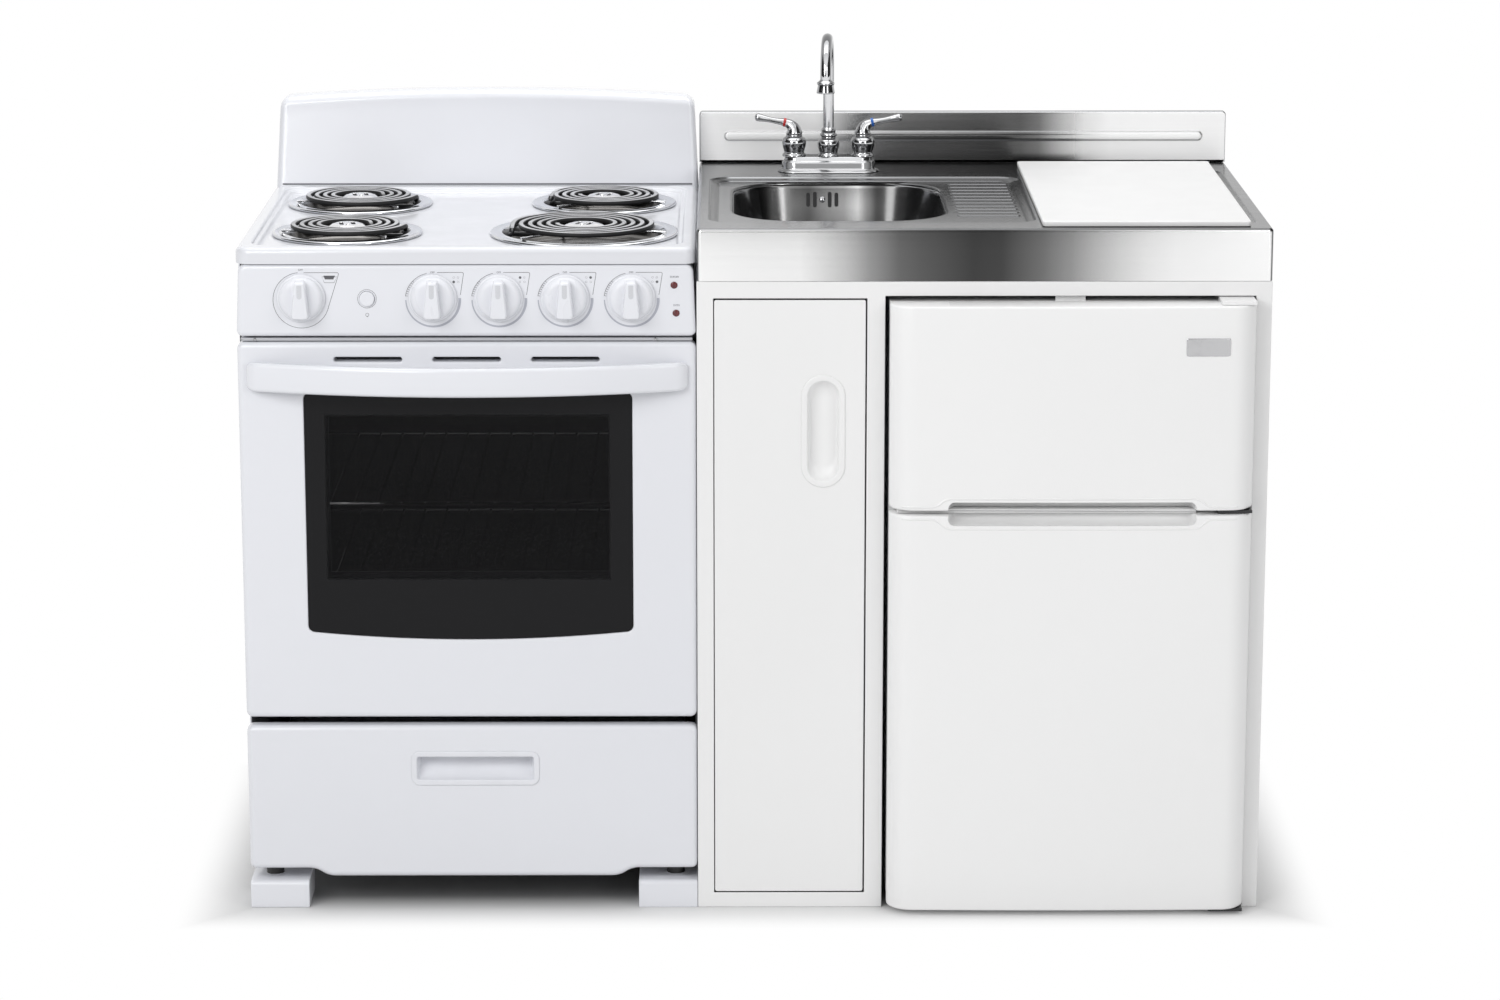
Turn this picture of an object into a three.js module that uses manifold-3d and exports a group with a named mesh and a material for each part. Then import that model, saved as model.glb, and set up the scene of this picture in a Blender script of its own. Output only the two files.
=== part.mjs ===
// Kitchenette unit: an electric coil range on the left, and on the right a stainless worktop with
// a sink over a narrow cabinet and a two-door fridge-freezer.
// Millimetres. x runs to the right, y to the wall behind, z up from the floor. Each half is drawn
// with x = 0 at its own left edge and y = 0 at the plane of its front faces.

import * as THREE from "three";
import { mergeVertices } from "three/addons/utils/BufferGeometryUtils.js";
import Module from "manifold-3d";

// ---------------------------------------------------------------- whole unit
const RANGE_WIDTH = 609;
const SINK_UNIT_WIDTH = 762;
const UNIT_GAP = 0.6;
const DEPTH = 610;
const SEAT = 0.3; // between pieces that rest on or line each other
const SHEET = 2.5; // wall of a folded sheet casing

// ---------------------------------------------------------------- range body
const FOOT_WIDTH = 80;
const FOOT_DEPTH = 80;
const FOOT_HEIGHT = 38;
const FOOT_EDGE_RADIUS = 7;
const LEVELLER_RADIUS = 12;
const LEVELLER_INSET_X = 30;
const LEVELLER_INSET_Y = 42;
const BASE_PAN_BOTTOM = 56;
const BASE_PAN_FRONT = 30;
const SHELL_BOTTOM = 55;
const COOKTOP_BOTTOM = 889;

// ---------------------------------------------------------------- cooktop and burners
const COOKTOP_THICKNESS = 22;
const COOKTOP_RECESS = 9;
const COOKTOP_SIDE_RIM = 22;
const COOKTOP_FRONT_RIM = 26;
const COOKTOP_REAR_RIM = 14;
const COOKTOP_NOSE_RADIUS = 9;
const COOKTOP_RECESS_CORNER = 26;
const COOKTOP_RECESS_SLOPE = 4;
const SMALL_BOWL_MARGIN = 2.6; // between the coil and the inner edge of the bowl's rim
const LARGE_BOWL_MARGIN = 9.6;
const BOWL_RIM_WIDTH = 17;
const BOWL_RIM_RISE = 4.5;
const BOWL_DEPTH = 26;
const BOWL_WALL_SLOPE = 9;
const BOWL_HOLE_RADIUS = 20;
const BOWL_SHEET = 1.5;
const BURNER_HOLE_INSET = 11;
const COIL_TUBE_WIDTH = 7.6;
const COIL_TUBE_HEIGHT = 6.8;
const SMALL_COIL_PITCH = 11.4;
const LARGE_COIL_PITCH = 12.3;
const SMALL_COIL_TURNS = 4;
const LARGE_COIL_TURNS = 5.05;
const COIL_DISC_GAP = 0.7;
const COIL_RISE = 4; // underside of the coil over the bowl's rim
const COIL_END_DROP = 7;
const COIL_END_TURN = 0.06; // share of a turn in which an end dips
const COIL_ARM_ANGLE = 60; // from the coil's inner end to the first arm, in degrees
const SMALL_CENTRE_DISC_RADIUS = 28.5;
const LARGE_CENTRE_DISC_RADIUS = 31;
const CENTRE_DISC_RISE = 5.5;
const COIL_ARM_WIDTH = 3;
const LEFT_COIL_INNER_END = 10; // direction of a coil's inner end, in degrees from the right
const RIGHT_COIL_INNER_END = 165;
const FRONT_ROW_Y = 170;
const BACK_ROW_INSET = 120; // from the cooktop's rear edge
const FRONT_LEFT_INSET = 135; // from the range's nearer side to a burner's centre
const BACK_LEFT_INSET = 132;
const FRONT_RIGHT_INSET = 153;
const BACK_RIGHT_INSET = 133;

// ---------------------------------------------------------------- backguard
const BACKGUARD_DEPTH = 65;
const BACKGUARD_MIDDLE_HEIGHT = 1045;
const BACKGUARD_SIDE_HEIGHT = 1034;
const BACKGUARD_CORNER = 16;
const BACKGUARD_TAPER = 6;
const BACKGUARD_LEAN = 28;
const BACKGUARD_TOP_EDGE = 14;

// ---------------------------------------------------------------- control panel
const PANEL_BOTTOM = 792;
const PANEL_DEPTH = 44;
const PANEL_CORNER = 9;
const KNOB_CENTRE_HEIGHT = 844;
const OVEN_KNOB_X = 87;
const LAST_BURNER_KNOB_INSET = 85.5; // from the panel's right end
const BURNER_KNOB_PITCH = 87.5;
const KNOB_SKIRT_RADIUS = 34;
const KNOB_SKIRT_HEIGHT = 4;
const KNOB_DOME_RADIUS = 27;
const KNOB_DOME_HEIGHT = 12;
const KNOB_GRIP_HEIGHT = 27;
const KNOB_GRIP_LENGTH = 49;
const KNOB_GRIP_ROOT_WIDTH = 24;
const KNOB_GRIP_TOP_WIDTH = 18.6;
const KNOB_STANDOFF = 0.5;
const KNOB_SHAFT_RADIUS = 3;
const KNOB_SHAFT_LENGTH = 14;
const LIGHT_BUTTON_HEIGHT = 843;
const LIGHT_BUTTON_RADIUS = 9.85;
const LIGHT_BUTTON_PROUD = 3.5;
const LAMP_RADIUS = 4.7;
const LAMP_PROUD = 1.6;
const BURNER_LAMP_INSET = 29; // from the panel's right end
const BURNER_LAMP_HEIGHT = 861;
const OVEN_LAMP_INSET = 26.4;
const OVEN_LAMP_HEIGHT = 823.5;
const CONTROL_LENGTH = 10; // of a button or lamp behind the panel's face

// ---------------------------------------------------------------- oven
const OVEN_LEFT = 45;
const OVEN_BOTTOM = 290;
const OVEN_TOP = 772;
const OVEN_BACK_INSET = 50;
const FLANGE_BOTTOM = 262;
const FLANGE_TOP = 789;
const RACK_LEDGE_WIDTH = 10;
const RACK_LEDGE_THICKNESS = 4;
const LOWER_RACK_HEIGHT = 436;
const UPPER_RACK_HEIGHT = 550;
const RACK_WIRE_RADIUS = 2;
const RACK_FRAME_RADIUS = 3;
const RACK_WIRES = 13;
const RACK_WIRE_PITCH = 31.6;
const RACK_SIDE_GAP = 2;
const RACK_FRONT = 66;
const RACK_BACK_GAP = 30;
const ELEMENT_RADIUS = 4;
const ELEMENT_BEND_REACH = 18;
const ELEMENT_LEG_SPACING = 50;
const ELEMENT_LEG_LENGTH = 90;
const ELEMENT_HEIGHT = 22; // centre over the oven floor
const ELEMENT_FRONT = 110;
const ELEMENT_SIDE_MARGIN = 69.5; // from the oven's side
const ELEMENT_FOOT_SIZE = 8;

// ---------------------------------------------------------------- oven door
const DOOR_BOTTOM = 268.5;
const DOOR_TOP = 784;
const DOOR_SHELL_DEPTH = 24;
const DOOR_DEPTH = 39;
const DOOR_EDGE_RADIUS = 8;
const DOOR_LINER_BOTTOM = 284.5;
const DOOR_LINER_TOP = 780;
const DOOR_PLUG_INSET_X = 52;
const DOOR_PLUG_BOTTOM = 300;
const DOOR_PLUG_TOP = 764;
const DOOR_SEAL_WIDTH = 9;
const DOOR_SEAL_HEIGHT = 4.5;
const WINDOW_LEFT = 86.8;
const WINDOW_RIGHT_INSET = 85.4;
const WINDOW_TOP = 716;
const WINDOW_BOTTOM = 388.7;
const WINDOW_SAG = 11.3;
const WINDOW_CORNER = 8;
const GLASS_THICKNESS = 4;
const GLASS_SET_BACK = 0.8;
const INNER_WINDOW_INSET = 29;
const INNER_WINDOW_BOTTOM = 463;
const INNER_WINDOW_TOP = 684;
const VENT_SLOT_LENGTH = 90.7;
const VENT_SLOT_HEIGHT = 6.6;
const VENT_SLOT_CENTRE_HEIGHT = 761;
const VENT_SLOT_PITCH = 131;
const HANDLE_LEFT = 12;
const HANDLE_RIGHT_INSET = 11;
const HANDLE_BOTTOM = 720;
const HANDLE_TOP = 759;
const HANDLE_REACH = 58;
const HANDLE_END_REACH = 11;
const HANDLE_THICKNESS = 14;
const HANDLE_END_RADIUS = 7;

// ---------------------------------------------------------------- storage drawer
const DRAWER_TOP = 257;
const DRAWER_SIDE_BOTTOM = 55;
const DRAWER_MIDDLE_BOTTOM = 43.7;
const DRAWER_STEP_OUTER = 89;
const DRAWER_STEP_INNER = 106.5;
const DRAWER_FRONT_DEPTH = 20;
const DRAWER_TRAY_INSET = 20;
const DRAWER_TRAY_BACK_INSET = 40;
const DRAWER_TRAY_TOP = 165;
const PULL_WIDTH = 158;
const PULL_OFF_CENTRE = 4; // to the right of the drawer's middle
const PULL_BOTTOM = 181.3;
const PULL_TOP = 213.6;
const PULL_FLANGE = 7.6;
const PULL_FLANGE_PROUD = 1.6;
const PULL_CUP_DEPTH = 24;
const PULL_WALL = 1.6;

// ---------------------------------------------------------------- sink cabinet
const WORKTOP_BOTTOM = 866;
const WORKTOP_HEIGHT = 936;
const FRAME_DEPTH = 18;
const BOARD_THICKNESS = 15;
const LEFT_STILE = 22;
const MIDDLE_STILE_LEFT = 226;
const MIDDLE_STILE_RIGHT = 250;
const RIGHT_STILE = 21;
const TOP_RAIL = 23;
const BOTTOM_RAIL = 21;
const FRIDGE_HEADER = 20;
const DIVIDER_TOP = 844;
const BACK_PANEL = 7;
const BACK_RAIL_HEIGHT = 86;
const SINK_DOOR_GAP = 1.2;
const DOOR_PULL_RIGHT = 197.5;
const DOOR_PULL_WIDTH = 58.5;
const DOOR_PULL_BOTTOM = 587;
const DOOR_PULL_TOP = 740;
const DOOR_PULL_RIM = 8.5;
const DOOR_PULL_DEPTH = 13;
const DOOR_PULL_WALL = 1.5;
const DOOR_PULL_END_SLOPE = 18;
const DOOR_PULL_PROUD = 1.6;

// ---------------------------------------------------------------- worktop and sink
const WORKTOP_SKIN = 3;
const WORKTOP_NOSE_RADIUS = 5;
const TRAY_DEPTH = 6;
const TRAY_LEFT = 16;
const TRAY_RIGHT = 453;
const TRAY_FRONT = 55;
const TRAY_BACK_INSET = 151;
const TRAY_CORNER = 32;
const TRAY_SLOPE = 10;
const BOARD_TRAY_LEFT = 461;
const BOARD_TRAY_RIGHT_INSET = 17;
const BOARD_TRAY_FRONT = 40;
const BOARD_TRAY_BACK_INSET = 92;
const BOARD_TRAY_CORNER = 20;
const BOWL_LEFT = 48.5;
const BOWL_RIGHT = 339;
const BOWL_FRONT = 106;
const BOWL_BACK_INSET = 163;
const BOWL_CORNER = 88;
const BOWL_INNER_DEPTH = 80; // under the drainer's level
const BOWL_TAPER = 16;
const BOWL_BOTTOM_RADIUS = 22;
const BOWL_WALL = 1.5;
const BOWL_FLANGE = 9;
const RIB_COUNT = 11;
const RIB_PITCH = 28;
const RIB_WIDTH = 14;
const RIB_HEIGHT = 1.6;
const FIRST_RIB_GAP = 91; // from the tray's front edge to the first rib's middle
const RIB_LEFT_GAP = 11.5; // from the bowl
const RIB_RIGHT_GAP = 15; // from the tray's right edge
const WASTE_X = 168;
const WASTE_Y = 276;
const WASTE_HOLE_RADIUS = 37;
const WASTE_CUP_DEPTH = 36;
const BASKET_DEPTH = 26;
const BASKET_RIM = 4;
const BASKET_WALL = 1.5;
const TRAP_TUBE_RADIUS = 19;
const TRAP_DROP = 190;
const TRAP_SPACING = 88;
const TRAP_BEND_REACH = 43;
const TRAP_RISE = 100;
const SPLASH_HEIGHT = 74;
const SPLASH_THICKNESS = 15;
const SPLASH_RIB_LEFT = 36;
const SPLASH_RIB_RIGHT_INSET = 34;
const SPLASH_RIB_CENTRE = 39; // over the worktop
const SPLASH_RIB_HEIGHT = 14;
const SPLASH_RIB_PROUD = 3;
const CUTTING_BOARD_LEFT = 458;
const CUTTING_BOARD_RIGHT_INSET = 28;
const CUTTING_BOARD_FRONT = 15;
const CUTTING_BOARD_BACK_INSET = 50;
const CUTTING_BOARD_THICKNESS = 7;
const CUTTING_BOARD_CORNER = 4;

// ---------------------------------------------------------------- faucet
const FAUCET_X = 185;
const FAUCET_BACK_INSET = 95;
const FAUCET_BASE_LENGTH = 145;
const FAUCET_BASE_WIDTH = 55;
const FAUCET_BASE_HEIGHT = 15;
const FAUCET_STEP_HEIGHT = 7;
const FAUCET_STEP_INSET = 6;
const BELL_SPACING = 98;
const BELL_RADIUS = 17.5;
const BELL_TOP_RADIUS = 12;
const BELL_HEIGHT = 31;
const SPOUT_BELL_RADIUS = 16;
const SPOUT_BELL_HEIGHT = 28;
const SPOUT_TUBE_RADIUS = 8;
const SPOUT_LEG = 94.4; // the straight upright, from its bell to the arch
const SPOUT_ARCH_RADIUS = 50;
const SPOUT_MOUTH_DROP = 20; // below the arch's centre
const AERATOR_RADIUS = 13;
const AERATOR_LENGTH = 24;
const SPOUT_TURN = 3.6; // degrees to the left of straight ahead
const LEVER_HUB_RADIUS = 12;
const LEVER_HUB_HEIGHT = 14;
const LEVER_REACH = 62;
const LEVER_RISE = 17;
const LEVER_ROOT_RADIUS = 6;
const LEVER_TIP_RADIUS = 5.5;

// ---------------------------------------------------------------- fridge-freezer
const FRIDGE_SIDE_GAP = 6;
const FRIDGE_FRONT = 8;
const FRIDGE_BACK_INSET = 50;
const FRIDGE_BOTTOM = 20;
const FRIDGE_TOP = 838;
const FRIDGE_WALL = 25;
const FRIDGE_FOOT_RADIUS = 16;
const FRIDGE_FOOT_INSET = 50;
const FREEZER_FLOOR = 578;
const FRIDGE_CEILING = 543;
const FRIDGE_DOOR_LEFT_GAP = 5.8;
const FRIDGE_DOOR_RIGHT_INSET = 22;
const FRIDGE_DOOR_REACH = 50;
const FRIDGE_DOOR_BACK = -4;
const FRIDGE_DOOR_CORNER = 34;
const FRIDGE_DOOR_BOW = 3;
const FREEZER_DOOR_TOP = 840;
const FREEZER_DOOR_BOTTOM = 565;
const FRIDGE_DOOR_TOP = 558.5;
const FRIDGE_DOOR_BOTTOM = 10;
const SEAL_INSET = 13;
const HINGE_AXIS_INSET = 20;
const SCOOP_LEFT_INSET = 77.7; // from the door's left edge
const SCOOP_RIGHT_INSET = 77;
const SCOOP_TOP = 577;
const SCOOP_BOTTOM = 545;
const SCOOP_DEPTH = 28;
const BRACKET_WIDTH = 46;
const BRACKET_REACH = 38;
const BRACKET_THICKNESS = 4;
const BRACKET_CLEARANCE = 0.6;
const BRACKET_FOOTING = 40;

// ---------------------------------------------------------------- smoothness
const CORNER_STEPS = 3;
const ROUND_SIDES = 20;
const BURNER_SIDES = 24;
const SMALL_SIDES = 12;
const BELL_SIDES = 16;
const LOOP_STEPS = 24;
const ARCH_STEPS = 12;
const TUBE_SIDES = 8;
const WIRE_SIDES = 4;

// ---------------------------------------------------------------- derived places
const COOKTOP_TOP = COOKTOP_BOTTOM + COOKTOP_THICKNESS;
const COOKTOP_FLOOR = COOKTOP_TOP - COOKTOP_RECESS;
const FLANGE_FRONT = DOOR_DEPTH + SHEET;
const SHELL_FRONT = PANEL_DEPTH + SEAT;
const SINK_LEFT = RANGE_WIDTH + UNIT_GAP;
const FULL_WIDTH = SINK_LEFT + SINK_UNIT_WIDTH;
const FRONT_REACH = Math.max(HANDLE_REACH, FRIDGE_DOOR_REACH);
const TRAY_LEVEL = WORKTOP_HEIGHT - TRAY_DEPTH;
const BOWL_FLOOR = TRAY_LEVEL - BOWL_INNER_DEPTH;
const FRIDGE_LEFT = MIDDLE_STILE_RIGHT + FRIDGE_SIDE_GAP;
const FRIDGE_RIGHT = SINK_UNIT_WIDTH - RIGHT_STILE - FRIDGE_SIDE_GAP;
const COOKTOP_DEPTH = DEPTH - BACKGUARD_DEPTH;
const BACK_ROW_Y = COOKTOP_DEPTH - BACK_ROW_INSET;
const OVEN_BACK = DEPTH - OVEN_BACK_INSET;
const RACK_BACK = OVEN_BACK - RACK_BACK_GAP;
const DRAWER_TRAY_BACK = DEPTH - DRAWER_TRAY_BACK_INSET;
const TRAY_BACK = DEPTH - TRAY_BACK_INSET;
const BOARD_TRAY_BACK = DEPTH - BOARD_TRAY_BACK_INSET;
const BOWL_BACK = DEPTH - BOWL_BACK_INSET;
const CUTTING_BOARD_BACK = DEPTH - CUTTING_BOARD_BACK_INSET;
const FAUCET_Y = DEPTH - FAUCET_BACK_INSET;
const FRIDGE_BACK = DEPTH - FRIDGE_BACK_INSET;
const FRIDGE_DOOR_LEFT = MIDDLE_STILE_RIGHT + FRIDGE_DOOR_LEFT_GAP;
const FRIDGE_DOOR_RIGHT = SINK_UNIT_WIDTH - FRIDGE_DOOR_RIGHT_INSET;
const SCOOP_LEFT = FRIDGE_DOOR_LEFT + SCOOP_LEFT_INSET;
const SCOOP_RIGHT = FRIDGE_DOOR_RIGHT - SCOOP_RIGHT_INSET;
const BOARD_TRAY_RIGHT = SINK_UNIT_WIDTH - BOARD_TRAY_RIGHT_INSET;
const SPLASH_RIB_RIGHT = SINK_UNIT_WIDTH - SPLASH_RIB_RIGHT_INSET;
const CUTTING_BOARD_RIGHT = SINK_UNIT_WIDTH - CUTTING_BOARD_RIGHT_INSET;
const ELEMENT_HALF_WIDTH = RANGE_WIDTH / 2 - OVEN_LEFT - ELEMENT_SIDE_MARGIN;
const WINDOW_RIGHT = RANGE_WIDTH - WINDOW_RIGHT_INSET;
const HANDLE_RIGHT = RANGE_WIDTH - HANDLE_RIGHT_INSET;
const PULL_LEFT = (RANGE_WIDTH - PULL_WIDTH) / 2 + PULL_OFF_CENTRE;
const PULL_RIGHT = PULL_LEFT + PULL_WIDTH;
const BURNER_LAMP_X = RANGE_WIDTH - BURNER_LAMP_INSET;
const OVEN_LAMP_X = RANGE_WIDTH - OVEN_LAMP_INSET;

function burner(name, x, y, innerEnd, large = false) {
  return { name, x, y, innerEnd, large };
}

const BURNERS = [
  burner("front_left", FRONT_LEFT_INSET, FRONT_ROW_Y, LEFT_COIL_INNER_END),
  burner("back_left", BACK_LEFT_INSET, BACK_ROW_Y, LEFT_COIL_INNER_END),
  burner("front_right", RANGE_WIDTH - FRONT_RIGHT_INSET, FRONT_ROW_Y, RIGHT_COIL_INNER_END, true),
  burner("back_right", RANGE_WIDTH - BACK_RIGHT_INSET, BACK_ROW_Y, RIGHT_COIL_INNER_END),
];

const wasm = await Module();
wasm.setup();

// ---------------------------------------------------------------- solids
const WELD = 1e-4;

// A closed three.js geometry as a solid: shared corners are merged and faces turned outwards.
function solidOf(geometry) {
  const loose = geometry.index ? geometry.toNonIndexed() : geometry;
  const bare = new THREE.BufferGeometry();
  bare.setAttribute("position", loose.getAttribute("position"));
  const welded = mergeVertices(bare, WELD);
  const corners = welded.index.array;
  const triangles = [];
  for (let i = 0; i < corners.length; i += 3) {
    const [a, b, c] = corners.slice(i, i + 3);
    if (a !== b && b !== c && c !== a) triangles.push(a, b, c);
  }
  const build = () =>
    new wasm.Manifold(
      new wasm.Mesh({
        numProp: 3,
        vertProperties: welded.attributes.position.array,
        triVerts: new Uint32Array(triangles),
      }),
    );
  const solid = build();
  if (solid.volume() > 0) return solid;
  triangles.reverse();
  return build();
}

// The solid's surface as a three.js geometry.
function geometryOf(solid) {
  const mesh = solid.getMesh();
  const geometry = new THREE.BufferGeometry();
  geometry.setAttribute("position", new THREE.BufferAttribute(mesh.vertProperties, 3));
  geometry.setIndex(new THREE.BufferAttribute(mesh.triVerts, 1));
  geometry.computeVertexNormals();
  return geometry;
}

const join = (...solids) => solids.reduce((whole, next) => whole.add(next));
const cut = (solid, ...tools) => tools.reduce((rest, tool) => rest.subtract(tool), solid);

// A block between two opposite corners.
function block(x0, x1, y0, y1, z0, z1) {
  const geometry = new THREE.BoxGeometry(2, 2, 2);
  const corner = geometry.attributes.position;
  for (let i = 0; i < corner.count; i++) {
    const x = corner.getX(i) > 0 ? x1 : x0;
    const y = corner.getY(i) > 0 ? y1 : y0;
    const z = corner.getZ(i) > 0 ? z1 : z0;
    corner.setXYZ(i, x, y, z);
  }
  return solidOf(geometry);
}

// ---------------------------------------------------------------- outlines
const point = (u, v) => new THREE.Vector2(u, v);

// Points along an arc, both ends included; angles in degrees from the first axis.
function arc(u, v, radius, from, to, steps = CORNER_STEPS) {
  const turn = THREE.MathUtils.degToRad(to - from) / steps;
  const start = THREE.MathUtils.degToRad(from);
  return Array.from({ length: steps + 1 }, (_, i) =>
    point(u + radius * Math.cos(start + i * turn), v + radius * Math.sin(start + i * turn)),
  );
}

// A rectangle with its four corners rounded.
function roundedBox(u0, u1, v0, v1, radius, steps = CORNER_STEPS) {
  return [
    ...arc(u1 - radius, v0 + radius, radius, -90, 0, steps),
    ...arc(u1 - radius, v1 - radius, radius, 0, 90, steps),
    ...arc(u0 + radius, v1 - radius, radius, 90, 180, steps),
    ...arc(u0 + radius, v0 + radius, radius, 180, 270, steps),
  ];
}

// A rectangle whose two front corners, those at v0, are rounded.
function frontRounded(u0, u1, v0, v1, radius) {
  return [
    ...arc(u0 + radius, v0 + radius, radius, 180, 270),
    ...arc(u1 - radius, v0 + radius, radius, 270, 360),
    point(u1, v1),
    point(u0, v1),
  ];
}

// Where a point of an outline lies in space: axis is the one that the outline faces.
function placed(p, axis, at) {
  if (axis === "x") return new THREE.Vector3(at, p.x, p.y);
  if (axis === "y") return new THREE.Vector3(p.x, at, p.y);
  return new THREE.Vector3(p.x, p.y, at);
}

// A straight extrusion of an outline along an axis, from low to high.
function prism(outline, axis, low, high) {
  const shape = new THREE.Shape(outline);
  const options = { depth: 1, bevelEnabled: false };
  const geometry = new THREE.ExtrudeGeometry(shape, options);
  const corner = geometry.attributes.position;
  for (let i = 0; i < corner.count; i++) {
    const at = corner.getZ(i) > 0.5 ? high : low;
    const p = placed(point(corner.getX(i), corner.getY(i)), axis, at);
    corner.setXYZ(i, p.x, p.y, p.z);
  }
  return solidOf(geometry);
}

// A solid skinned over a row of rings, each a convex loop of equally many points.
function skin(rings) {
  const count = rings[0].length;
  const faces = [];
  for (let r = 0; r + 1 < rings.length; r++) {
    for (let i = 0; i < count; i++) {
      const a = r * count + i;
      const b = r * count + ((i + 1) % count);
      faces.push(a, b, b + count, a, b + count, a + count);
    }
  }
  const last = (rings.length - 1) * count;
  for (let i = 1; i + 1 < count; i++) {
    faces.push(0, i + 1, i, last, last + i, last + i + 1);
  }
  const geometry = new THREE.BufferGeometry().setFromPoints(rings.flat());
  geometry.setIndex(faces);
  return solidOf(geometry);
}

// A solid skinned over a stack of convex outlines along an axis.
const loft = (axis, ...stations) =>
  skin(stations.map(([at, outline]) => outline.map((p) => placed(p, axis, at))));

// A round rod along an axis, centred on (u, v) across it.
function rod(axis, u, v, radius, low, high, sides = ROUND_SIDES) {
  const outline = arc(u, v, radius, 0, 360, sides).slice(0, sides);
  return prism(outline, axis, low, high);
}

// A profile of [radius, height] pairs turned about the upright through (x, y).
function turned(profile, x, y, sides = ROUND_SIDES) {
  const points = profile.map(([radius, height]) => point(radius, height));
  const geometry = new THREE.LatheGeometry(points, sides);
  geometry.rotateX(Math.PI / 2);
  geometry.translate(x, y, 0);
  return solidOf(geometry);
}

// A route through listed points, with one step of the route for each of them.
class Route extends THREE.Curve {
  constructor(points) {
    super();
    this.points = points;
  }
  getPointAt(t) {
    return this.points[Math.round(t * (this.points.length - 1))].clone();
  }
  getTangentAt(t) {
    const i = Math.round(t * (this.points.length - 1));
    const before = this.points[Math.max(0, i - 1)];
    const after = this.points[Math.min(this.points.length - 1, i + 1)];
    return after.clone().sub(before).normalize();
  }
}

// A round tube through listed points.
function tube(points, radius, sides = TUBE_SIDES) {
  const section = arc(0, 0, radius, 0, 360, sides).slice(0, sides);
  const options = {
    steps: points.length - 1,
    bevelEnabled: false,
    extrudePath: new Route(points),
  };
  return solidOf(new THREE.ExtrudeGeometry(new THREE.Shape(section), options));
}

// The same route with each inner corner replaced by points on a curve of the given reach.
function eased(corners, reach, steps = CORNER_STEPS) {
  const points = [corners[0]];
  corners.slice(1, -1).forEach((corner, i) => {
    const towards = (other) => corner.clone().add(other.clone().sub(corner).setLength(reach));
    const bend = new THREE.QuadraticBezierCurve3(
      towards(corners[i]),
      corner,
      towards(corners[i + 2]),
    );
    points.push(...bend.getPoints(steps));
  });
  points.push(corners.at(-1));
  return points;
}

// ---------------------------------------------------------------- finishes
const finish = (color, roughness, metalness) =>
  new THREE.MeshStandardMaterial({ color, roughness, metalness });
const RANGE_WHITE = finish(0xe8e9ee, 0.3, 0);
const CABINET_WHITE = finish(0xebebeb, 0.45, 0);
const FRIDGE_WHITE = finish(0xf2f2f2, 0.3, 0);
const OVEN_ENAMEL = finish(0x2b2b2e, 0.5, 0);
const BLACK_GLASS = finish(0x1b1b1d, 0.08, 0);
const BRUSHED_STEEL = finish(0xbdbdbd, 0.35, 1);
const CHROME = finish(0xd8dadd, 0.08, 1);
const COIL_GREY = finish(0x45464a, 0.6, 0.4);
const RACK_STEEL = finish(0x9a9a9c, 0.3, 1);
const INDICATOR_RED = finish(0x7a1010, 0.2, 0);
const BOARD_WHITE = finish(0xf7f7f7, 0.5, 0);
const PIPE_WHITE = finish(0xdddddd, 0.5, 0);

const range = new THREE.Group();
const sinkUnit = new THREE.Group();

// Adds one named piece to a half of the unit.
function piece(group, name, solid, material, place = [0, 0, 0]) {
  const mesh = new THREE.Mesh(geometryOf(solid), material);
  mesh.name = name;
  mesh.position.set(...place);
  group.add(mesh);
}

// ================================================================ range
// Two sides and a back, open at the front, top and bottom.
function rangeShell() {
  const top = COOKTOP_BOTTOM - SEAT;
  const outside = block(0, RANGE_WIDTH, SHELL_FRONT, DEPTH, SHELL_BOTTOM, top);
  const inside = block(SHEET, RANGE_WIDTH - SHEET, 0, DEPTH - SHEET, 0, top + 1);
  return cut(outside, inside);
}

// The floor of the body, which the drawer slides on and the feet carry.
function basePan() {
  const side = SHEET + SEAT;
  const top = BASE_PAN_BOTTOM + SHEET;
  return block(side, RANGE_WIDTH - side, BASE_PAN_FRONT, DEPTH - side, BASE_PAN_BOTTOM, top);
}

// A foot block with a rounded outer edge, and its leveller up to the base pan.
// right and rear mirror it to the other corners.
function foot(right, rear) {
  const x0 = right ? RANGE_WIDTH - FOOT_WIDTH : 0;
  const levellerX = right ? RANGE_WIDTH - LEVELLER_INSET_X : LEVELLER_INSET_X;
  const levellerY = rear ? DEPTH - LEVELLER_INSET_Y : LEVELLER_INSET_Y;
  const r = FOOT_EDGE_RADIUS;
  const front = [
    point(0, 0),
    ...arc(r, FOOT_HEIGHT - r, r, 180, 90),
    point(FOOT_DEPTH, FOOT_HEIGHT),
    point(FOOT_DEPTH, 0),
  ];
  const profile = rear ? front.map((p) => point(DEPTH - p.x, p.y)) : front;
  const top = BASE_PAN_BOTTOM - SEAT;
  const leveller = rod(
    "z",
    levellerX,
    levellerY,
    LEVELLER_RADIUS,
    FOOT_HEIGHT - 1,
    top,
    SMALL_SIDES,
  );
  return join(prism(profile, "x", x0, x0 + FOOT_WIDTH), leveller);
}

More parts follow.
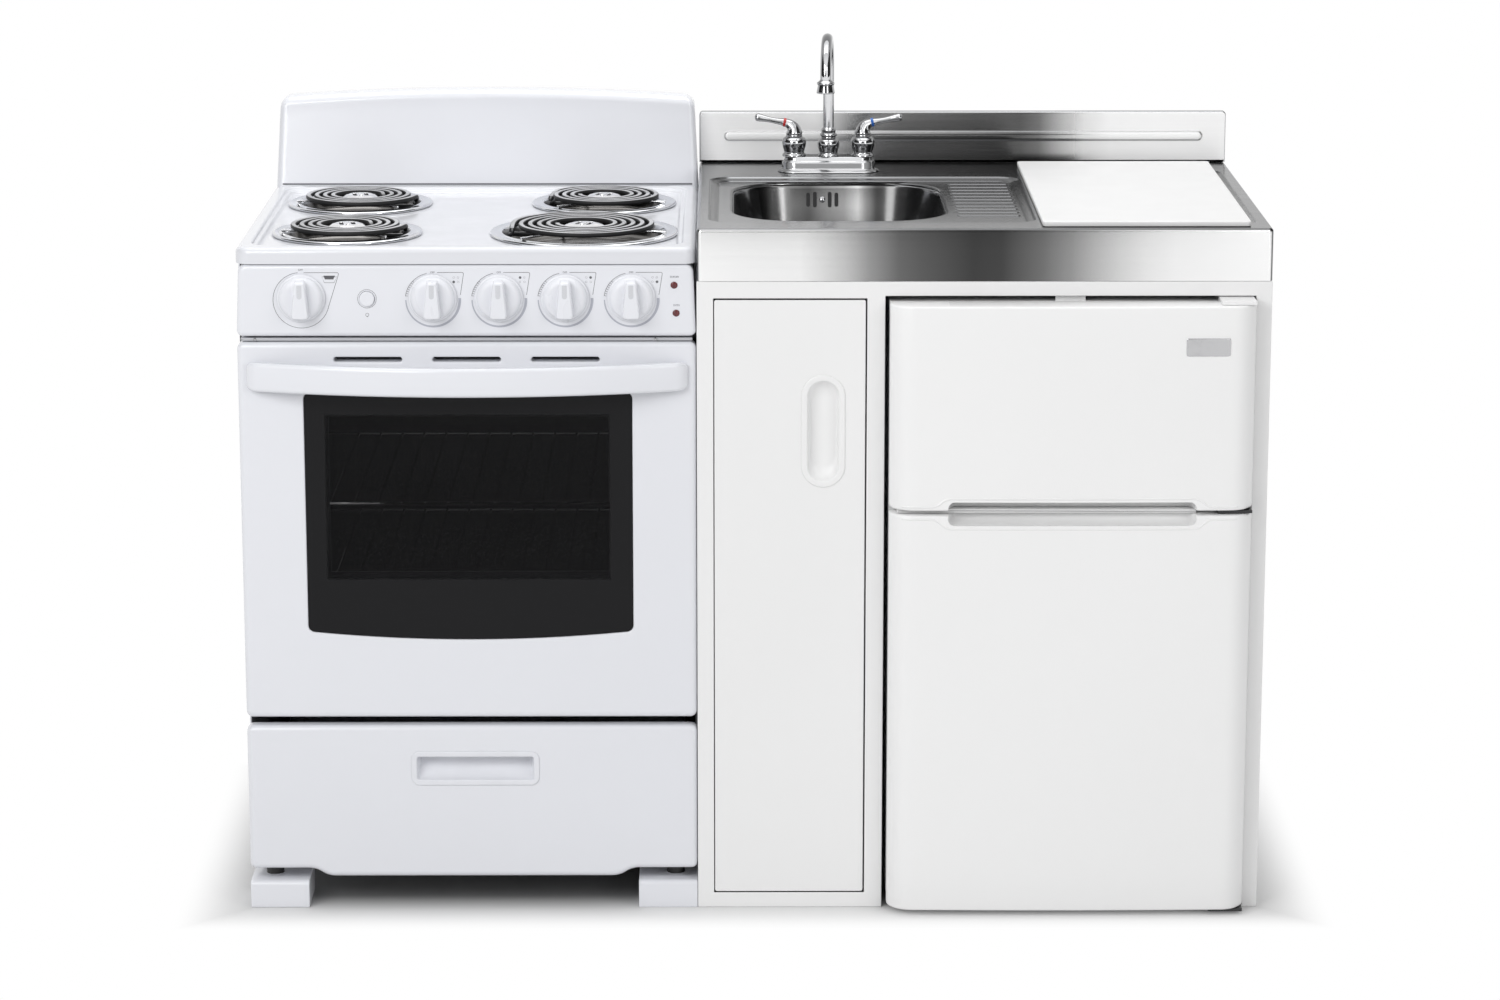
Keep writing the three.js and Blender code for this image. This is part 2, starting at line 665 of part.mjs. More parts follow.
// A shallow pan: a rounded nose, a sunken floor with four burner holes, and a hollow underside.
function cooktop() {
  const r = COOKTOP_NOSE_RADIUS;
  const profile = [
    point(0, COOKTOP_BOTTOM),
    ...arc(r, COOKTOP_TOP - r, r, 180, 90),
    point(COOKTOP_DEPTH, COOKTOP_TOP),
    point(COOKTOP_DEPTH, COOKTOP_BOTTOM),
  ];
  const body = prism(profile, "x", 0, RANGE_WIDTH);
  const recess = (grow) =>
    roundedBox(
      COOKTOP_SIDE_RIM - grow,
      RANGE_WIDTH - COOKTOP_SIDE_RIM + grow,
      COOKTOP_FRONT_RIM - grow,
      COOKTOP_DEPTH - COOKTOP_REAR_RIM + grow,
      COOKTOP_RECESS_CORNER + grow,
    );
  const well = loft(
    "z",
    [COOKTOP_FLOOR, recess(0)],
    [COOKTOP_TOP, recess(COOKTOP_RECESS_SLOPE)],
    [COOKTOP_TOP + 1, recess(COOKTOP_RECESS_SLOPE)],
  );
  const underside = block(
    SHEET,
    RANGE_WIDTH - SHEET,
    SHEET,
    COOKTOP_DEPTH - SHEET,
    COOKTOP_BOTTOM - 1,
    COOKTOP_FLOOR - SHEET,
  );
  const holes = BURNERS.map((burner) => {
    const radius = bowlRadius(burner) - BURNER_HOLE_INSET;
    return rod("z", burner.x, burner.y, radius, COOKTOP_BOTTOM, COOKTOP_TOP, BURNER_SIDES);
  });
  return cut(body, well, underside, ...holes);
}

const bowlMargin = (burner) => (burner.large ? LARGE_BOWL_MARGIN : SMALL_BOWL_MARGIN);
const coilPitch = (burner) => (burner.large ? LARGE_COIL_PITCH : SMALL_COIL_PITCH);
const coilTurns = (burner) => (burner.large ? LARGE_COIL_TURNS : SMALL_COIL_TURNS);
const discRadius = (burner) =>
  burner.large ? LARGE_CENTRE_DISC_RADIUS : SMALL_CENTRE_DISC_RADIUS;
const coilStart = (burner) => discRadius(burner) + COIL_DISC_GAP + COIL_TUBE_WIDTH / 2;
const coilEnd = (burner) => coilStart(burner) + coilPitch(burner) * coilTurns(burner);
const bowlRadius = (burner) =>
  coilEnd(burner) + COIL_TUBE_WIDTH / 2 + bowlMargin(burner) + BOWL_RIM_WIDTH;
const BOWL_SEAT_HEIGHT = COOKTOP_FLOOR + SEAT;
const BOWL_RIM_HEIGHT = BOWL_SEAT_HEIGHT + BOWL_RIM_RISE;
const COIL_BOTTOM = BOWL_RIM_HEIGHT + COIL_RISE;
const COIL_CENTRE_HEIGHT = COIL_BOTTOM + COIL_TUBE_HEIGHT / 2;

// A sheet bowl: a raised flat rim, a sloping wall and a floor with a hole in its middle.
function dripBowl(burner) {
  const edge = bowlRadius(burner);
  const lip = edge - BOWL_RIM_WIDTH;
  const wallFoot = lip - BOWL_WALL_SLOPE;
  const rim = BOWL_RIM_HEIGHT;
  const floor = rim - BOWL_DEPTH;
  const wallRise = 6;
  const t = BOWL_SHEET;
  const profile = [
    [edge, BOWL_SEAT_HEIGHT],
    [edge - 2, rim],
    [lip, rim],
    [wallFoot, floor + wallRise],
    [BOWL_HOLE_RADIUS, floor],
    [BOWL_HOLE_RADIUS, floor - t],
    [wallFoot + t, floor + wallRise - t],
    [lip + t, rim - t],
    [edge - 3, rim - t],
    [edge - t, BOWL_SEAT_HEIGHT],
    [edge, BOWL_SEAT_HEIGHT],
  ];
  return turned(profile, burner.x, burner.y, BURNER_SIDES);
}

// A flat spiral, anticlockwise and outwards at one pitch a turn. Both ends dip below it.
class CoilPath extends THREE.Curve {
  constructor(burner) {
    super();
    this.burner = burner;
    this.turns = coilTurns(burner);
  }
  angle(t) {
    return THREE.MathUtils.degToRad(this.burner.innerEnd) + t * this.turns * 2 * Math.PI;
  }
  getPoint(t, target = new THREE.Vector3()) {
    const radius = THREE.MathUtils.lerp(coilStart(this.burner), coilEnd(this.burner), t);
    const fromEnd = Math.min(t, 1 - t) * this.turns;
    const dip = Math.max(0, 1 - fromEnd / COIL_END_TURN);
    return target.set(
      this.burner.x + radius * Math.cos(this.angle(t)),
      this.burner.y + radius * Math.sin(this.angle(t)),
      COIL_CENTRE_HEIGHT - COIL_END_DROP * dip * dip,
    );
  }
}

// The heating tube's section as [outwards, up] pairs: a hexagon with a flat top and underside.
function coilSection() {
  const high = COIL_TUBE_HEIGHT / 2;
  const wide = COIL_TUBE_WIDTH / 2;
  const flat = wide * 0.6;
  return [
    [flat, high],
    [-flat, high],
    [-wide, 0],
    [-flat, -high],
    [flat, -high],
    [wide, 0],
  ];
}

// The least gap between one turn and any other, measured on points along the path.
function leastCoilGap(path) {
  const steps = Math.round(path.turns * LOOP_STEPS);
  const points = Array.from({ length: steps + 1 }, (_, i) => path.getPoint(i / steps));
  let least = Infinity;
  points.forEach((p, i) =>
    points.slice(i + LOOP_STEPS / 2).forEach((q) => {
      least = Math.min(least, p.distanceTo(q) - COIL_TUBE_WIDTH);
    }),
  );
  return least;
}

// One unbroken heating tube wound as a spiral, its section upright all the way.
function coilElement(burner) {
  const path = new CoilPath(burner);
  const steps = Math.round(path.turns * LOOP_STEPS);
  const rings = Array.from({ length: steps + 1 }, (_, i) => {
    const centre = path.getPoint(i / steps);
    const angle = path.angle(i / steps);
    const out = new THREE.Vector3(Math.cos(angle), Math.sin(angle), 0);
    return coilSection().map(([along, up]) =>
      centre.clone().addScaledVector(out, along).setZ(centre.z + up),
    );
  });
  const gap = leastCoilGap(path).toFixed(2);
  console.log(`${burner.name} coil: ${path.turns.toFixed(2)} turns, least gap ${gap} mm`);
  return skin(rings);
}

// Three arms under the coil, which rest on the bowl's rim, and the disc in its middle.
function coilSupport(burner) {
  const top = COIL_BOTTOM - SEAT;
  const bottom = BOWL_RIM_HEIGHT + SEAT;
  const reach = bowlRadius(burner) - BOWL_RIM_WIDTH + 5;
  const radius = discRadius(burner);
  const disc = turned(
    [
      [0, bottom],
      [radius * 0.6, bottom],
      [radius, top],
      [radius, top + CENTRE_DISC_RISE - 2],
      [radius - 3, top + CENTRE_DISC_RISE],
      [0, top + CENTRE_DISC_RISE - 1],
    ],
    0,
    0,
  );
  const arms = [0, 1, 2].map((i) => {
    const arm = block(0, reach, -COIL_ARM_WIDTH / 2, COIL_ARM_WIDTH / 2, bottom, top);
    return arm.rotate([0, 0, burner.innerEnd + COIL_ARM_ANGLE + 120 * i]);
  });
  return join(disc, ...arms).translate([burner.x, burner.y, 0]);
}

// A hollow upstand behind the cooktop: arched top, tapered sides, front leaning back.
function backguard() {
  const front = COOKTOP_DEPTH + SEAT;
  const bottom = COOKTOP_BOTTOM;
  const middle = RANGE_WIDTH / 2;
  const archRise = BACKGUARD_MIDDLE_HEIGHT - BACKGUARD_SIDE_HEIGHT;
  const outline = (inset) => {
    const left = BACKGUARD_TAPER + inset;
    const right = RANGE_WIDTH - left;
    const r = BACKGUARD_CORNER;
    const side = BACKGUARD_SIDE_HEIGHT - inset - r;
    const arch = Array.from({ length: 9 }, (_, i) => {
      const x = right - r - ((right - left - 2 * r) * (i + 1)) / 10;
      const share = (x - middle) / middle;
      return point(x, side + r + archRise * (1 - share * share));
    });
    return [
      point(inset, bottom + inset),
      point(RANGE_WIDTH - inset, bottom + inset),
      ...arc(right - r, side, r, 0, 90),
      ...arch,
      ...arc(left + r, side, r, 90, 180),
    ];
  };
  const profile = (inset, back) => {
    const lean = BACKGUARD_LEAN + inset;
    const r = BACKGUARD_TOP_EDGE;
    const top = BACKGUARD_MIDDLE_HEIGHT - inset;
    return [
      point(front + inset, bottom + inset),
      ...arc(front + lean + r, top - r, r, 180, 90),
      point(back, top),
      point(back, bottom + inset),
    ];
  };
  const solid = (inset, back) => {
    const face = prism(outline(inset), "y", front, back);
    return face.intersect(prism(profile(inset, back), "x", 0, RANGE_WIDTH));
  };
  return cut(solid(0, DEPTH), solid(SHEET, DEPTH + 1));
}

const burnerKnobPlaces = BURNERS.map(
  (_, i) => RANGE_WIDTH - LAST_BURNER_KNOB_INSET - (BURNERS.length - 1 - i) * BURNER_KNOB_PITCH,
);
const LIGHT_BUTTON_X = (OVEN_KNOB_X + burnerKnobPlaces[0]) / 2;

// The panel's casing, open at the back, with a bore for each shaft, button and lamp.
function controlPanel() {
  const top = COOKTOP_BOTTOM - SEAT;
  const plan = frontRounded(0, RANGE_WIDTH, 0, PANEL_DEPTH, PANEL_CORNER);
  const face = [
    ...arc(PANEL_CORNER, PANEL_BOTTOM + PANEL_CORNER, PANEL_CORNER, 180, 270),
    ...arc(RANGE_WIDTH - PANEL_CORNER, PANEL_BOTTOM + PANEL_CORNER, PANEL_CORNER, 270, 360),
    point(RANGE_WIDTH, top),
    point(0, top),
  ];
  const outside = prism(plan, "z", PANEL_BOTTOM, top).intersect(
    prism(face, "y", -1, PANEL_DEPTH + 1),
  );
  const wall = PANEL_CORNER;
  const inside = block(
    wall,
    RANGE_WIDTH - wall,
    SHEET,
    PANEL_DEPTH + 1,
    PANEL_BOTTOM + SHEET,
    top - SHEET,
  );
  const bore = (x, z, radius, sides = SMALL_SIDES) =>
    rod("y", x, z, radius + SEAT, -1, SHEET + 1, sides);
  return cut(
    outside,
    inside,
    ...[OVEN_KNOB_X, ...burnerKnobPlaces].map((x) =>
      bore(x, KNOB_CENTRE_HEIGHT, KNOB_SHAFT_RADIUS),
    ),
    bore(LIGHT_BUTTON_X, LIGHT_BUTTON_HEIGHT, LIGHT_BUTTON_RADIUS, ROUND_SIDES),
    bore(BURNER_LAMP_X, BURNER_LAMP_HEIGHT, LAMP_RADIUS),
    bore(OVEN_LAMP_X, OVEN_LAMP_HEIGHT, LAMP_RADIUS),
  );
}

// A knob on its own axis: skirt, dome, grip bar and shaft. Its face looks along -y.
function knob() {
  const back = -KNOB_STANDOFF;
  const profile = [
    [0, 0],
    [KNOB_SKIRT_RADIUS, 0],
    [KNOB_SKIRT_RADIUS - 1, KNOB_SKIRT_HEIGHT],
    [KNOB_DOME_RADIUS, KNOB_SKIRT_HEIGHT + 1],
    [KNOB_DOME_RADIUS - 4, KNOB_DOME_HEIGHT],
    [0, KNOB_DOME_HEIGHT],
  ];
  const dial = turned(profile, 0, 0).rotate([90, 0, 0]).translate([0, back, 0]);
  const bar = (width, length) =>
    roundedBox(-width / 2, width / 2, -length / 2, length / 2, width * 0.4, 2);
  const grip = loft(
    "y",
    [back - KNOB_DOME_HEIGHT + 2, bar(KNOB_GRIP_ROOT_WIDTH, KNOB_GRIP_LENGTH)],
    [back - KNOB_GRIP_HEIGHT + 2, bar(KNOB_GRIP_TOP_WIDTH, KNOB_GRIP_LENGTH - 3)],
    [back - KNOB_GRIP_HEIGHT, bar(KNOB_GRIP_TOP_WIDTH - 4, KNOB_GRIP_LENGTH - 7)],
  );
  const shaft = rod("y", 0, 0, KNOB_SHAFT_RADIUS, back - 1, KNOB_SHAFT_LENGTH, SMALL_SIDES);
  return join(dial, grip, shaft);
}

// A round button or lamp that stands proud of the panel.
const plug = (radius, proud, sides = SMALL_SIDES) =>
  rod("y", 0, 0, radius, -proud, CONTROL_LENGTH, sides);

// The oven's box with rack ledges on its sides and a flange round its mouth.
function ovenLiner() {
  const right = RANGE_WIDTH - OVEN_LEFT;
  const box = block(OVEN_LEFT, right, FLANGE_FRONT, OVEN_BACK, OVEN_BOTTOM, OVEN_TOP);
  const flange = block(
    0,
    RANGE_WIDTH,
    FLANGE_FRONT,
    SHELL_FRONT - SEAT,
    FLANGE_BOTTOM,
    FLANGE_TOP,
  );
  const cavity = block(
    OVEN_LEFT + SHEET,
    right - SHEET,
    0,
    OVEN_BACK - SHEET,
    OVEN_BOTTOM + SHEET,
    OVEN_TOP - SHEET,
  );
  const ledges = [LOWER_RACK_HEIGHT, UPPER_RACK_HEIGHT].flatMap((height) => {
    const top = height - RACK_FRAME_RADIUS - SEAT;
    const ledge = (x0, x1) => block(x0, x1, RACK_FRONT, RACK_BACK, top - RACK_LEDGE_THICKNESS, top);
    return [
      ledge(OVEN_LEFT + 1, OVEN_LEFT + SHEET + RACK_LEDGE_WIDTH),
      ledge(right - SHEET - RACK_LEDGE_WIDTH, right - 1),
    ];
  });
  return join(cut(join(box, flange), cavity), ...ledges);
}

// A wire rack: a rectangular frame and wires that run front to back across it.
function ovenRack(height) {
  const left = OVEN_LEFT + SHEET + RACK_SIDE_GAP + RACK_FRAME_RADIUS;
  const right = RANGE_WIDTH - left;
  const r = RACK_FRAME_RADIUS;
  const across = (y) => rod("x", y, height, r, left, right, WIRE_SIDES);
  const along = (x, radius, z, inset) =>
    rod("y", x, z, radius, RACK_FRONT + inset, RACK_BACK - inset, WIRE_SIDES);
  const first = RANGE_WIDTH / 2 - (RACK_WIRE_PITCH * (RACK_WIRES - 1)) / 2;
  const wires = Array.from({ length: RACK_WIRES }, (_, i) =>
    along(first + i * RACK_WIRE_PITCH, RACK_WIRE_RADIUS, height, r),
  );
  return join(
    across(RACK_FRONT + r),
    across(RACK_BACK - r),
    along(left, r, height, 0),
    along(right, r, height, 0),
    ...wires,
  );
}

// A rod bent to and fro over the oven floor, on two small feet.
function bakeElement() {
  const z = OVEN_BOTTOM + SHEET + ELEMENT_HEIGHT;
  const back = OVEN_BACK - SHEET - SEAT;
  const middle = RANGE_WIDTH / 2;
  const near = ELEMENT_LEG_SPACING / 2;
  const far = ELEMENT_HALF_WIDTH;
  const turn = back - ELEMENT_LEG_LENGTH;
  const corners = [
    [-near, back],
    [-near, turn],
    [-far, turn],
    [-far, ELEMENT_FRONT],
    [far, ELEMENT_FRONT],
    [far, turn],
    [near, turn],
    [near, back],
  ].map(([x, y]) => new THREE.Vector3(middle + x, y, z));
  const half = ELEMENT_FOOT_SIZE / 2;
  const floor = OVEN_BOTTOM + SHEET + SEAT;
  const feet = [-far, far].map((x) => {
    const y = (ELEMENT_FRONT + turn) / 2;
    return block(middle + x - half, middle + x + half, y - half, y + half, floor, z);
  });
  return join(tube(eased(corners, ELEMENT_BEND_REACH, 3), ELEMENT_RADIUS, 6), ...feet);
}

// The window's outline: straight sides and top, rounded corners, a bottom edge that sags.
function windowOutline(inset) {
  const left = WINDOW_LEFT + inset;
  const right = WINDOW_RIGHT - inset;
  const r = WINDOW_CORNER - inset;
  const bottom = WINDOW_BOTTOM + inset;
  const top = WINDOW_TOP - inset;
  const middle = (left + right) / 2;
  const half = (right - left) / 2;
  const sag = Array.from({ length: 9 }, (_, i) => {
    const x = left + r + ((right - left - 2 * r) * (i + 1)) / 10;
    const share = (x - middle) / half;
    return point(x, bottom - WINDOW_SAG * (1 - share * share));
  });
  return [
    ...arc(left + r, bottom + r, r, 180, 270),
    ...sag,
    ...arc(right - r, bottom + r, r, 270, 360),
    ...arc(right - r, top - r, r, 0, 90),
    ...arc(left + r, top - r, r, 90, 180),
  ];
}

// The door's outer panel: a hollow pressing with a window and three vent slots.
function ovenDoorPanel() {
  const plan = frontRounded(0, RANGE_WIDTH, 0, DOOR_SHELL_DEPTH, DOOR_EDGE_RADIUS);
  const outside = prism(plan, "z", DOOR_BOTTOM, DOOR_TOP);
  const wall = DOOR_EDGE_RADIUS;
  const inside = block(
    wall,
    RANGE_WIDTH - wall,
    SHEET + GLASS_THICKNESS,
    DOOR_SHELL_DEPTH + 1,
    DOOR_BOTTOM + SHEET,
    DOOR_TOP - SHEET,
  );
  const opening = prism(windowOutline(0), "y", -1, DOOR_SHELL_DEPTH);
  const slots = [-1, 0, 1].map((i) => {
    const centre = RANGE_WIDTH / 2 + i * VENT_SLOT_PITCH;
    const half = VENT_SLOT_LENGTH / 2;
    const r = VENT_SLOT_HEIGHT / 2;
    const low = VENT_SLOT_CENTRE_HEIGHT - r;
    const outline = roundedBox(centre - half, centre + half, low, low + 2 * r, r * 0.98);
    return prism(outline, "y", -1, DOOR_SHELL_DEPTH);
  });
  return cut(outside, inside, opening, ...slots);
}

// The window's pane.
function ovenDoorGlass() {
  return prism(windowOutline(SEAT), "y", GLASS_SET_BACK, GLASS_SET_BACK + GLASS_THICKNESS);
}

// The door's inner panel: a plate with a hollow plug that faces the oven's mouth, and round
// the plug a seal that meets the flange.
function ovenDoorLiner() {
  const front = DOOR_SHELL_DEPTH + SEAT;
  const plate = block(
    SHEET,
    RANGE_WIDTH - SHEET,
    front,
    front + SHEET,
    DOOR_LINER_BOTTOM,
    DOOR_LINER_TOP,
  );
  const frame = (insetX, y0, y1, low, high) =>
    block(insetX, RANGE_WIDTH - insetX, y0, y1, low, high);
  const root = front + 1;
  const plug = frame(DOOR_PLUG_INSET_X, root, DOOR_DEPTH, DOOR_PLUG_BOTTOM, DOOR_PLUG_TOP);
  const hollow = frame(
    DOOR_PLUG_INSET_X + SHEET,
    front - 1,
    DOOR_DEPTH - SHEET,
    DOOR_PLUG_BOTTOM + SHEET,
    DOOR_PLUG_TOP - SHEET,
  );
  const sealBack = FLANGE_FRONT - SEAT;
  const sealOutside = frame(
    OVEN_LEFT - DOOR_SEAL_WIDTH,
    root,
    sealBack,
    OVEN_BOTTOM - DOOR_SEAL_HEIGHT,
    OVEN_TOP + DOOR_SEAL_HEIGHT,
  );
  const sealInside = frame(OVEN_LEFT, front + SHEET, sealBack + 1, OVEN_BOTTOM, OVEN_TOP);
  const opening = block(
    WINDOW_LEFT + INNER_WINDOW_INSET,
    WINDOW_RIGHT - INNER_WINDOW_INSET,
    0,
    DOOR_DEPTH + 1,
    INNER_WINDOW_BOTTOM,
    INNER_WINDOW_TOP,
  );
  return cut(join(plate, cut(sealOutside, sealInside), plug), hollow, opening);
}

// A bar bowed out from the door in plan, with a pad at each end that meets the door.
function ovenDoorHandle() {
  const middle = (HANDLE_LEFT + HANDLE_RIGHT) / 2;
  const half = (HANDLE_RIGHT - HANDLE_LEFT) / 2;
  const bow = (x) => {
    const share = (x - middle) / half;
    return HANDLE_END_REACH + (HANDLE_REACH - HANDLE_END_REACH) * (1 - share * share);
  };
  const steps = 24;
  const places = Array.from({ length: steps + 1 }, (_, i) => HANDLE_LEFT + (2 * half * i) / steps);
  const r = HANDLE_END_RADIUS;
  const outerEdge = places.slice(1, -1).map((x) => point(x, -bow(x)));
  const innerEdge = places
    .slice(1, -1)
    .map((x) => point(x, Math.min(-SEAT, HANDLE_THICKNESS - bow(x))))
    .reverse();
  const plan = [
    point(HANDLE_LEFT, -SEAT),
    ...arc(HANDLE_LEFT + r, r - HANDLE_END_REACH, r, 180, 230, 3),
    ...outerEdge,
    ...arc(HANDLE_RIGHT - r, r - HANDLE_END_REACH, r, 310, 360, 3),
    point(HANDLE_RIGHT, -SEAT),
    ...innerEdge,
  ];
  return prism(plan, "z", HANDLE_BOTTOM, HANDLE_TOP);
}

// The drawer: a hollow front whose lower edge steps down between the feet, and a tray behind.
function storageDrawer() {
  const front = [
    point(0, DRAWER_SIDE_BOTTOM),
    point(DRAWER_STEP_OUTER, DRAWER_SIDE_BOTTOM),
    point(DRAWER_STEP_INNER, DRAWER_MIDDLE_BOTTOM),
    point(RANGE_WIDTH - DRAWER_STEP_INNER, DRAWER_MIDDLE_BOTTOM),
    point(RANGE_WIDTH - DRAWER_STEP_OUTER, DRAWER_SIDE_BOTTOM),
    point(RANGE_WIDTH, DRAWER_SIDE_BOTTOM),
    point(RANGE_WIDTH, DRAWER_TOP),
    point(0, DRAWER_TOP),
  ];
  const plan = frontRounded(0, RANGE_WIDTH, 0, DRAWER_FRONT_DEPTH, DOOR_EDGE_RADIUS);
  const face = prism(front, "y", 0, DRAWER_FRONT_DEPTH).intersect(
    prism(plan, "z", 0, DRAWER_TOP + 1),
  );
  const floor = BASE_PAN_BOTTOM + SHEET + SEAT;
  const wall = DOOR_EDGE_RADIUS;
  const hollow = block(
    wall,
    RANGE_WIDTH - wall,
    SHEET,
    DRAWER_FRONT_DEPTH + 1,
    floor + SHEET,
    DRAWER_TOP - SHEET,
  );
  const left = DRAWER_TRAY_INSET;
  const right = RANGE_WIDTH - DRAWER_TRAY_INSET;
  const trayFront = DRAWER_FRONT_DEPTH - SHEET;
  const tray = block(left, right, trayFront, DRAWER_TRAY_BACK, floor, DRAWER_TRAY_TOP);
  const inside = block(
    left + SHEET,
    right - SHEET,
    trayFront + SHEET,
    DRAWER_TRAY_BACK - SHEET,
    floor + SHEET,
    DRAWER_TRAY_TOP + 1,
  );
  const mouth = drawerPullSolid(PULL_WALL + SEAT, 0, PULL_CUP_DEPTH + 2);
  return cut(join(cut(face, hollow), tray), inside, mouth);
}

// The pull's recess, or that recess grown all round: deepest along its top edge.
function drawerPullSolid(grow, low, depth) {
  const profile = [
    point(low - 1, PULL_BOTTOM - grow),
    point(low, PULL_BOTTOM - grow),
    point(low + depth, PULL_TOP - 8 - grow),
    point(low + depth, PULL_TOP + grow),
    point(low - 1, PULL_TOP + grow),
  ];
  return prism(profile, "x", PULL_LEFT - grow, PULL_RIGHT + grow);
}

// The pull's insert: a flat frame on the drawer's face and a sloping cup behind it.
function drawerPull() {
  const frame = roundedBox(
    PULL_LEFT - PULL_FLANGE,
    PULL_RIGHT + PULL_FLANGE,
    PULL_BOTTOM - PULL_FLANGE,
    PULL_TOP + PULL_FLANGE,
    4,
    2,
  );
  const flange = prism(frame, "y", -PULL_FLANGE_PROUD, -SEAT);
  const cup = drawerPullSolid(PULL_WALL, 0, PULL_CUP_DEPTH);
  const recess = drawerPullSolid(0, -1, PULL_CUP_DEPTH - PULL_WALL + 1);
  return cut(join(flange, cup), recess);
}

// ================================================================ sink unit
const SIDE_TOP = WORKTOP_BOTTOM - SEAT;
const SIDE_FRONT = FRAME_DEPTH + SEAT;
const SIDE_BACK = DEPTH - BACK_PANEL - SEAT;
const DIVIDER_CENTRE = (MIDDLE_STILE_LEFT + MIDDLE_STILE_RIGHT) / 2;

const upright = (x0, top) => block(x0, x0 + BOARD_THICKNESS, SIDE_FRONT, SIDE_BACK, 0, top);

// The back of the sink cabinet, and a rail across the top of the fridge bay.
function cabinetBack() {
  const front = DEPTH - BACK_PANEL;
  const right = DIVIDER_CENTRE + BOARD_THICKNESS / 2;
  return join(
    block(0, right, front, DEPTH, 0, SIDE_TOP),
    block(right - 1, SINK_UNIT_WIDTH, front, DEPTH, SIDE_TOP - BACK_RAIL_HEIGHT, SIDE_TOP),
  );
}

// The cabinet's floor, level with the lower rail.
function cabinetFloor() {
  const right = DIVIDER_CENTRE - BOARD_THICKNESS / 2 - SEAT;
  const top = BOTTOM_RAIL - SEAT;
  return block(BOARD_THICKNESS + SEAT, right, SIDE_FRONT, SIDE_BACK, top - BOARD_THICKNESS + 3, top);
}

// Stiles and rails in one front, with the sink door's opening and the fridge bay.
function faceFrame() {
  const plate = block(0, SINK_UNIT_WIDTH, 0, FRAME_DEPTH, 0, SIDE_TOP);
  const doorway = block(
    LEFT_STILE,
    MIDDLE_STILE_LEFT,
    -1,
    FRAME_DEPTH + 1,
    BOTTOM_RAIL,
    WORKTOP_BOTTOM - TOP_RAIL,
  );
  const bay = block(
    MIDDLE_STILE_RIGHT,
    SINK_UNIT_WIDTH - RIGHT_STILE,
    -1,
    FRAME_DEPTH + 1,
    -1,
    WORKTOP_BOTTOM - FRIDGE_HEADER,
  );
  return cut(plate, doorway, bay);
}

// A pull's outline with round ends, drawn in by inset at the sides and by more at the ends.
function pullOutline(inset, endInset) {
  const left = DOOR_PULL_RIGHT - DOOR_PULL_WIDTH + inset;
  const right = DOOR_PULL_RIGHT - inset;
  const radius = (right - left) / 2;
  const low = DOOR_PULL_BOTTOM + endInset + radius;
  const high = DOOR_PULL_TOP - endInset - radius;
  return [
    ...arc((left + right) / 2, low, radius, 180, 360, 10),
    ...arc((left + right) / 2, high, radius, 0, 180, 10),
  ];
}

// The pull's recess with sloping ends, grown all round by a wall.
function pullRecess(grow, front, depth) {
  const rim = DOOR_PULL_RIM - grow;
  const floor = rim + 4;
  return loft(
    "y",
    [front, pullOutline(rim, rim)],
    [0, pullOutline(rim, rim)],
    [depth + grow, pullOutline(floor, floor + DOOR_PULL_END_SLOPE)],
  );
}

// The door's panel, hung close to the left stile, with a hole for the recessed pull.
function sinkDoor() {
  const panel = block(
    LEFT_STILE + SEAT,
    MIDDLE_STILE_LEFT - SINK_DOOR_GAP,
    0,
    FRAME_DEPTH,
    BOTTOM_RAIL + SINK_DOOR_GAP,
    WORKTOP_BOTTOM - TOP_RAIL - SINK_DOOR_GAP,
  );
  return cut(panel, pullRecess(DOOR_PULL_WALL + SEAT, -1, DOOR_PULL_DEPTH));
}

// The pull: an oval rim on the door's face and a cup in the door.
function sinkDoorPull() {
  const rim = prism(pullOutline(0, 0), "y", -DOOR_PULL_PROUD, -SEAT);
  const cup = pullRecess(DOOR_PULL_WALL, -SEAT - 0.5, DOOR_PULL_DEPTH);
  return cut(join(rim, cup), pullRecess(0, -DOOR_PULL_PROUD - 1, DOOR_PULL_DEPTH));
}

// The outline of the sink bowl, grown or drawn in all round.
const bowlOutline = (grow) =>
  roundedBox(
    BOWL_LEFT - grow,
    BOWL_RIGHT + grow,
    BOWL_FRONT - grow,
    BOWL_BACK + grow,
    BOWL_CORNER + grow,
    6,
  );

const trayOutline = (grow) =>
  roundedBox(
    TRAY_LEFT - grow,
    TRAY_RIGHT + grow,
    TRAY_FRONT - grow,
    TRAY_BACK + grow,
    TRAY_CORNER + grow,
  );

const boardTrayOutline = (grow) =>
  roundedBox(
    BOARD_TRAY_LEFT - grow,
    BOARD_TRAY_RIGHT + grow,
    BOARD_TRAY_FRONT - grow,
    BOARD_TRAY_BACK + grow,
    BOARD_TRAY_CORNER + grow,
  );

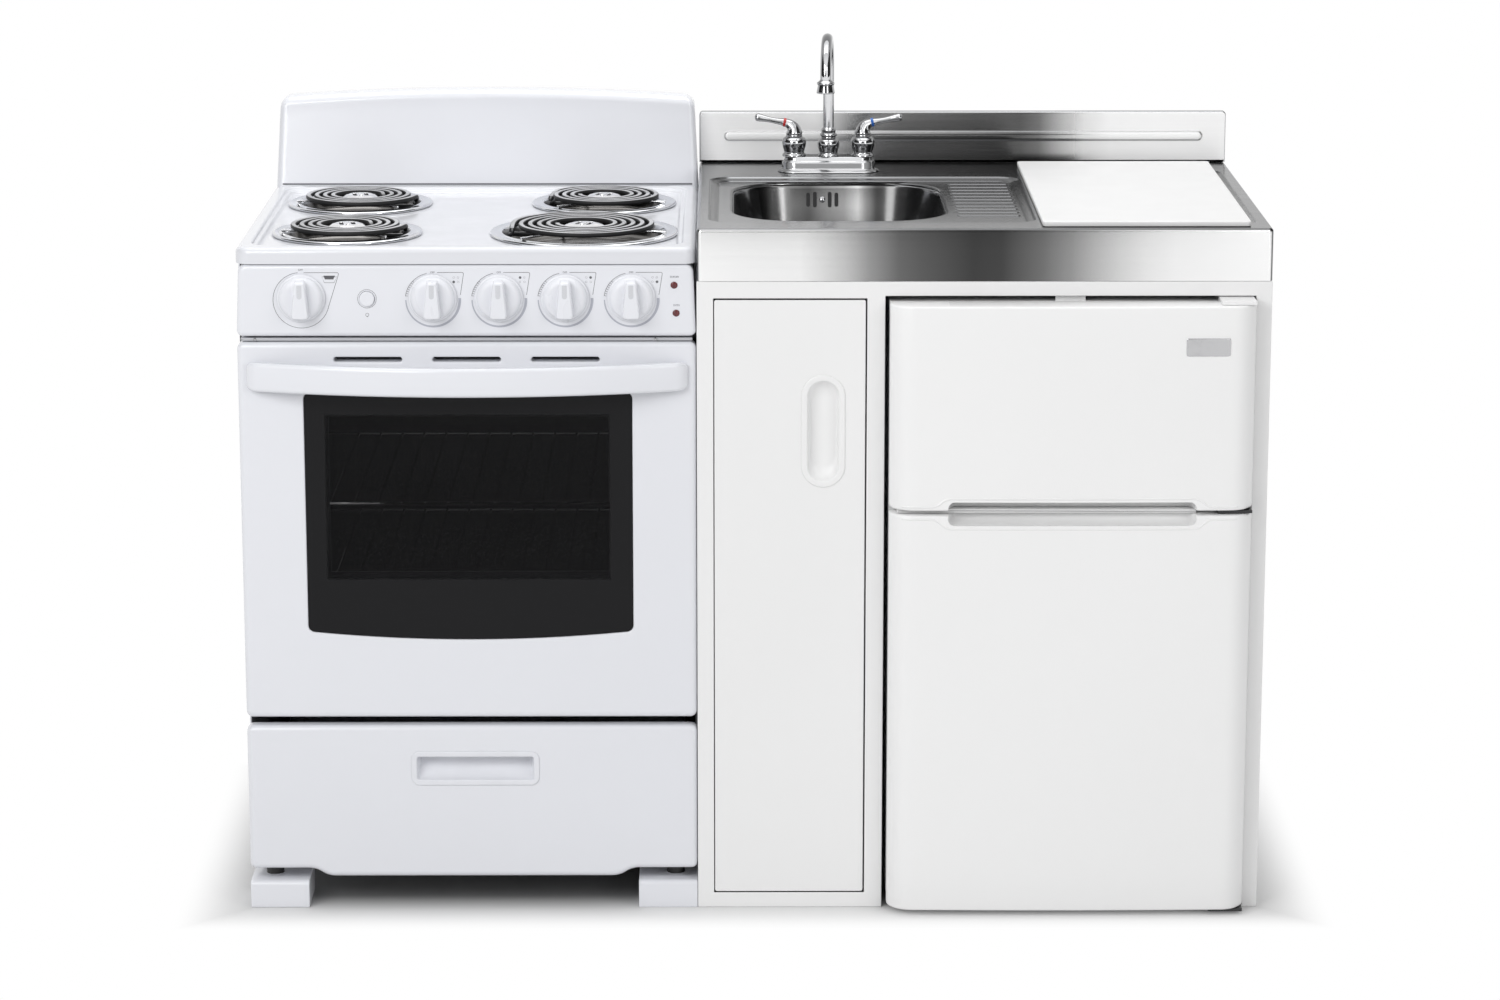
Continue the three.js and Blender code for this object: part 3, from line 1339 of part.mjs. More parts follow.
// The worktop: a folded top with two sunken trays, the bowl's hole and drainer ribs.
function worktop() {
  const r = WORKTOP_NOSE_RADIUS;
  const profile = [
    point(0, WORKTOP_BOTTOM),
    ...arc(r, WORKTOP_HEIGHT - r, r, 180, 90),
    point(DEPTH, WORKTOP_HEIGHT),
    point(DEPTH, WORKTOP_BOTTOM),
  ];
  const body = prism(profile, "x", 0, SINK_UNIT_WIDTH);
  const skin = WORKTOP_SKIN;
  const underside = WORKTOP_HEIGHT - skin;
  const hollow = block(
    skin,
    SINK_UNIT_WIDTH - skin,
    skin,
    DEPTH - skin,
    WORKTOP_BOTTOM - 1,
    underside,
  );
  const pan = (outline) => prism(outline(skin), "z", TRAY_LEVEL - skin, underside + 1);
  const sunken = (outline) =>
    loft(
      "z",
      [TRAY_LEVEL, outline(-TRAY_SLOPE)],
      [WORKTOP_HEIGHT, outline(0)],
      [WORKTOP_HEIGHT + 1, outline(0)],
    );
  const hole = prism(bowlOutline(0), "z", WORKTOP_BOTTOM, WORKTOP_HEIGHT + 1);
  const ribs = Array.from({ length: RIB_COUNT }, (_, i) => {
    const y = TRAY_FRONT + FIRST_RIB_GAP + i * RIB_PITCH;
    const half = RIB_WIDTH / 2;
    const left = BOWL_RIGHT + RIB_LEFT_GAP;
    const right = TRAY_RIGHT - RIB_RIGHT_GAP;
    return block(left, right, y - half, y + half, TRAY_LEVEL - 1, TRAY_LEVEL + RIB_HEIGHT);
  });
  const top = join(
    cut(body, hollow),
    pan(trayOutline).intersect(block(1, SINK_UNIT_WIDTH - 1, 1, DEPTH - 1, 0, WORKTOP_HEIGHT)),
    pan(boardTrayOutline).intersect(block(1, SINK_UNIT_WIDTH - 1, 1, DEPTH - 1, 0, WORKTOP_HEIGHT)),
  );
  return cut(join(cut(top, sunken(trayOutline), sunken(boardTrayOutline)), ...ribs), hole);
}

// The bowl: a tapered, round-cornered shell with a flange under the worktop and a waste hole.
function sinkBowl() {
  const shell = (grow, top) => {
    const base = BOWL_FLOOR - grow;
    const drawnIn = (share) => bowlOutline(grow - BOWL_TAPER - BOWL_BOTTOM_RADIUS * share);
    return loft(
      "z",
      [base, drawnIn(1)],
      [base + BOWL_BOTTOM_RADIUS * 0.3, drawnIn(0.3)],
      [base + BOWL_BOTTOM_RADIUS, drawnIn(0)],
      [top, bowlOutline(grow - BOWL_WALL - SEAT)],
    );
  };
  const flangeTop = TRAY_LEVEL - WORKTOP_SKIN - SEAT;
  const flange = prism(bowlOutline(BOWL_FLANGE), "z", flangeTop - BOWL_WALL, flangeTop);
  const outside = shell(BOWL_WALL, TRAY_LEVEL);
  const waste = rod("z", WASTE_X, WASTE_Y, WASTE_HOLE_RADIUS, BOWL_FLOOR - 5, BOWL_FLOOR + 5);
  return cut(join(outside, flange), shell(0, TRAY_LEVEL + 1), waste);
}

// The basket that lifts out of the waste.
function strainer() {
  const rim = BOWL_FLOOR + SEAT;
  const radius = WASTE_HOLE_RADIUS - 3;
  const w = BASKET_WALL;
  const profile = [
    [0, rim - BASKET_DEPTH],
    [radius - 6, rim - BASKET_DEPTH],
    [radius, rim],
    [WASTE_HOLE_RADIUS + BASKET_RIM, rim],
    [WASTE_HOLE_RADIUS + BASKET_RIM, rim + w],
    [radius - w, rim + w],
    [radius - 6 - w, rim - BASKET_DEPTH + w],
    [3, rim - BASKET_DEPTH + w],
    [3, rim - 4],
    [0, rim - 4],
  ];
  return turned(profile, WASTE_X, WASTE_Y);
}

// The waste cup under the bowl and the bent pipe from it to the cabinet's back.
function wasteTrap() {
  const top = BOWL_FLOOR - BOWL_WALL - SEAT;
  const floor = top - WASTE_CUP_DEPTH;
  const inner = WASTE_HOLE_RADIUS - 1;
  const cup = turned(
    [
      [0, floor - 4],
      [TRAP_TUBE_RADIUS + 2, floor - 4],
      [inner + 2, floor + 8],
      [inner + 2, top - 3],
      [inner + 8, top - 3],
      [inner + 8, top],
      [inner, top],
      [inner, floor + 9],
      [TRAP_TUBE_RADIUS, floor],
      [0, floor],
    ],
    WASTE_X,
    WASTE_Y,
  );
  const low = floor - TRAP_DROP;
  const route = [
    [WASTE_Y, floor - 2],
    [WASTE_Y, low],
    [WASTE_Y + TRAP_SPACING, low],
    [WASTE_Y + TRAP_SPACING, low + TRAP_RISE],
    [DEPTH - BACK_PANEL - SEAT, low + TRAP_RISE],
  ].map(([y, z]) => new THREE.Vector3(WASTE_X, y, z));
  return join(cup, tube(eased(route, TRAP_BEND_REACH), TRAP_TUBE_RADIUS));
}

// The folded upstand along the wall, hollow behind, with a raised rib along its middle.
function splashback() {
  const bottom = WORKTOP_HEIGHT + SEAT;
  const top = WORKTOP_HEIGHT + SPLASH_HEIGHT;
  const front = DEPTH - SPLASH_THICKNESS;
  const w = WORKTOP_SKIN / 2;
  const body = cut(
    block(0, SINK_UNIT_WIDTH, front, DEPTH, bottom, top),
    block(w, SINK_UNIT_WIDTH - w, front + w, DEPTH + 1, bottom + w, top - w),
  );
  const centre = WORKTOP_HEIGHT + SPLASH_RIB_CENTRE;
  const half = SPLASH_RIB_HEIGHT / 2;
  const rib = (grow) =>
    roundedBox(
      SPLASH_RIB_LEFT - grow,
      SPLASH_RIB_RIGHT + grow,
      centre - half - grow,
      centre + half + grow,
      (half + grow) * 0.98,
    );
  const raised = loft("y", [front - SPLASH_RIB_PROUD, rib(-2)], [front + 0.5, rib(0)]);
  return join(body, raised);
}

// The faucet's deck base in two steps, with a bell under each lever and one under the spout.
function faucetBase() {
  const deck = WORKTOP_HEIGHT + SEAT;
  const stepAt = deck + FAUCET_BASE_HEIGHT;
  const top = stepAt + FAUCET_STEP_HEIGHT;
  const plan = (inset) => {
    const half = FAUCET_BASE_LENGTH / 2 - inset;
    const depth = FAUCET_BASE_WIDTH / 2 - inset;
    return roundedBox(FAUCET_X - half, FAUCET_X + half, FAUCET_Y - depth, FAUCET_Y + depth, depth * 0.6);
  };
  const lower = loft("z", [deck, plan(0)], [stepAt - 3, plan(0)], [stepAt, plan(3)]);
  const upper = loft(
    "z",
    [stepAt - 1, plan(FAUCET_STEP_INSET)],
    [top - 2, plan(FAUCET_STEP_INSET)],
    [top, plan(FAUCET_STEP_INSET + 2)],
  );
  const bell = (x, radius, height) =>
    turned(
      [
        [0, top - 1],
        [radius, top - 1],
        [radius, top + 3],
        [radius * 0.8, top + height * 0.45],
        [BELL_TOP_RADIUS, top + height - 3],
        [BELL_TOP_RADIUS, top + height],
        [0, top + height],
      ],
      x,
      FAUCET_Y,
      BELL_SIDES,
    );
  return join(
    lower,
    upper,
    bell(FAUCET_X - BELL_SPACING / 2, BELL_RADIUS, BELL_HEIGHT),
    bell(FAUCET_X, SPOUT_BELL_RADIUS, SPOUT_BELL_HEIGHT),
    bell(FAUCET_X + BELL_SPACING / 2, BELL_RADIUS, BELL_HEIGHT),
  );
}

const FAUCET_TOP = WORKTOP_HEIGHT + SEAT + FAUCET_BASE_HEIGHT + FAUCET_STEP_HEIGHT;

// The gooseneck: a collar, an upright, a half-round arch to the front and a flared mouth.
function spout() {
  const start = FAUCET_TOP + SPOUT_BELL_HEIGHT + SEAT;
  const r = SPOUT_ARCH_RADIUS;
  const centre = start + SPOUT_LEG;
  const mouth = centre - SPOUT_MOUTH_DROP;
  const arch = Array.from({ length: ARCH_STEPS + 1 }, (_, i) => {
    const angle = (Math.PI * i) / ARCH_STEPS;
    return new THREE.Vector3(0, -r + r * Math.cos(angle), centre + r * Math.sin(angle));
  });
  const route = [
    new THREE.Vector3(0, 0, start),
    ...arch,
    new THREE.Vector3(0, -2 * r, mouth + AERATOR_LENGTH / 2),
  ];
  const pipe = tube(route, SPOUT_TUBE_RADIUS);
  const collar = turned(
    [
      [0, start],
      [BELL_TOP_RADIUS, start],
      [BELL_TOP_RADIUS, start + 8],
      [SPOUT_TUBE_RADIUS, start + 12],
      [0, start + 12],
    ],
    0,
    0,
  );
  const aerator = turned(
    [
      [0, mouth],
      [AERATOR_RADIUS, mouth],
      [AERATOR_RADIUS - 2, mouth + 8],
      [SPOUT_TUBE_RADIUS, mouth + AERATOR_LENGTH],
      [0, mouth + AERATOR_LENGTH],
    ],
    0,
    -2 * r,
  );
  return join(pipe, collar, aerator)
    .rotate([0, 0, -SPOUT_TURN])
    .translate([FAUCET_X, FAUCET_Y, 0]);
}

// A lever: a hub on its bell and an arm that rises outwards to a round tip. side is -1 or 1.
function lever(side) {
  const bottom = FAUCET_TOP + BELL_HEIGHT + SEAT;
  const hub = turned(
    [
      [0, bottom],
      [LEVER_HUB_RADIUS, bottom],
      [LEVER_HUB_RADIUS, bottom + 5],
      [LEVER_HUB_RADIUS - 3, bottom + LEVER_HUB_HEIGHT - 2],
      [LEVER_HUB_RADIUS - 6, bottom + LEVER_HUB_HEIGHT],
      [0, bottom + LEVER_HUB_HEIGHT],
    ],
    0,
    0,
  );
  const root = bottom + LEVER_HUB_HEIGHT * 0.55;
  const section = (share, radius) => {
    const rise = root + LEVER_RISE * Math.sin((share * Math.PI) / 2);
    return [side * LEVER_REACH * share, arc(0, rise, radius, 0, 360, 10).slice(0, 10)];
  };
  const arm = loft(
    "x",
    section(0.04, LEVER_ROOT_RADIUS),
    section(0.35, LEVER_ROOT_RADIUS * 0.8),
    section(0.7, LEVER_TIP_RADIUS * 0.75),
    section(0.88, LEVER_TIP_RADIUS),
    section(0.96, LEVER_TIP_RADIUS * 0.85),
    section(1, LEVER_TIP_RADIUS * 0.4),
  );
  return join(hub, arm).translate([FAUCET_X + (side * BELL_SPACING) / 2, FAUCET_Y, 0]);
}

// A plain rectangular board over the right-hand tray.
function cuttingBoard() {
  const outline = roundedBox(
    CUTTING_BOARD_LEFT,
    CUTTING_BOARD_RIGHT,
    CUTTING_BOARD_FRONT,
    CUTTING_BOARD_BACK,
    CUTTING_BOARD_CORNER,
    3,
  );
  const bottom = WORKTOP_HEIGHT + SEAT;
  return prism(outline, "z", bottom, bottom + CUTTING_BOARD_THICKNESS);
}

// ================================================================ fridge-freezer
const HINGE_LEFT = FRIDGE_DOOR_RIGHT - BRACKET_WIDTH - 2;
const HINGE_RIGHT = HINGE_LEFT + BRACKET_WIDTH;

// A hinge bracket: a plate that reaches forward between the doors, footed on the cabinet.
function bracket(low, footLow, footHigh) {
  const back = FRIDGE_FRONT + BRACKET_FOOTING;
  return join(
    block(HINGE_LEFT, HINGE_RIGHT, -BRACKET_REACH, back, low, low + BRACKET_THICKNESS),
    block(HINGE_LEFT, HINGE_RIGHT, FRIDGE_FRONT + 1, back, footLow, footHigh),
  );
}

// The cabinet: two compartments open to the front, four feet, three hinge brackets and a
// lug that ties its top to the header.
function fridgeCabinet() {
  const box = block(FRIDGE_LEFT, FRIDGE_RIGHT, FRIDGE_FRONT, FRIDGE_BACK, FRIDGE_BOTTOM, FRIDGE_TOP);
  const room = (low, high) =>
    block(
      FRIDGE_LEFT + FRIDGE_WALL,
      FRIDGE_RIGHT - FRIDGE_WALL,
      FRIDGE_FRONT - 1,
      FRIDGE_BACK - FRIDGE_WALL,
      low,
      high,
    );
  const inset = FRIDGE_FOOT_INSET;
  const feet = [FRIDGE_LEFT + inset, FRIDGE_RIGHT - inset].flatMap((x) =>
    [FRIDGE_FRONT + inset, FRIDGE_BACK - inset].map((y) =>
      rod("z", x, y, FRIDGE_FOOT_RADIUS, 0, FRIDGE_BOTTOM + 1, 16),
    ),
  );
  const topPlate = FREEZER_DOOR_TOP + BRACKET_CLEARANCE;
  const gapMiddle = (FREEZER_DOOR_BOTTOM + FRIDGE_DOOR_TOP - BRACKET_THICKNESS) / 2;
  const bottomPlate = FRIDGE_DOOR_BOTTOM - BRACKET_CLEARANCE - BRACKET_THICKNESS;
  const middle = (FRIDGE_LEFT + FRIDGE_RIGHT) / 2;
  const lugTop = WORKTOP_BOTTOM - FRIDGE_HEADER - SEAT;
  const lug = block(middle - 20, middle + 20, FRIDGE_FRONT + 1, FRIDGE_FRONT + 5, FRIDGE_TOP - 1, lugTop);
  return join(
    cut(
      box,
      room(FREEZER_FLOOR, FRIDGE_TOP - FRIDGE_WALL),
      room(FRIDGE_BOTTOM + FRIDGE_WALL, FRIDGE_CEILING),
    ),
    ...feet,
    bracket(topPlate, FRIDGE_TOP - 1, topPlate + 1),
    block(
      HINGE_LEFT,
      HINGE_RIGHT,
      -BRACKET_REACH,
      FRIDGE_FRONT + 1,
      gapMiddle,
      gapMiddle + BRACKET_THICKNESS,
    ),
    bracket(bottomPlate, bottomPlate + 1, FRIDGE_BOTTOM + 1),
    lug,
  );
}

// The doors' plan: rounded vertical corners and a slightly bowed face.
function fridgeDoorPlan() {
  const r = FRIDGE_DOOR_CORNER;
  const left = FRIDGE_DOOR_LEFT;
  const right = FRIDGE_DOOR_RIGHT;
  const shoulder = FRIDGE_DOOR_BOW - FRIDGE_DOOR_REACH;
  const middle = (left + right) / 2;
  const half = (right - left) / 2 - r;
  const face = [-0.75, -0.5, -0.25, 0, 0.25, 0.5, 0.75].map((share) =>
    point(middle + half * share, shoulder - FRIDGE_DOOR_BOW * (1 - share * share)),
  );
  return [
    point(left, FRIDGE_DOOR_BACK),
    ...arc(left + r, shoulder + r, r, 180, 270, 6),
    ...face,
    ...arc(right - r, shoulder + r, r, 270, 360, 6),
    point(right, FRIDGE_DOOR_BACK),
  ];
}

// A door with its seal behind and the shared finger scoop cut from its inner edge.
function coldDoor(bottom, top) {
  const panel = prism(fridgeDoorPlan(), "z", bottom, top);
  const sealRight = FRIDGE_DOOR_RIGHT - HINGE_AXIS_INSET - 4;
  const seal = block(
    FRIDGE_DOOR_LEFT + SEAL_INSET,
    sealRight,
    FRIDGE_DOOR_BACK - 1,
    FRIDGE_FRONT - SEAT,
    bottom + SEAL_INSET,
    top - SEAL_INSET,
  );
  const r = (SCOOP_TOP - SCOOP_BOTTOM) / 2;
  const scoop = prism(
    roundedBox(SCOOP_LEFT, SCOOP_RIGHT, SCOOP_BOTTOM, SCOOP_TOP, r * 0.6),
    "y",
    -FRIDGE_DOOR_REACH - 1,
    SCOOP_DEPTH - FRIDGE_DOOR_REACH,
  );
  return cut(join(panel, seal), scoop);
}

// ================================================================ assembly
piece(range, "range_shell", rangeShell(), RANGE_WHITE);
piece(range, "range_base_pan", basePan(), RANGE_WHITE);
piece(range, "front_left_foot", foot(false, false), RANGE_WHITE);
piece(range, "front_right_foot", foot(true, false), RANGE_WHITE);
piece(range, "rear_left_foot", foot(false, true), RANGE_WHITE);
piece(range, "rear_right_foot", foot(true, true), RANGE_WHITE);
piece(range, "cooktop", cooktop(), RANGE_WHITE);
BURNERS.forEach((burner) => {
  piece(range, `${burner.name}_drip_bowl`, dripBowl(burner), CHROME);
  piece(range, `${burner.name}_coil`, coilElement(burner), COIL_GREY);
  piece(range, `${burner.name}_coil_support`, coilSupport(burner), CHROME);
});
piece(range, "backguard", backguard(), RANGE_WHITE);
piece(range, "control_panel", controlPanel(), RANGE_WHITE);
piece(range, "oven_knob", knob(), RANGE_WHITE, [OVEN_KNOB_X, 0, KNOB_CENTRE_HEIGHT]);
burnerKnobPlaces.forEach((x, i) => {
  piece(range, `burner_knob_${i + 1}`, knob(), RANGE_WHITE, [x, 0, KNOB_CENTRE_HEIGHT]);
});
const lightButton = plug(LIGHT_BUTTON_RADIUS, LIGHT_BUTTON_PROUD, ROUND_SIDES);
piece(range, "oven_light_button", lightButton, RANGE_WHITE, [
  LIGHT_BUTTON_X,
  0,
  LIGHT_BUTTON_HEIGHT,
]);
piece(range, "burner_on_lamp", plug(LAMP_RADIUS, LAMP_PROUD), INDICATOR_RED, [
  BURNER_LAMP_X,
  0,
  BURNER_LAMP_HEIGHT,
]);
piece(range, "oven_on_lamp", plug(LAMP_RADIUS, LAMP_PROUD), INDICATOR_RED, [
  OVEN_LAMP_X,
  0,
  OVEN_LAMP_HEIGHT,
]);
piece(range, "oven_liner", ovenLiner(), OVEN_ENAMEL);
piece(range, "oven_rack_lower", ovenRack(LOWER_RACK_HEIGHT), RACK_STEEL);
piece(range, "oven_rack_upper", ovenRack(UPPER_RACK_HEIGHT), RACK_STEEL);
piece(range, "bake_element", bakeElement(), COIL_GREY);
piece(range, "oven_door_panel", ovenDoorPanel(), RANGE_WHITE);
piece(range, "oven_door_glass", ovenDoorGlass(), BLACK_GLASS);
piece(range, "oven_door_liner", ovenDoorLiner(), OVEN_ENAMEL);
piece(range, "oven_door_handle", ovenDoorHandle(), RANGE_WHITE);
piece(range, "storage_drawer", storageDrawer(), RANGE_WHITE);
piece(range, "drawer_pull", drawerPull(), RANGE_WHITE);

const dividerLeft = DIVIDER_CENTRE - BOARD_THICKNESS / 2;
const rightSideLeft = SINK_UNIT_WIDTH - BOARD_THICKNESS;
piece(sinkUnit, "cabinet_left_side", upright(0, SIDE_TOP), CABINET_WHITE);
piece(sinkUnit, "cabinet_divider", upright(dividerLeft, DIVIDER_TOP), CABINET_WHITE);
piece(sinkUnit, "cabinet_right_side", upright(rightSideLeft, SIDE_TOP), CABINET_WHITE);
piece(sinkUnit, "cabinet_back", cabinetBack(), CABINET_WHITE);
piece(sinkUnit, "cabinet_floor", cabinetFloor(), CABINET_WHITE);
piece(sinkUnit, "face_frame", faceFrame(), CABINET_WHITE);
piece(sinkUnit, "sink_door", sinkDoor(), CABINET_WHITE);
piece(sinkUnit, "sink_door_pull", sinkDoorPull(), CABINET_WHITE);
piece(sinkUnit, "worktop", worktop(), BRUSHED_STEEL);
piece(sinkUnit, "splashback", splashback(), BRUSHED_STEEL);
piece(sinkUnit, "sink_bowl", sinkBowl(), BRUSHED_STEEL);
piece(sinkUnit, "strainer", strainer(), CHROME);
piece(sinkUnit, "waste_trap", wasteTrap(), PIPE_WHITE);
piece(sinkUnit, "faucet_base", faucetBase(), CHROME);
piece(sinkUnit, "spout", spout(), CHROME);
piece(sinkUnit, "hot_lever", lever(-1), CHROME);
piece(sinkUnit, "cold_lever", lever(1), CHROME);
piece(sinkUnit, "cutting_board", cuttingBoard(), BOARD_WHITE);
piece(sinkUnit, "fridge_cabinet", fridgeCabinet(), FRIDGE_WHITE);
piece(sinkUnit, "freezer_door", coldDoor(FREEZER_DOOR_BOTTOM, FREEZER_DOOR_TOP), FRIDGE_WHITE);
piece(sinkUnit, "fridge_door", coldDoor(FRIDGE_DOOR_BOTTOM, FRIDGE_DOOR_TOP), FRIDGE_WHITE);

sinkUnit.position.x = SINK_LEFT;
const kitchenette = new THREE.Group();
kitchenette.add(range, sinkUnit);
kitchenette.position.set(-FULL_WIDTH / 2, (FRONT_REACH - DEPTH) / 2, 0);

export default kitchenette;
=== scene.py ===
"""A kitchenette unit: an electric coil range beside a stainless worktop with a sink and a drainer
over a narrow cabinet and a two-door fridge-freezer.

Shapes are written in millimetres in each half's own frame: x to the right from its left edge, y to
the wall from the plane of its front faces, z up from the floor.
"""
from math import cos, pi, radians, sin

import bmesh
import bpy
import numpy as np
from bpy.props import FloatProperty, FloatVectorProperty, PointerProperty
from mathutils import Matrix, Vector
from mathutils.geometry import tessellate_polygon


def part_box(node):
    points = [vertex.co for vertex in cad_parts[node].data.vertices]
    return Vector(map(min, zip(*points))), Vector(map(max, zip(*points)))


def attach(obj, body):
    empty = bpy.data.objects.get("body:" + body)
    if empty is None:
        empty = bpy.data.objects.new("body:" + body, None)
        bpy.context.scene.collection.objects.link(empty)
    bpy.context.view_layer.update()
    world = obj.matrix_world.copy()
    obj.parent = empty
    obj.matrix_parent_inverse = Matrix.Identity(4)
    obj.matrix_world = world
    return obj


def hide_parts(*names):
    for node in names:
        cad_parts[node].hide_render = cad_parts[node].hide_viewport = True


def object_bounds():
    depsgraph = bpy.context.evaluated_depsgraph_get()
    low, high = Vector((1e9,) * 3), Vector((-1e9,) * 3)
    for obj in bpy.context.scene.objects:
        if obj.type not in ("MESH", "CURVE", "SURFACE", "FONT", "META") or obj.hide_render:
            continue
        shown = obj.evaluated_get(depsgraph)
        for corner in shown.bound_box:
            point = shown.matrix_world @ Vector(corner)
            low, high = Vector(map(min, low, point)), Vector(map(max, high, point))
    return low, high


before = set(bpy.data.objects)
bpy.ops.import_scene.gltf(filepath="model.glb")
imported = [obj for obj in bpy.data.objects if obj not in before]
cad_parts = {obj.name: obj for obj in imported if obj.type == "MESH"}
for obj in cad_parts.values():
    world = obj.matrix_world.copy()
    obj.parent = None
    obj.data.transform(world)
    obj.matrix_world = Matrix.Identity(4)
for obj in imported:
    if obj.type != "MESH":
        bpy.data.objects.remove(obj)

bl_info = {
    "name": "Kitchenette Unit With Sink and Hob",
    "version": (1, 0, 0),
    "blender": (4, 5, 0),
    "location": "View3D > Sidebar > Kitchenette",
    "description": "Builds the visible surfaces of a kitchenette unit around its solids",
    "category": "Object",
}

CAD_BOX = [list(corner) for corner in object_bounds()]
MM = 0.001
RANGE_WIDTH, UNIT_WIDTH, DEPTH = 609.0, 762.0, 610.0


def origin_of(node):
    """The frame's place of a half's own zero, in millimetres: the left edge and the front face of
    one of its solids, on the floor."""
    left, front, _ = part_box(node)[0]
    return np.array([left, front, 0.0]) / MM


RANGE = origin_of("control_panel")
SINK = origin_of("face_frame")


# ---------------------------------------------------------------- outlines in a plane
def arc(x, y, radius, start, stop, steps=8):
    """Points at even angles on a circle's arc; start and stop are in degrees."""
    turn = np.radians(np.linspace(start, stop, steps + 1))
    return np.stack([x + radius * np.cos(turn), y + radius * np.sin(turn)], axis=-1)


def rounded_box(x0, x1, y0, y1, radius, steps=8):
    """A rectangle, anticlockwise, with a quarter circle at each corner; radius is one number or
    four, from the lower left corner round to the upper left one."""
    a, b, c, d = np.broadcast_to(radius, 4)
    return np.vstack([
        arc(x0 + a, y0 + a, a, 180, 270, steps),
        arc(x1 - b, y0 + b, b, 270, 360, steps),
        arc(x1 - c, y1 - c, c, 0, 90, steps),
        arc(x0 + d, y1 - d, d, 90, 180, steps),
    ])


def grown_box(x0, x1, y0, y1, radius, steps=8):
    """A rounded rectangle as a function of how far it is grown outwards."""
    def outline(grow=0.0):
        return rounded_box(x0 - grow, x1 + grow, y0 - grow, y1 + grow,
                           np.maximum(np.broadcast_to(radius, 4) + grow, 0.2), steps)
    return outline


def circle(x, y, radius, sides=64):
    """Points at even angles on a full circle."""
    turn = np.arange(sides) * 2 * pi / sides
    return np.stack([x + radius * np.cos(turn), y + radius * np.sin(turn)], axis=-1)


def leftward(ahead):
    """Unit vectors square to directions in a plane, on their left."""
    ahead = ahead / np.linalg.norm(ahead, axis=1, keepdims=True)
    return np.stack([-ahead[:, 1], ahead[:, 0]], axis=-1)


def eased(count):
    """Numbers from 0 to 1 that start close together and end far apart."""
    return 1 - np.cos(np.linspace(0, pi / 2, count))


def edge_fall(distance, radius):
    """How far a rounded edge lies below its flat, at a distance from where the edge ends."""
    short = radius - np.minimum(distance, radius)
    return radius - np.sqrt(np.maximum(0, radius ** 2 - short ** 2))


def drawn_in(outline, distance):
    """An anticlockwise outline moved inwards: each point goes along the sum of its two edges'
    inward normals, divided by one plus their dot product."""
    before = leftward(outline - np.roll(outline, 1, axis=0))
    after = leftward(np.roll(outline, -1, axis=0) - outline)
    reach = 1 + np.maximum(np.sum(before * after, axis=1, keepdims=True), -0.5)
    return outline + distance * (before + after) / reach


def lifted(outline, axis, level):
    """A plane outline in space, in the plane where that axis is level."""
    return np.insert(outline, "xyz".index(axis), level, axis=1)


def rolled(outline, axis, face, back, radius, band=1.2, steps=5):
    """Rings of a plate from its back to its face: a straight side, a quarter circle of that
    radius on the front edge, and a narrow flat band on the face."""
    side = np.sign(back - face)
    turn = np.linspace(0, pi / 2, steps + 1)
    insets = [0, *(radius * (1 - np.cos(turn))), radius + band]
    levels = [back, *(face + side * radius * (1 - np.sin(turn))), face]
    return [lifted(drawn_in(outline, d), axis, level) for d, level in zip(insets, levels)]


def mouth(outline, axis, face, back, radius, band=1.2):
    """Rings of a hole from the face to its back: a flat band, a quarter circle rolled into the
    hole and a straight wall. outline is a function of how far it is grown."""
    side = np.sign(back - face)
    turn = np.linspace(0, pi / 2, 5)
    grows = [radius + band, *(radius * (1 - np.sin(turn))), 0]
    levels = [face, *(face + side * radius * (1 - np.cos(turn))), back]
    return [lifted(outline(g), axis, level) for g, level in zip(grows, levels)]


def terraced(outline, axis, profile):
    """Rings from pairs of how far the outline is grown and the level that it lies at."""
    return [lifted(outline(grow), axis, level) for grow, level in profile]


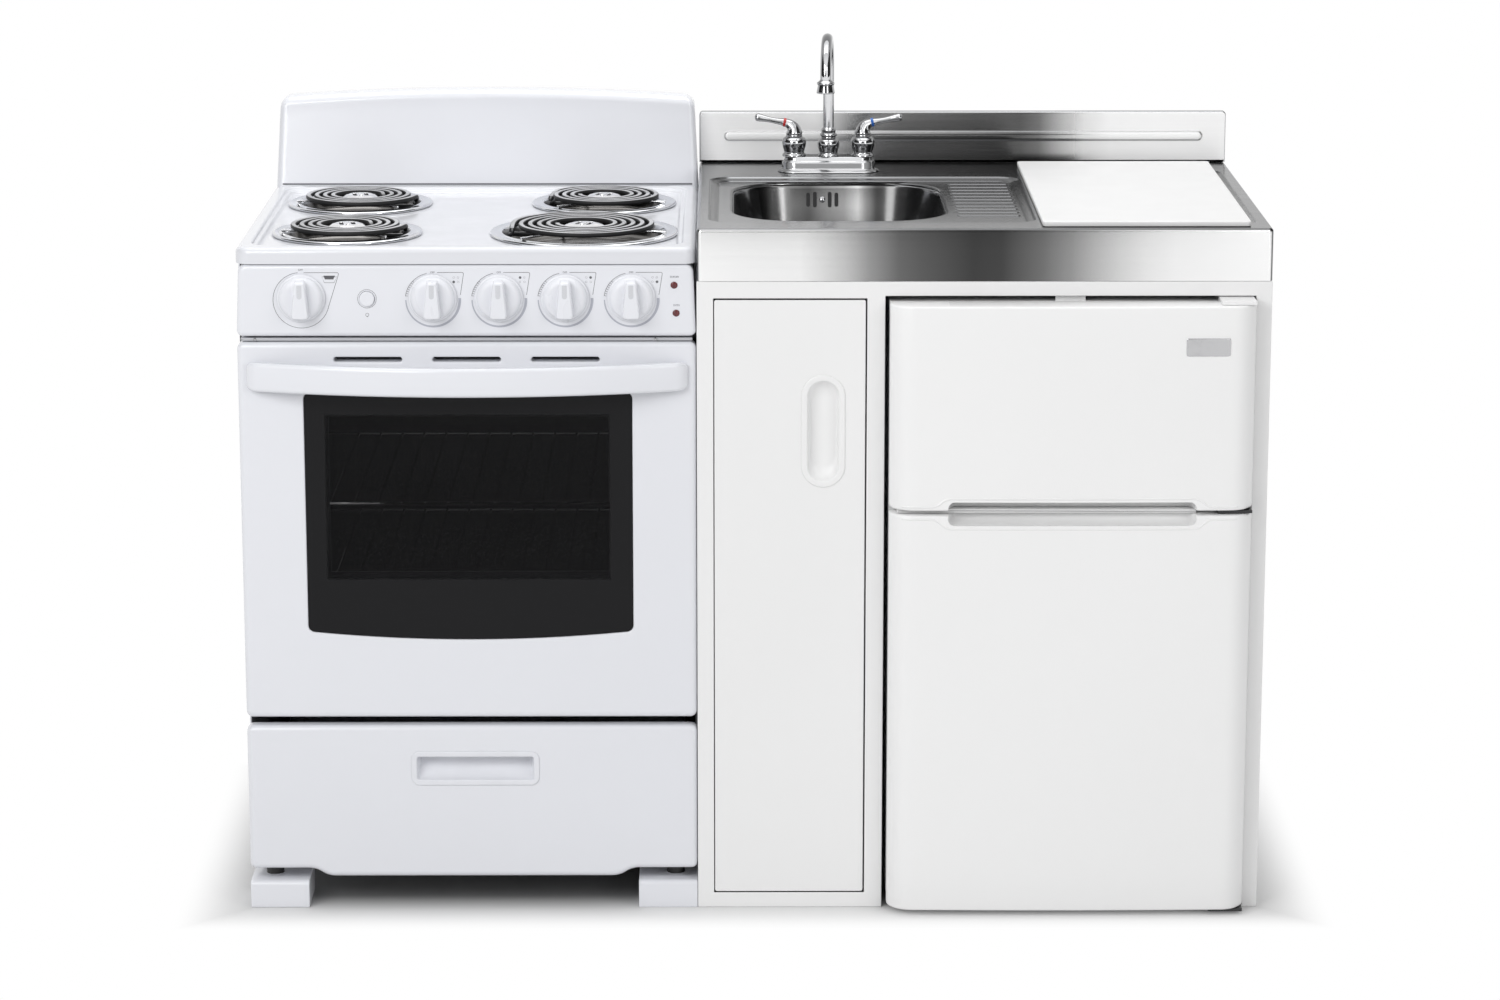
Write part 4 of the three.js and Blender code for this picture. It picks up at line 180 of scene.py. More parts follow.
# ---------------------------------------------------------------- surfaces
class Surface:
    """Points in millimetres and the faces between them, gathered into one mesh."""

    def __init__(self):
        self.points, self.faces, self.count = [], [], 0

    def put(self, points, faces):
        """Adds points and the faces that count from the first of them."""
        self.points.append(np.asarray(points, dtype=float))
        self.faces.extend((np.asarray(face) + self.count).tolist() for face in faces)
        self.count += len(points)
        return self

    def skin(self, rings, ends=(True, True)):
        """Quadrilaterals between rings of equally many points; an end is closed by one face."""
        rings = np.asarray(rings, dtype=float)
        m, n = rings.shape[:2]
        i = np.arange(m - 1)[:, None]
        j = np.arange(n)[None, :]
        k = (j + 1) % n
        corners = np.broadcast_arrays(i * n + j, i * n + k, (i + 1) * n + k, (i + 1) * n + j)
        faces = list(np.stack(corners, axis=-1).reshape(-1, 4))
        if ends[0]:
            faces.append(np.arange(n))
        if ends[1]:
            faces.append(np.arange((m - 1) * n, m * n))
        return self.put(rings.reshape(-1, 3), faces)

    def wall(self, rings):
        """A skin that is open at both ends."""
        return self.skin(rings, ends=(False, False))

    def flat(self, outlines, axis, level):
        """A flat region inside the first outline and outside the others, in triangles."""
        loops = [[Vector((*point, 0)) for point in loop] for loop in outlines]
        return self.put(lifted(np.vstack(outlines), axis, level), tessellate_polygon(loops))

    def plate(self, outline, axis, face, back, radius, band=1.2, steps=5):
        """A closed plate with its front edge rounded."""
        return self.skin(rolled(outline, axis, face, back, radius, band, steps))

    def pierced(self, outline, axis, face, back, radius, holes, hole_radius=1.0, band=1.2):
        """A closed plate with rounded edges and holes right through it."""
        outer = rolled(outline, axis, face, back, radius, band)
        walls = [mouth(hole, axis, face, back, hole_radius, band) for hole in holes]
        keep = [k for k in range(3) if "xyz"[k] != axis]
        self.wall(outer)
        self.flat([np.asarray(outer[-1])[:, keep]] + [w[0][:, keep] for w in walls], axis, face)
        for wall in walls:
            self.wall(wall)
        return self.flat([outline] + [hole(0) for hole in holes], axis, back)

    def turned(self, profile, x, y, axis="z", sides=64, closed=False):
        """A profile of radius and height pairs turned round an axis through x and y, the other
        two coordinates in their order; a closed profile makes a ring."""
        profile = np.asarray(profile, dtype=float)
        if closed:
            profile = np.vstack([profile, profile[:1]])
        unit = circle(0, 0, 1, sides)
        rings = [lifted(unit * max(r, 1e-4) + (x, y), axis, h) for r, h in profile]
        return self.skin(rings, ends=(not closed, not closed))

    def tube(self, path, radius, across, sides=20):
        """A round tube along a path that is square to one direction across."""
        path = np.asarray(path, dtype=float)
        across = np.asarray(across, dtype=float)
        ahead = np.gradient(path, axis=0)
        ahead /= np.linalg.norm(ahead, axis=1, keepdims=True)
        up = np.cross(across, ahead)
        turn = np.arange(sides) * 2 * pi / sides
        size = np.broadcast_to(radius, len(path))[:, None, None]
        ring = np.cos(turn)[None, :, None] * across + np.sin(turn)[None, :, None] * up[:, None, :]
        return self.skin(path[:, None, :] + size * ring)

    def moved(self, matrix, shift=(0, 0, 0)):
        """The same surface turned by a matrix and then shifted."""
        self.points = [points @ matrix.T + np.asarray(shift) for points in self.points]
        return self

    def with_(self, *others):
        """Adds other surfaces to this one."""
        for other in others:
            self.put(np.vstack(other.points), other.faces)
        return self


def turn_about(axis, degrees):
    """The matrix of a right-handed turn about a coordinate axis."""
    c, s = cos(radians(degrees)), sin(radians(degrees))
    return {
        "x": np.array([[1, 0, 0], [0, c, -s], [0, s, c]]),
        "y": np.array([[c, 0, s], [0, 1, 0], [-s, 0, c]]),
        "z": np.array([[c, -s, 0], [s, c, 0], [0, 0, 1]]),
    }[axis]


def rounded_path(corners, reach, steps=6):
    """A path with each inner corner replaced by the quadratic curve that starts and ends at that
    reach along its two sides."""
    corners = np.asarray(corners, dtype=float)
    pieces = [corners[:1]]
    t = np.linspace(0, 1, steps + 1)[:, None]
    for before, corner, after in zip(corners, corners[1:], corners[2:]):
        a = corner + (before - corner) * reach / np.linalg.norm(before - corner)
        b = corner + (after - corner) * reach / np.linalg.norm(after - corner)
        pieces.append((1 - t) ** 2 * a + 2 * t * (1 - t) * corner + t * t * b)
    return np.vstack([*pieces, corners[-1:]])


# ---------------------------------------------------------------- pieces
def welded(mesh, sharp):
    """Welds doubles, points the faces outwards and shades smooth, with edges sharper than that
    angle left crisp."""
    work = bmesh.new()
    work.from_mesh(mesh)
    bmesh.ops.remove_doubles(work, verts=work.verts, dist=1e-6)
    bmesh.ops.dissolve_degenerate(work, edges=work.edges, dist=1e-6)
    bmesh.ops.recalc_face_normals(work, faces=work.faces)
    work.to_mesh(mesh)
    work.free()
    mesh.shade_smooth()
    mesh.set_sharp_from_angle(angle=radians(sharp))


def linked(name, data):
    """A new object in the scene."""
    thing = bpy.data.objects.new(name, data)
    bpy.context.scene.collection.objects.link(thing)
    return thing


def dress(mesh, finish):
    """Gives a mesh one of the finishes; their names keep clear of the frame's own materials."""
    mesh.materials.clear()
    mesh.materials.append(bpy.data.materials["finish_" + finish])


def make(name, surface, origin, finish, body, replaces=(), sharp=38):
    """One piece of the object from a surface in a half's own millimetres."""
    mesh = bpy.data.meshes.new(name)
    points = (np.vstack(surface.points) + origin) * MM
    mesh.from_pydata(points.tolist(), [], surface.faces)
    welded(mesh, sharp)
    dress(mesh, finish)
    piece = linked(name, mesh)
    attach(piece, body)
    if replaces:
        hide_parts(*replaces)


def softened(name, node, width, finish, body):
    """A copy of a solid with its flat faces rejoined and its edges rounded by a bevel."""
    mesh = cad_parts[node].data.copy()
    mesh.name = name
    work = bmesh.new()
    work.from_mesh(mesh)
    bmesh.ops.remove_doubles(work, verts=work.verts, dist=1e-6)
    bmesh.ops.dissolve_limit(work, angle_limit=radians(2), verts=work.verts, edges=work.edges)
    work.to_mesh(mesh)
    work.free()
    dress(mesh, finish)
    mesh.shade_smooth()
    mesh.set_sharp_from_angle(angle=radians(50))
    piece = linked(name, mesh)
    bevel = piece.modifiers.new("edges", "BEVEL")
    bevel.width = width * MM
    bevel.segments = 3
    bevel.limit_method = "ANGLE"
    bevel.angle_limit = radians(35)
    bevel.harden_normals = True
    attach(piece, body)
    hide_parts(node)


def dressed(finish, *nodes):
    """Gives carried-over solids a finish in place of their plain material."""
    for node in nodes:
        dress(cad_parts[node].data, finish)


# ---------------------------------------------------------------- materials
def math_method(operation, swapped=False):
    """A method of Field that adds a Math node for its own value and another one, or for the two in
    the other order."""
    def method(field, *others):
        values = (*others, field) if swapped else (field, *others)
        return field.sheet.node("ShaderNodeMath", {"operation": operation},
                                dict(enumerate(values)))
    return method


class Field:
    """A node's socket that adds Math nodes when it is used in an expression."""

    def __init__(self, sheet, socket):
        self.sheet, self.socket = sheet, socket

    __add__ = __radd__ = math_method("ADD")
    __sub__, __rsub__ = math_method("SUBTRACT"), math_method("SUBTRACT", swapped=True)
    __mul__ = __rmul__ = math_method("MULTIPLY")
    __truediv__ = math_method("DIVIDE")
    __gt__, __lt__ = math_method("GREATER_THAN"), math_method("LESS_THAN")
    least, most = math_method("MINIMUM"), math_method("MAXIMUM")
    wave, size = math_method("SINE"), math_method("ABSOLUTE")  # size is the value without its sign

    def span(self, low, high):
        """The value's share of the way from low to high, eased and kept within 0 and 1."""
        return self.sheet.node(
            "ShaderNodeMapRange", {"interpolation_type": "SMOOTHSTEP"},
            {"Value": self, "From Min": low, "From Max": high})


class Nodes:
    """A node tree and ways to add to it."""

    def __init__(self, tree):
        self.tree = tree

    def node(self, kind, settings=(), inputs=(), output=0):
        """Adds a node with its settings and the values or links of its sockets."""
        node = self.tree.nodes.new(kind)
        for key, value in dict(settings).items():
            setattr(node, key, value)
        for key, value in dict(inputs).items():
            self.join(node.inputs[key], value)
        return Field(self, node.outputs[output])

    def join(self, socket, value):
        """Links a field to a socket, or gives the socket a plain value."""
        if isinstance(value, Field):
            self.tree.links.new(value.socket, socket)
        elif socket.type == "RGBA" and len(value) == 3:
            socket.default_value = (*value, 1)
        else:
            socket.default_value = value

    def place(self, scale=(1, 1, 1)):
        """Object coordinates in metres, scaled by a Mapping node."""
        spot = self.node("ShaderNodeTexCoord", output="Object")
        return self.node("ShaderNodeMapping", {}, {"Vector": spot, "Scale": scale})

    def axis(self, name):
        """One coordinate of the place, in metres."""
        return self.node("ShaderNodeSeparateXYZ", {}, {0: self.place()}, output=name)

    def noise(self, scale, place=None, detail=2.0, roughness=0.5):
        """A soft random field from 0 to 1."""
        return self.node("ShaderNodeTexNoise", {}, {
            "Vector": place or self.place(), "Scale": scale, "Detail": detail,
            "Roughness": roughness})

    def cells(self, scale, place=None, feature="F1"):
        """The distance from the middle of the nearest of many random cells."""
        return self.node("ShaderNodeTexVoronoi", {"feature": feature},
                         {"Vector": place or self.place(), "Scale": scale}, output="Distance")

    def mix(self, share, first, second, blend="MIX"):
        """A colour between two colours, or their product."""
        return self.node("ShaderNodeMix", {"data_type": "RGBA", "blend_type": blend},
                         {"Factor": share, 6: first, 7: second}, output=2)

    def ramp(self, stops, share):
        """A grey that follows pairs of a place and a level, as share goes from 0 to 1."""
        field = self.node("ShaderNodeValToRGB", {}, {"Fac": share})
        elements = field.socket.node.color_ramp.elements
        while len(elements) < len(stops):
            elements.new(0.5)
        for element, (place, level) in zip(elements, stops):
            element.position = place
            element.color = (*grey(level), 1)
        return field

    def facing(self, axis):
        """How far the surface faces along an axis of the object, from -1 to 1."""
        normal = self.node("ShaderNodeNewGeometry", output="Normal")
        return self.node("ShaderNodeSeparateXYZ", {}, {0: normal}, output=axis)

    def bump(self, height, depth, strength=1.0):
        """A relief: height runs over the surface, depth is its size in metres."""
        return self.node("ShaderNodeBump", {},
                         {"Height": height, "Distance": depth, "Strength": strength})

    def unlit(self, shader, white, share=1.0):
        """Shows plain white in place of a shader to the camera, in reflections and through glass,
        where share is one."""
        camera, glossy, glass = (self.node("ShaderNodeLightPath", output=f"Is {kind} Ray")
                                 for kind in ("Camera", "Glossy", "Transmission"))
        share = (camera + glossy + glass).least(1.0) * share
        blend = self.node("ShaderNodeMixShader", {}, {0: share, 1: Field(self, shader), 2: white})
        output = next(node for node in self.tree.nodes if node.bl_idname.startswith(
            ("ShaderNodeOutputMaterial", "ShaderNodeOutputWorld")))
        self.join(output.inputs[0], blend)


class Sheet(Nodes):
    """The nodes of one material, with its Principled BSDF."""

    def __init__(self, name, **constants):
        self.material = bpy.data.materials.new("finish_" + name)
        self.material.use_nodes = True
        super().__init__(self.material.node_tree)
        self.shader = self.tree.nodes["Principled BSDF"]
        self.set(**constants)

    def set(self, **values):
        """Joins values to the shader's sockets."""
        for name, value in values.items():
            self.join(self.shader.inputs[name.replace("_", " ")], value)


def tint(colour, share):
    """A colour made lighter or darker by a factor."""
    return tuple(min(1.0, channel * share) for channel in colour[:3])


def grey(level):
    """A neutral colour."""
    return (level, level, level)


# ---------------------------------------------------------------- the range's shapes
COOKTOP_TOP, COOKTOP_FLOOR = 911.0, 902.0
COOKTOP_UNDERSIDE, COOKTOP_SKIRT = 899.2, 889.3
COOKTOP_BACK = 545.0
BACKGUARD_FRONT, BACKGUARD_FOOT, BACKGUARD_TOP, BACKGUARD_ARCH = 545.4, 889.2, 1034.0, 11
BACKGUARD_CORNER, BACKGUARD_SIDE_EDGE, BACKGUARD_TOP_EDGE, BACKGUARD_TAPER = 16, 9, 14, 6
BACKGUARD_LEAN, BACKGUARD_RISE = 28, 142  # its face leans back that far on that height
PANEL_BOTTOM, PANEL_TOP = 792.0, 888.7
KNOB_HEIGHT = 844.0
KNOB_PLACES = {"oven_knob": 87.0, "burner_knob_1": 261.0, "burner_knob_2": 348.5,
               "burner_knob_3": 436.0, "burner_knob_4": 523.5}
BURNERS = {  # name: centre x and y, bowl radius, where the coil's ends point, turns, pitch, start
    "front_left": (135, 170, 102, 10, 4.0, 11.4, 33.0),
    "back_left": (132, 425, 102, 10, 4.0, 11.4, 33.0),
    "front_right": (456, 170, 128, 165, 5.05, 12.3, 35.5),
    "back_right": (476, 425, 102, 165, 4.0, 11.4, 33.0),
}
DOOR_BOTTOM, DOOR_TOP = 268.5, 784.0
WINDOW = (86.8, 523.6, 388.7, 715.7)  # here and below: left, right, low and high
CLEAR_GLASS = (113.0, 494.0, 460.0, 687.0)
HANDLE_HEIGHT = 739.5
VENT_MIDDLES, VENT_BOTTOM, VENT_WIDTH, VENT_HEIGHT = (173.5, 304.5, 435.5), 757.7, 90.6, 6.6
LIGHT_BUTTON = (174.0, 843.0)
INK = 0.12  # how thick the printing stands
DRAWER_PULL = (229.5, 387.5, 181.3, 213.6)
FOOT_TOP = 38.4
RACKS = {"oven_rack_lower": 436.0, "oven_rack_upper": 550.0}
LAMP_PLACES = {"burner_on_lamp": (580.0, 861.0), "oven_on_lamp": (582.6, 823.5)}


def cooktop_surface(nose):
    """A shallow pan: a rim rolled over all round, a stepped slope down to a flat floor with four
    round holes, and a skirt folded down outside. Each ring is the same rounded rectangle."""
    outline = rounded_box(0, RANGE_WIDTH, 0, COOKTOP_BACK, nose + 11, 12)
    recess = grown_box(22, RANGE_WIDTH - 22, 26, COOKTOP_BACK - 14, 26, 12)
    holes = [circle(x, y, radius - 11) for x, y, radius, *_ in BURNERS.values()]
    steps = [(8.0, 911), (6.4, 911), (5.2, 910.8), (4.2, 910.1), (3.4, 908.8), (2.7, 907.6),
             (1.8, 907.1), (0.6, 906.9), (-1.0, 906.9), (-2.0, 906.5), (-3.0, 905.4), (-4.2, 903.6),
             (-5.4, 902.6), (-7.0, 902.1), (-8.6, 902), (-11.0, 902)]
    surface = Surface().wall(rolled(outline, "z", COOKTOP_TOP, COOKTOP_SKIRT, nose)
                             + terraced(recess, "z", steps))
    surface.flat([recess(-11.0), *holes], "z", COOKTOP_FLOOR)
    for hole in holes:
        surface.wall([lifted(hole, "z", COOKTOP_FLOOR), lifted(hole, "z", COOKTOP_UNDERSIDE)])
    inner = drawn_in(outline, 2.5)
    surface.flat([inner, *holes], "z", COOKTOP_UNDERSIDE)
    return surface.wall([lifted(inner, "z", COOKTOP_UNDERSIDE), lifted(inner, "z", COOKTOP_SKIRT),
                         lifted(outline, "z", COOKTOP_SKIRT)])


def reaching(radius, *steps):
    """Part of a turned profile: pairs of a step out from that radius and a height."""
    return [(radius + step, height) for step, height in steps]


def drip_bowl_surface(x, y, radius):
    """A dish turned from one closed profile: a rolled outer edge, a flat rim with a bead at its
    lip, a curved wall, and a floor with two rings pressed in and a hole."""
    lip, foot = radius - 17, radius - 26
    top = [*reaching(radius, (-1.6, 902.4), (-0.3, 903.0), (0, 904.3), (-0.5, 905.6),
                     (-1.6, 906.5), (-3.2, 906.8), (-5.0, 906.5), (-7.5, 905.9), (-12.0, 905.9),
                     (-14.0, 906.3), (-15.2, 906.8), (-16.4, 906.5)),
           *reaching(lip, (0, 905.4), (-0.9, 903.0), (-2.2, 898.5), (-4.0, 893.2), (-6.2, 888.6),
                     (-8.6, 885.6)),
           *reaching(foot, (-3.0, 883.8), (-7.0, 882.9), (-12.0, 882.6), (-13.5, 882.0),
                     (-15.0, 881.4)),
           *reaching(0.5 * foot, (3, 881.2), (0, 880.5), (-3, 880.9)),
           (24.5, 880.9), (22.0, 881.5), (20.4, 881.3), (20.0, 880.6)]
    under = [(20.0, 879.6), (24.5, 879.9),
             *reaching(foot, (-15.0, 880.4), (-7.0, 881.9), (-2.0, 883.0)),
             *reaching(lip, (-7.4, 886.2), (-3.2, 893.4), (-1.0, 899.0), (0.2, 903.6)),
             *reaching(radius, (-15.2, 905.8), (-12.0, 905.0), (-3.2, 905.8), (-1.5, 904.6),
                       (-2.6, 903.0))]
    return Surface().turned(top + under, x, y, sides=96, closed=True)


def coil_surface(x, y, radius, end, turns, pitch, start):
    """A heating tube wound on a flat spiral, r = start + pitch a / 360, with a flattened top; both
    ends bend down and run out side by side to the bowl's wall."""
    steps = int(turns * 72) + 1
    share = np.linspace(0, 1, steps)
    angle = radians(end) + share * turns * 2 * pi
    reach = start + pitch * turns * share
    dip = np.maximum(0, 1 - np.minimum(share, 1 - share) * turns / 0.06)
    level = 914.2 - 7 * dip ** 2
    centre = np.stack([x + reach * np.cos(angle), y + reach * np.sin(angle), level], axis=-1)
    half = np.array([(0, 3.4), (2.28, 3.4), (3.2, 2.75), (3.7, 1.4), (3.8, 0), (3.55, -1.3),
                     (2.8, -2.4), (1.5, -3.2), (0, -3.4)])
    section = np.vstack([half, (half * (-1, 1))[-2:0:-1]])
    outward = np.stack([np.cos(angle), np.sin(angle), 0 * angle], axis=-1)
    rings = (centre[:, None, :] + section[None, :, :1] * outward[:, None, :]
             + section[None, :, 1:] * np.array([0, 0, 1]))
    surface = Surface().skin(rings)
    lead = radians(end + (turns % 1) * 180)
    out, side = np.array([cos(lead), sin(lead)]), np.array([-sin(lead), cos(lead)])
    middle, far = np.array([x, y]), radius - 19.5
    for k, ahead, place in ((0, -1, -7.5), (-1, 1, 7.5)):
        tip = centre[k]
        heading = tip[:2] + ahead * 7 * np.array([-sin(angle[k]), cos(angle[k])])
        along = min(max(np.dot(tip[:2] - middle, out) + 9, start + 14), far - 4)
        route = [tip, (*heading, 902.6), (*(middle + along * out + place * side), 899.5),
                 (*(middle + far * out + place * side), 898.6)]
        surface.tube(rounded_path(route, 4.2, 5), 3.1, (0, 0, 1), sides=14)
    return surface


def terminal_surface(x, y, radius, end, turns):
    """A block of rounded rectangles at the bowl's wall, which the coil's two leads plug into."""
    outline = grown_box(-15, 15, 890.5, 904.5, 3.0, 4)
    block = Surface().skin(terraced(outline, "x", [(-1.2, radius - 27.2), (0, radius - 26),
                                                   (0, radius - 18), (-1.2, radius - 17.2)]))
    return block.moved(turn_about("z", end + (turns % 1) * 180), (x, y, 0))


def support_surface(x, y, radius, end):
    """A domed disc with a rolled edge, two slots and a raised bar between them, on three flat arms
    that reach out under the coil at even angles."""
    disc = 29.5 if radius < 110 else 32.0
    slots = [grown_box(x0, x0 + 5.6, -11.5, 11.5, 2.6, 5) for x0 in (-10.8, 5.2)]
    surface = Surface().pierced(circle(0, 0, 17.5, 72), "z", 916.6, 913.8, 0.6, slots, 0.5, 0.4)
    dome = reaching(disc, (-7.0, 914.6), (-4.0, 912.8), (-1.6, 911.6), (-0.3, 910.9), (0, 909.9),
                    (-0.8, 908.8), (-2.6, 908.6), (-5.0, 909.9), (-8.0, 911.9))
    surface.turned([(17.2, 916.5), (20.0, 916.0), *dome, (19.5, 913.4), (17.0, 913.9)], 0, 0,
                   sides=72, closed=True)
    surface.plate(rounded_box(-2.9, 2.9, -12, 12, 2.7, 5), "z", 917.6, 916.2, 1.0, 0.4)
    for i in range(3):
        arm = Surface().plate(rounded_box(18, radius - 12, -1.5, 1.5, 0.9, 3), "z", 910.4, 907.2,
                              0.35, 0.3)
        surface.with_(arm.moved(turn_about("z", 60 + 120 * i)))
    return surface.moved(turn_about("z", end), (x, y, 0))


def support_hollow_surface(x, y):
    """The shaded underside of the disc, seen through its slots."""
    return Surface().turned([(0, 913.2), (16.4, 913.2), (16.4, 913.6), (0, 913.6)], x, y, sides=40)


def backguard_surface():
    """Sections across the width: each leans back from its foot, turns over in a quarter circle and
    runs flat to the wall. Towards the ends the top falls and the front draws back along quarter
    circles, and the sides lean in towards the top."""
    half = RANGE_WIDTH / 2
    from_side = np.concatenate([BACKGUARD_CORNER * eased(10), np.linspace(
        BACKGUARD_CORNER, half - BACKGUARD_TAPER, 17)[1:]])
    share = (from_side + BACKGUARD_TAPER - half) / half
    fall = edge_fall(from_side, BACKGUARD_CORNER)
    top = BACKGUARD_TOP + BACKGUARD_ARCH * (1 - share ** 2) - fall
    radius = BACKGUARD_TOP_EDGE - fall * 0.4
    foot = BACKGUARD_FRONT + edge_fall(from_side, BACKGUARD_SIDE_EDGE)
    rise = np.linspace(0, 1, 10)
    tall = top - radius - BACKGUARD_FOOT
    shoulder = foot + BACKGUARD_LEAN * tall / BACKGUARD_RISE
    front_y = foot[:, None] + (shoulder - foot)[:, None] * rise
    front_z = BACKGUARD_FOOT + tall[:, None] * rise
    turn = np.linspace(pi, pi / 2, 9)[1:]
    bend_y = shoulder[:, None] + radius[:, None] * (1 + np.cos(turn))
    bend_z = (top - radius)[:, None] + radius[:, None] * np.sin(turn)
    back_y = np.broadcast_to([598.0, 606.0, 608.6, 609.8, 609.8, 609.8], (len(top), 6))
    back_z = np.stack([top, top, top - 0.5, top - 1.8, 0 * top + 950, 0 * top + BACKGUARD_FOOT],
                      axis=-1)
    y, z = np.hstack([front_y, bend_y, back_y]), np.hstack([front_z, bend_z, back_z])
    lean = BACKGUARD_TAPER * np.clip((z - 889) / 129, 0, 1)
    left = np.stack([from_side[:, None] + lean, y, z], axis=-1)
    right = left * (-1, 1, 1) + (RANGE_WIDTH, 0, 0)
    return Surface().skin(np.concatenate([left, right[::-1]]))


def panel_outline():
    """The control panel's front: rounded corners, the sides drawn in by 4 mm towards the top."""
    outline = rounded_box(0, RANGE_WIDTH, PANEL_BOTTOM, PANEL_TOP, (8.5, 8.5, 11, 11))
    share = (outline[:, 1] - PANEL_BOTTOM) / (PANEL_TOP - PANEL_BOTTOM)
    outline[:, 0] += 4 * share * np.sign(RANGE_WIDTH / 2 - outline[:, 0])
    return outline


def control_panel_surface(edge):
    """The panel's plate with the bore that the light button slides in."""
    return Surface().pierced(panel_outline(), "y", 0, 43.8, edge,
                             [lambda grow: circle(*LIGHT_BUTTON, 10.2 + grow, 48)], 0.5, 1.0)


def knob_surface(x):
    """A skirt and a dome turned about the knob's axis, and on them a grip: rounded rectangles that
    narrow towards its front, and upwards to 0.58 of their width."""
    z = KNOB_HEIGHT
    surface = Surface().turned([
        (0, -0.5), (31.4, -0.5), (32.0, -1.0), (32.1, -2.2), (31.7, -3.2), (31.0, -3.8),
        (29.9, -4.1), (29.5, -4.5), (29.3, -6.0), (28.9, -7.6), (28.0, -9.4), (26.6, -11.0),
        (24.6, -12.3), (22.0, -13.2), (17.0, -13.8), (0, -14.0)], x, z, "y", sides=72)
    grips = [(12.9, 26.6, 5.0, -7.6), (12.6, 26.0, 5.0, -12.0), (12.1, 25.4, 4.8, -18.0),
             (11.7, 24.8, 4.6, -23.5), (11.3, 24.3, 4.4, -25.8), (10.7, 23.6, 4.0, -26.9),
             (9.8, 22.7, 3.4, -27.4), (8.8, 21.8, 2.8, -27.5)]
    rings = []
    for w, h, r, y in grips:
        outline = rounded_box(x - w, x + w, z - h, z + h, r, 6)
        rise = np.clip((outline[:, 1] - z + h) / (2 * h), 0, 1)
        outline[:, 0] = x + (outline[:, 0] - x) * (1 - 0.42 * rise)
        rings.append(lifted(outline, "y", y))
    return surface.skin(rings)


def ribbon(points, width, closed=False):
    """A flat band of ink, of even or changing width, along a line on the panel's face."""
    points = np.asarray(points, dtype=float)
    if closed:
        ahead = np.roll(points, -1, axis=0) - np.roll(points, 1, axis=0)
    else:
        ahead = np.gradient(points, axis=0)
    side = leftward(ahead) * np.reshape(width, (-1, 1)) / 2
    rings = np.stack([lifted(points + side, "y", 0), lifted(points - side, "y", 0),
                      lifted(points - side, "y", -INK), lifted(points + side, "y", -INK)], axis=1)
    if closed:
        return Surface().wall(np.concatenate([rings, rings[:1]]))
    return Surface().skin(rings)


def lettering(words, x, z, size):
    """Words in the built-in typeface, stood up on the panel's face about their middle."""
    curve = bpy.data.curves.new("letters", "FONT")
    curve.body, curve.size, curve.extrude = words, size, INK / 2
    curve.align_x, curve.align_y = "CENTER", "CENTER"
    shape = bpy.data.objects.new("letters", curve)
    mesh = bpy.data.meshes.new_from_object(shape)
    flat = np.empty(len(mesh.vertices) * 3)
    mesh.vertices.foreach_get("co", flat)
    flat = flat.reshape(-1, 3)
    points = np.stack([x + flat[:, 0], -INK / 2 - flat[:, 2], z + flat[:, 1]], axis=-1)
    surface = Surface().put(points, [tuple(face.vertices) for face in mesh.polygons])
    bpy.data.objects.remove(shape)
    bpy.data.curves.remove(curve)
    bpy.data.meshes.remove(mesh)
    return surface


def burner_icon(x, z, filled):
    """Four small rings for the four burners, one of them filled."""
    surface = Surface()
    places = [(-3.0, -3.0), (-2.8, 2.8), (2.8, 2.8), (3.0, -3.0)]
    for i, (dx, dz) in enumerate(places):
        if i == filled:
            surface.turned([(0, 0), (1.75, 0), (1.75, -INK), (0, -INK)], x + dx, z + dz, "y",
                           sides=24)
        else:
            surface.with_(ribbon(circle(x + dx, z + dz, 1.25, 16), 0.22, closed=True))
    return surface


def burner_printing(x, filled):
    """Round one knob: the off mark, an arc with ticks at its upper left, and a corner line and the
    four-ring sign at its upper right."""
    z = KNOB_HEIGHT
    surface = Surface().with_(lettering("OFF", x, z + 34.2, 3.4))
    surface.with_(ribbon(arc(x, z - 2.7, 36.4, 172, 102, 28), 0.6))
    for angle in range(171, 135, -5):
        turn = radians(angle)
        start = np.array([x + 33.4 * cos(turn), z - 2.7 + 33.4 * sin(turn)])
        surface.with_(ribbon([start, start + 3.0 * np.array([cos(turn), sin(turn)])], 0.5))
    corner = np.vstack([[(x + 6, z + 34.2)], [(x + 38.5, z + 34.2)],
                        arc(x + 39, z + 32.2, 2, 75, 0, 5), [(x + 36.5, z + 4)]])
    return surface.with_(ribbon(corner, 0.6), burner_icon(x + 31.0, z + 24.5, filled))


def heat_band(x):
    """A crescent under one knob whose width grows from its left end to its right one."""
    line = arc(x, KNOB_HEIGHT - 2.7, 35.6, 180, 364, 48)
    return ribbon(line, np.linspace(1.5, 3.6, len(line)))


def oven_printing(x):
    """Round the oven's knob: a teardrop line that runs up into the corner at its right, the off
    mark and a sign for the oven of two tapered bars."""
    z = KNOB_HEIGHT
    line = np.vstack([arc(x, z - 3, 37.2, 96, 348, 64), [(x + 40.5, z + 2)], [(x + 49.5, z + 30)],
                      arc(x + 48, z + 32, 2, -10, 90, 5), [(x + 4, z + 34)]])
    surface = Surface().with_(ribbon(line, 0.6), lettering("OFF", x, z + 37.6, 3.6))
    bar = np.array([(x + 30, z + 30), (x + 45.5, z + 30), (x + 43, z + 25.0), (x + 32, z + 25.0)])
    surface.skin([lifted(bar, "y", 0), lifted(bar, "y", -INK)])
    return surface.with_(ribbon(drawn_in(bar[::-1] + (0, -3), -1.4), 0.5, closed=True))


def lamp_surface(x, z):
    """A low dome with a collar, turned about its axis."""
    return Surface().turned([(0, 0.2), (4.7, 0.2), (4.7, -0.5), (4.2, -0.9), (3.4, -1.3),
                             (1.8, -1.55), (0, -1.6)], x, z, "y", sides=32)


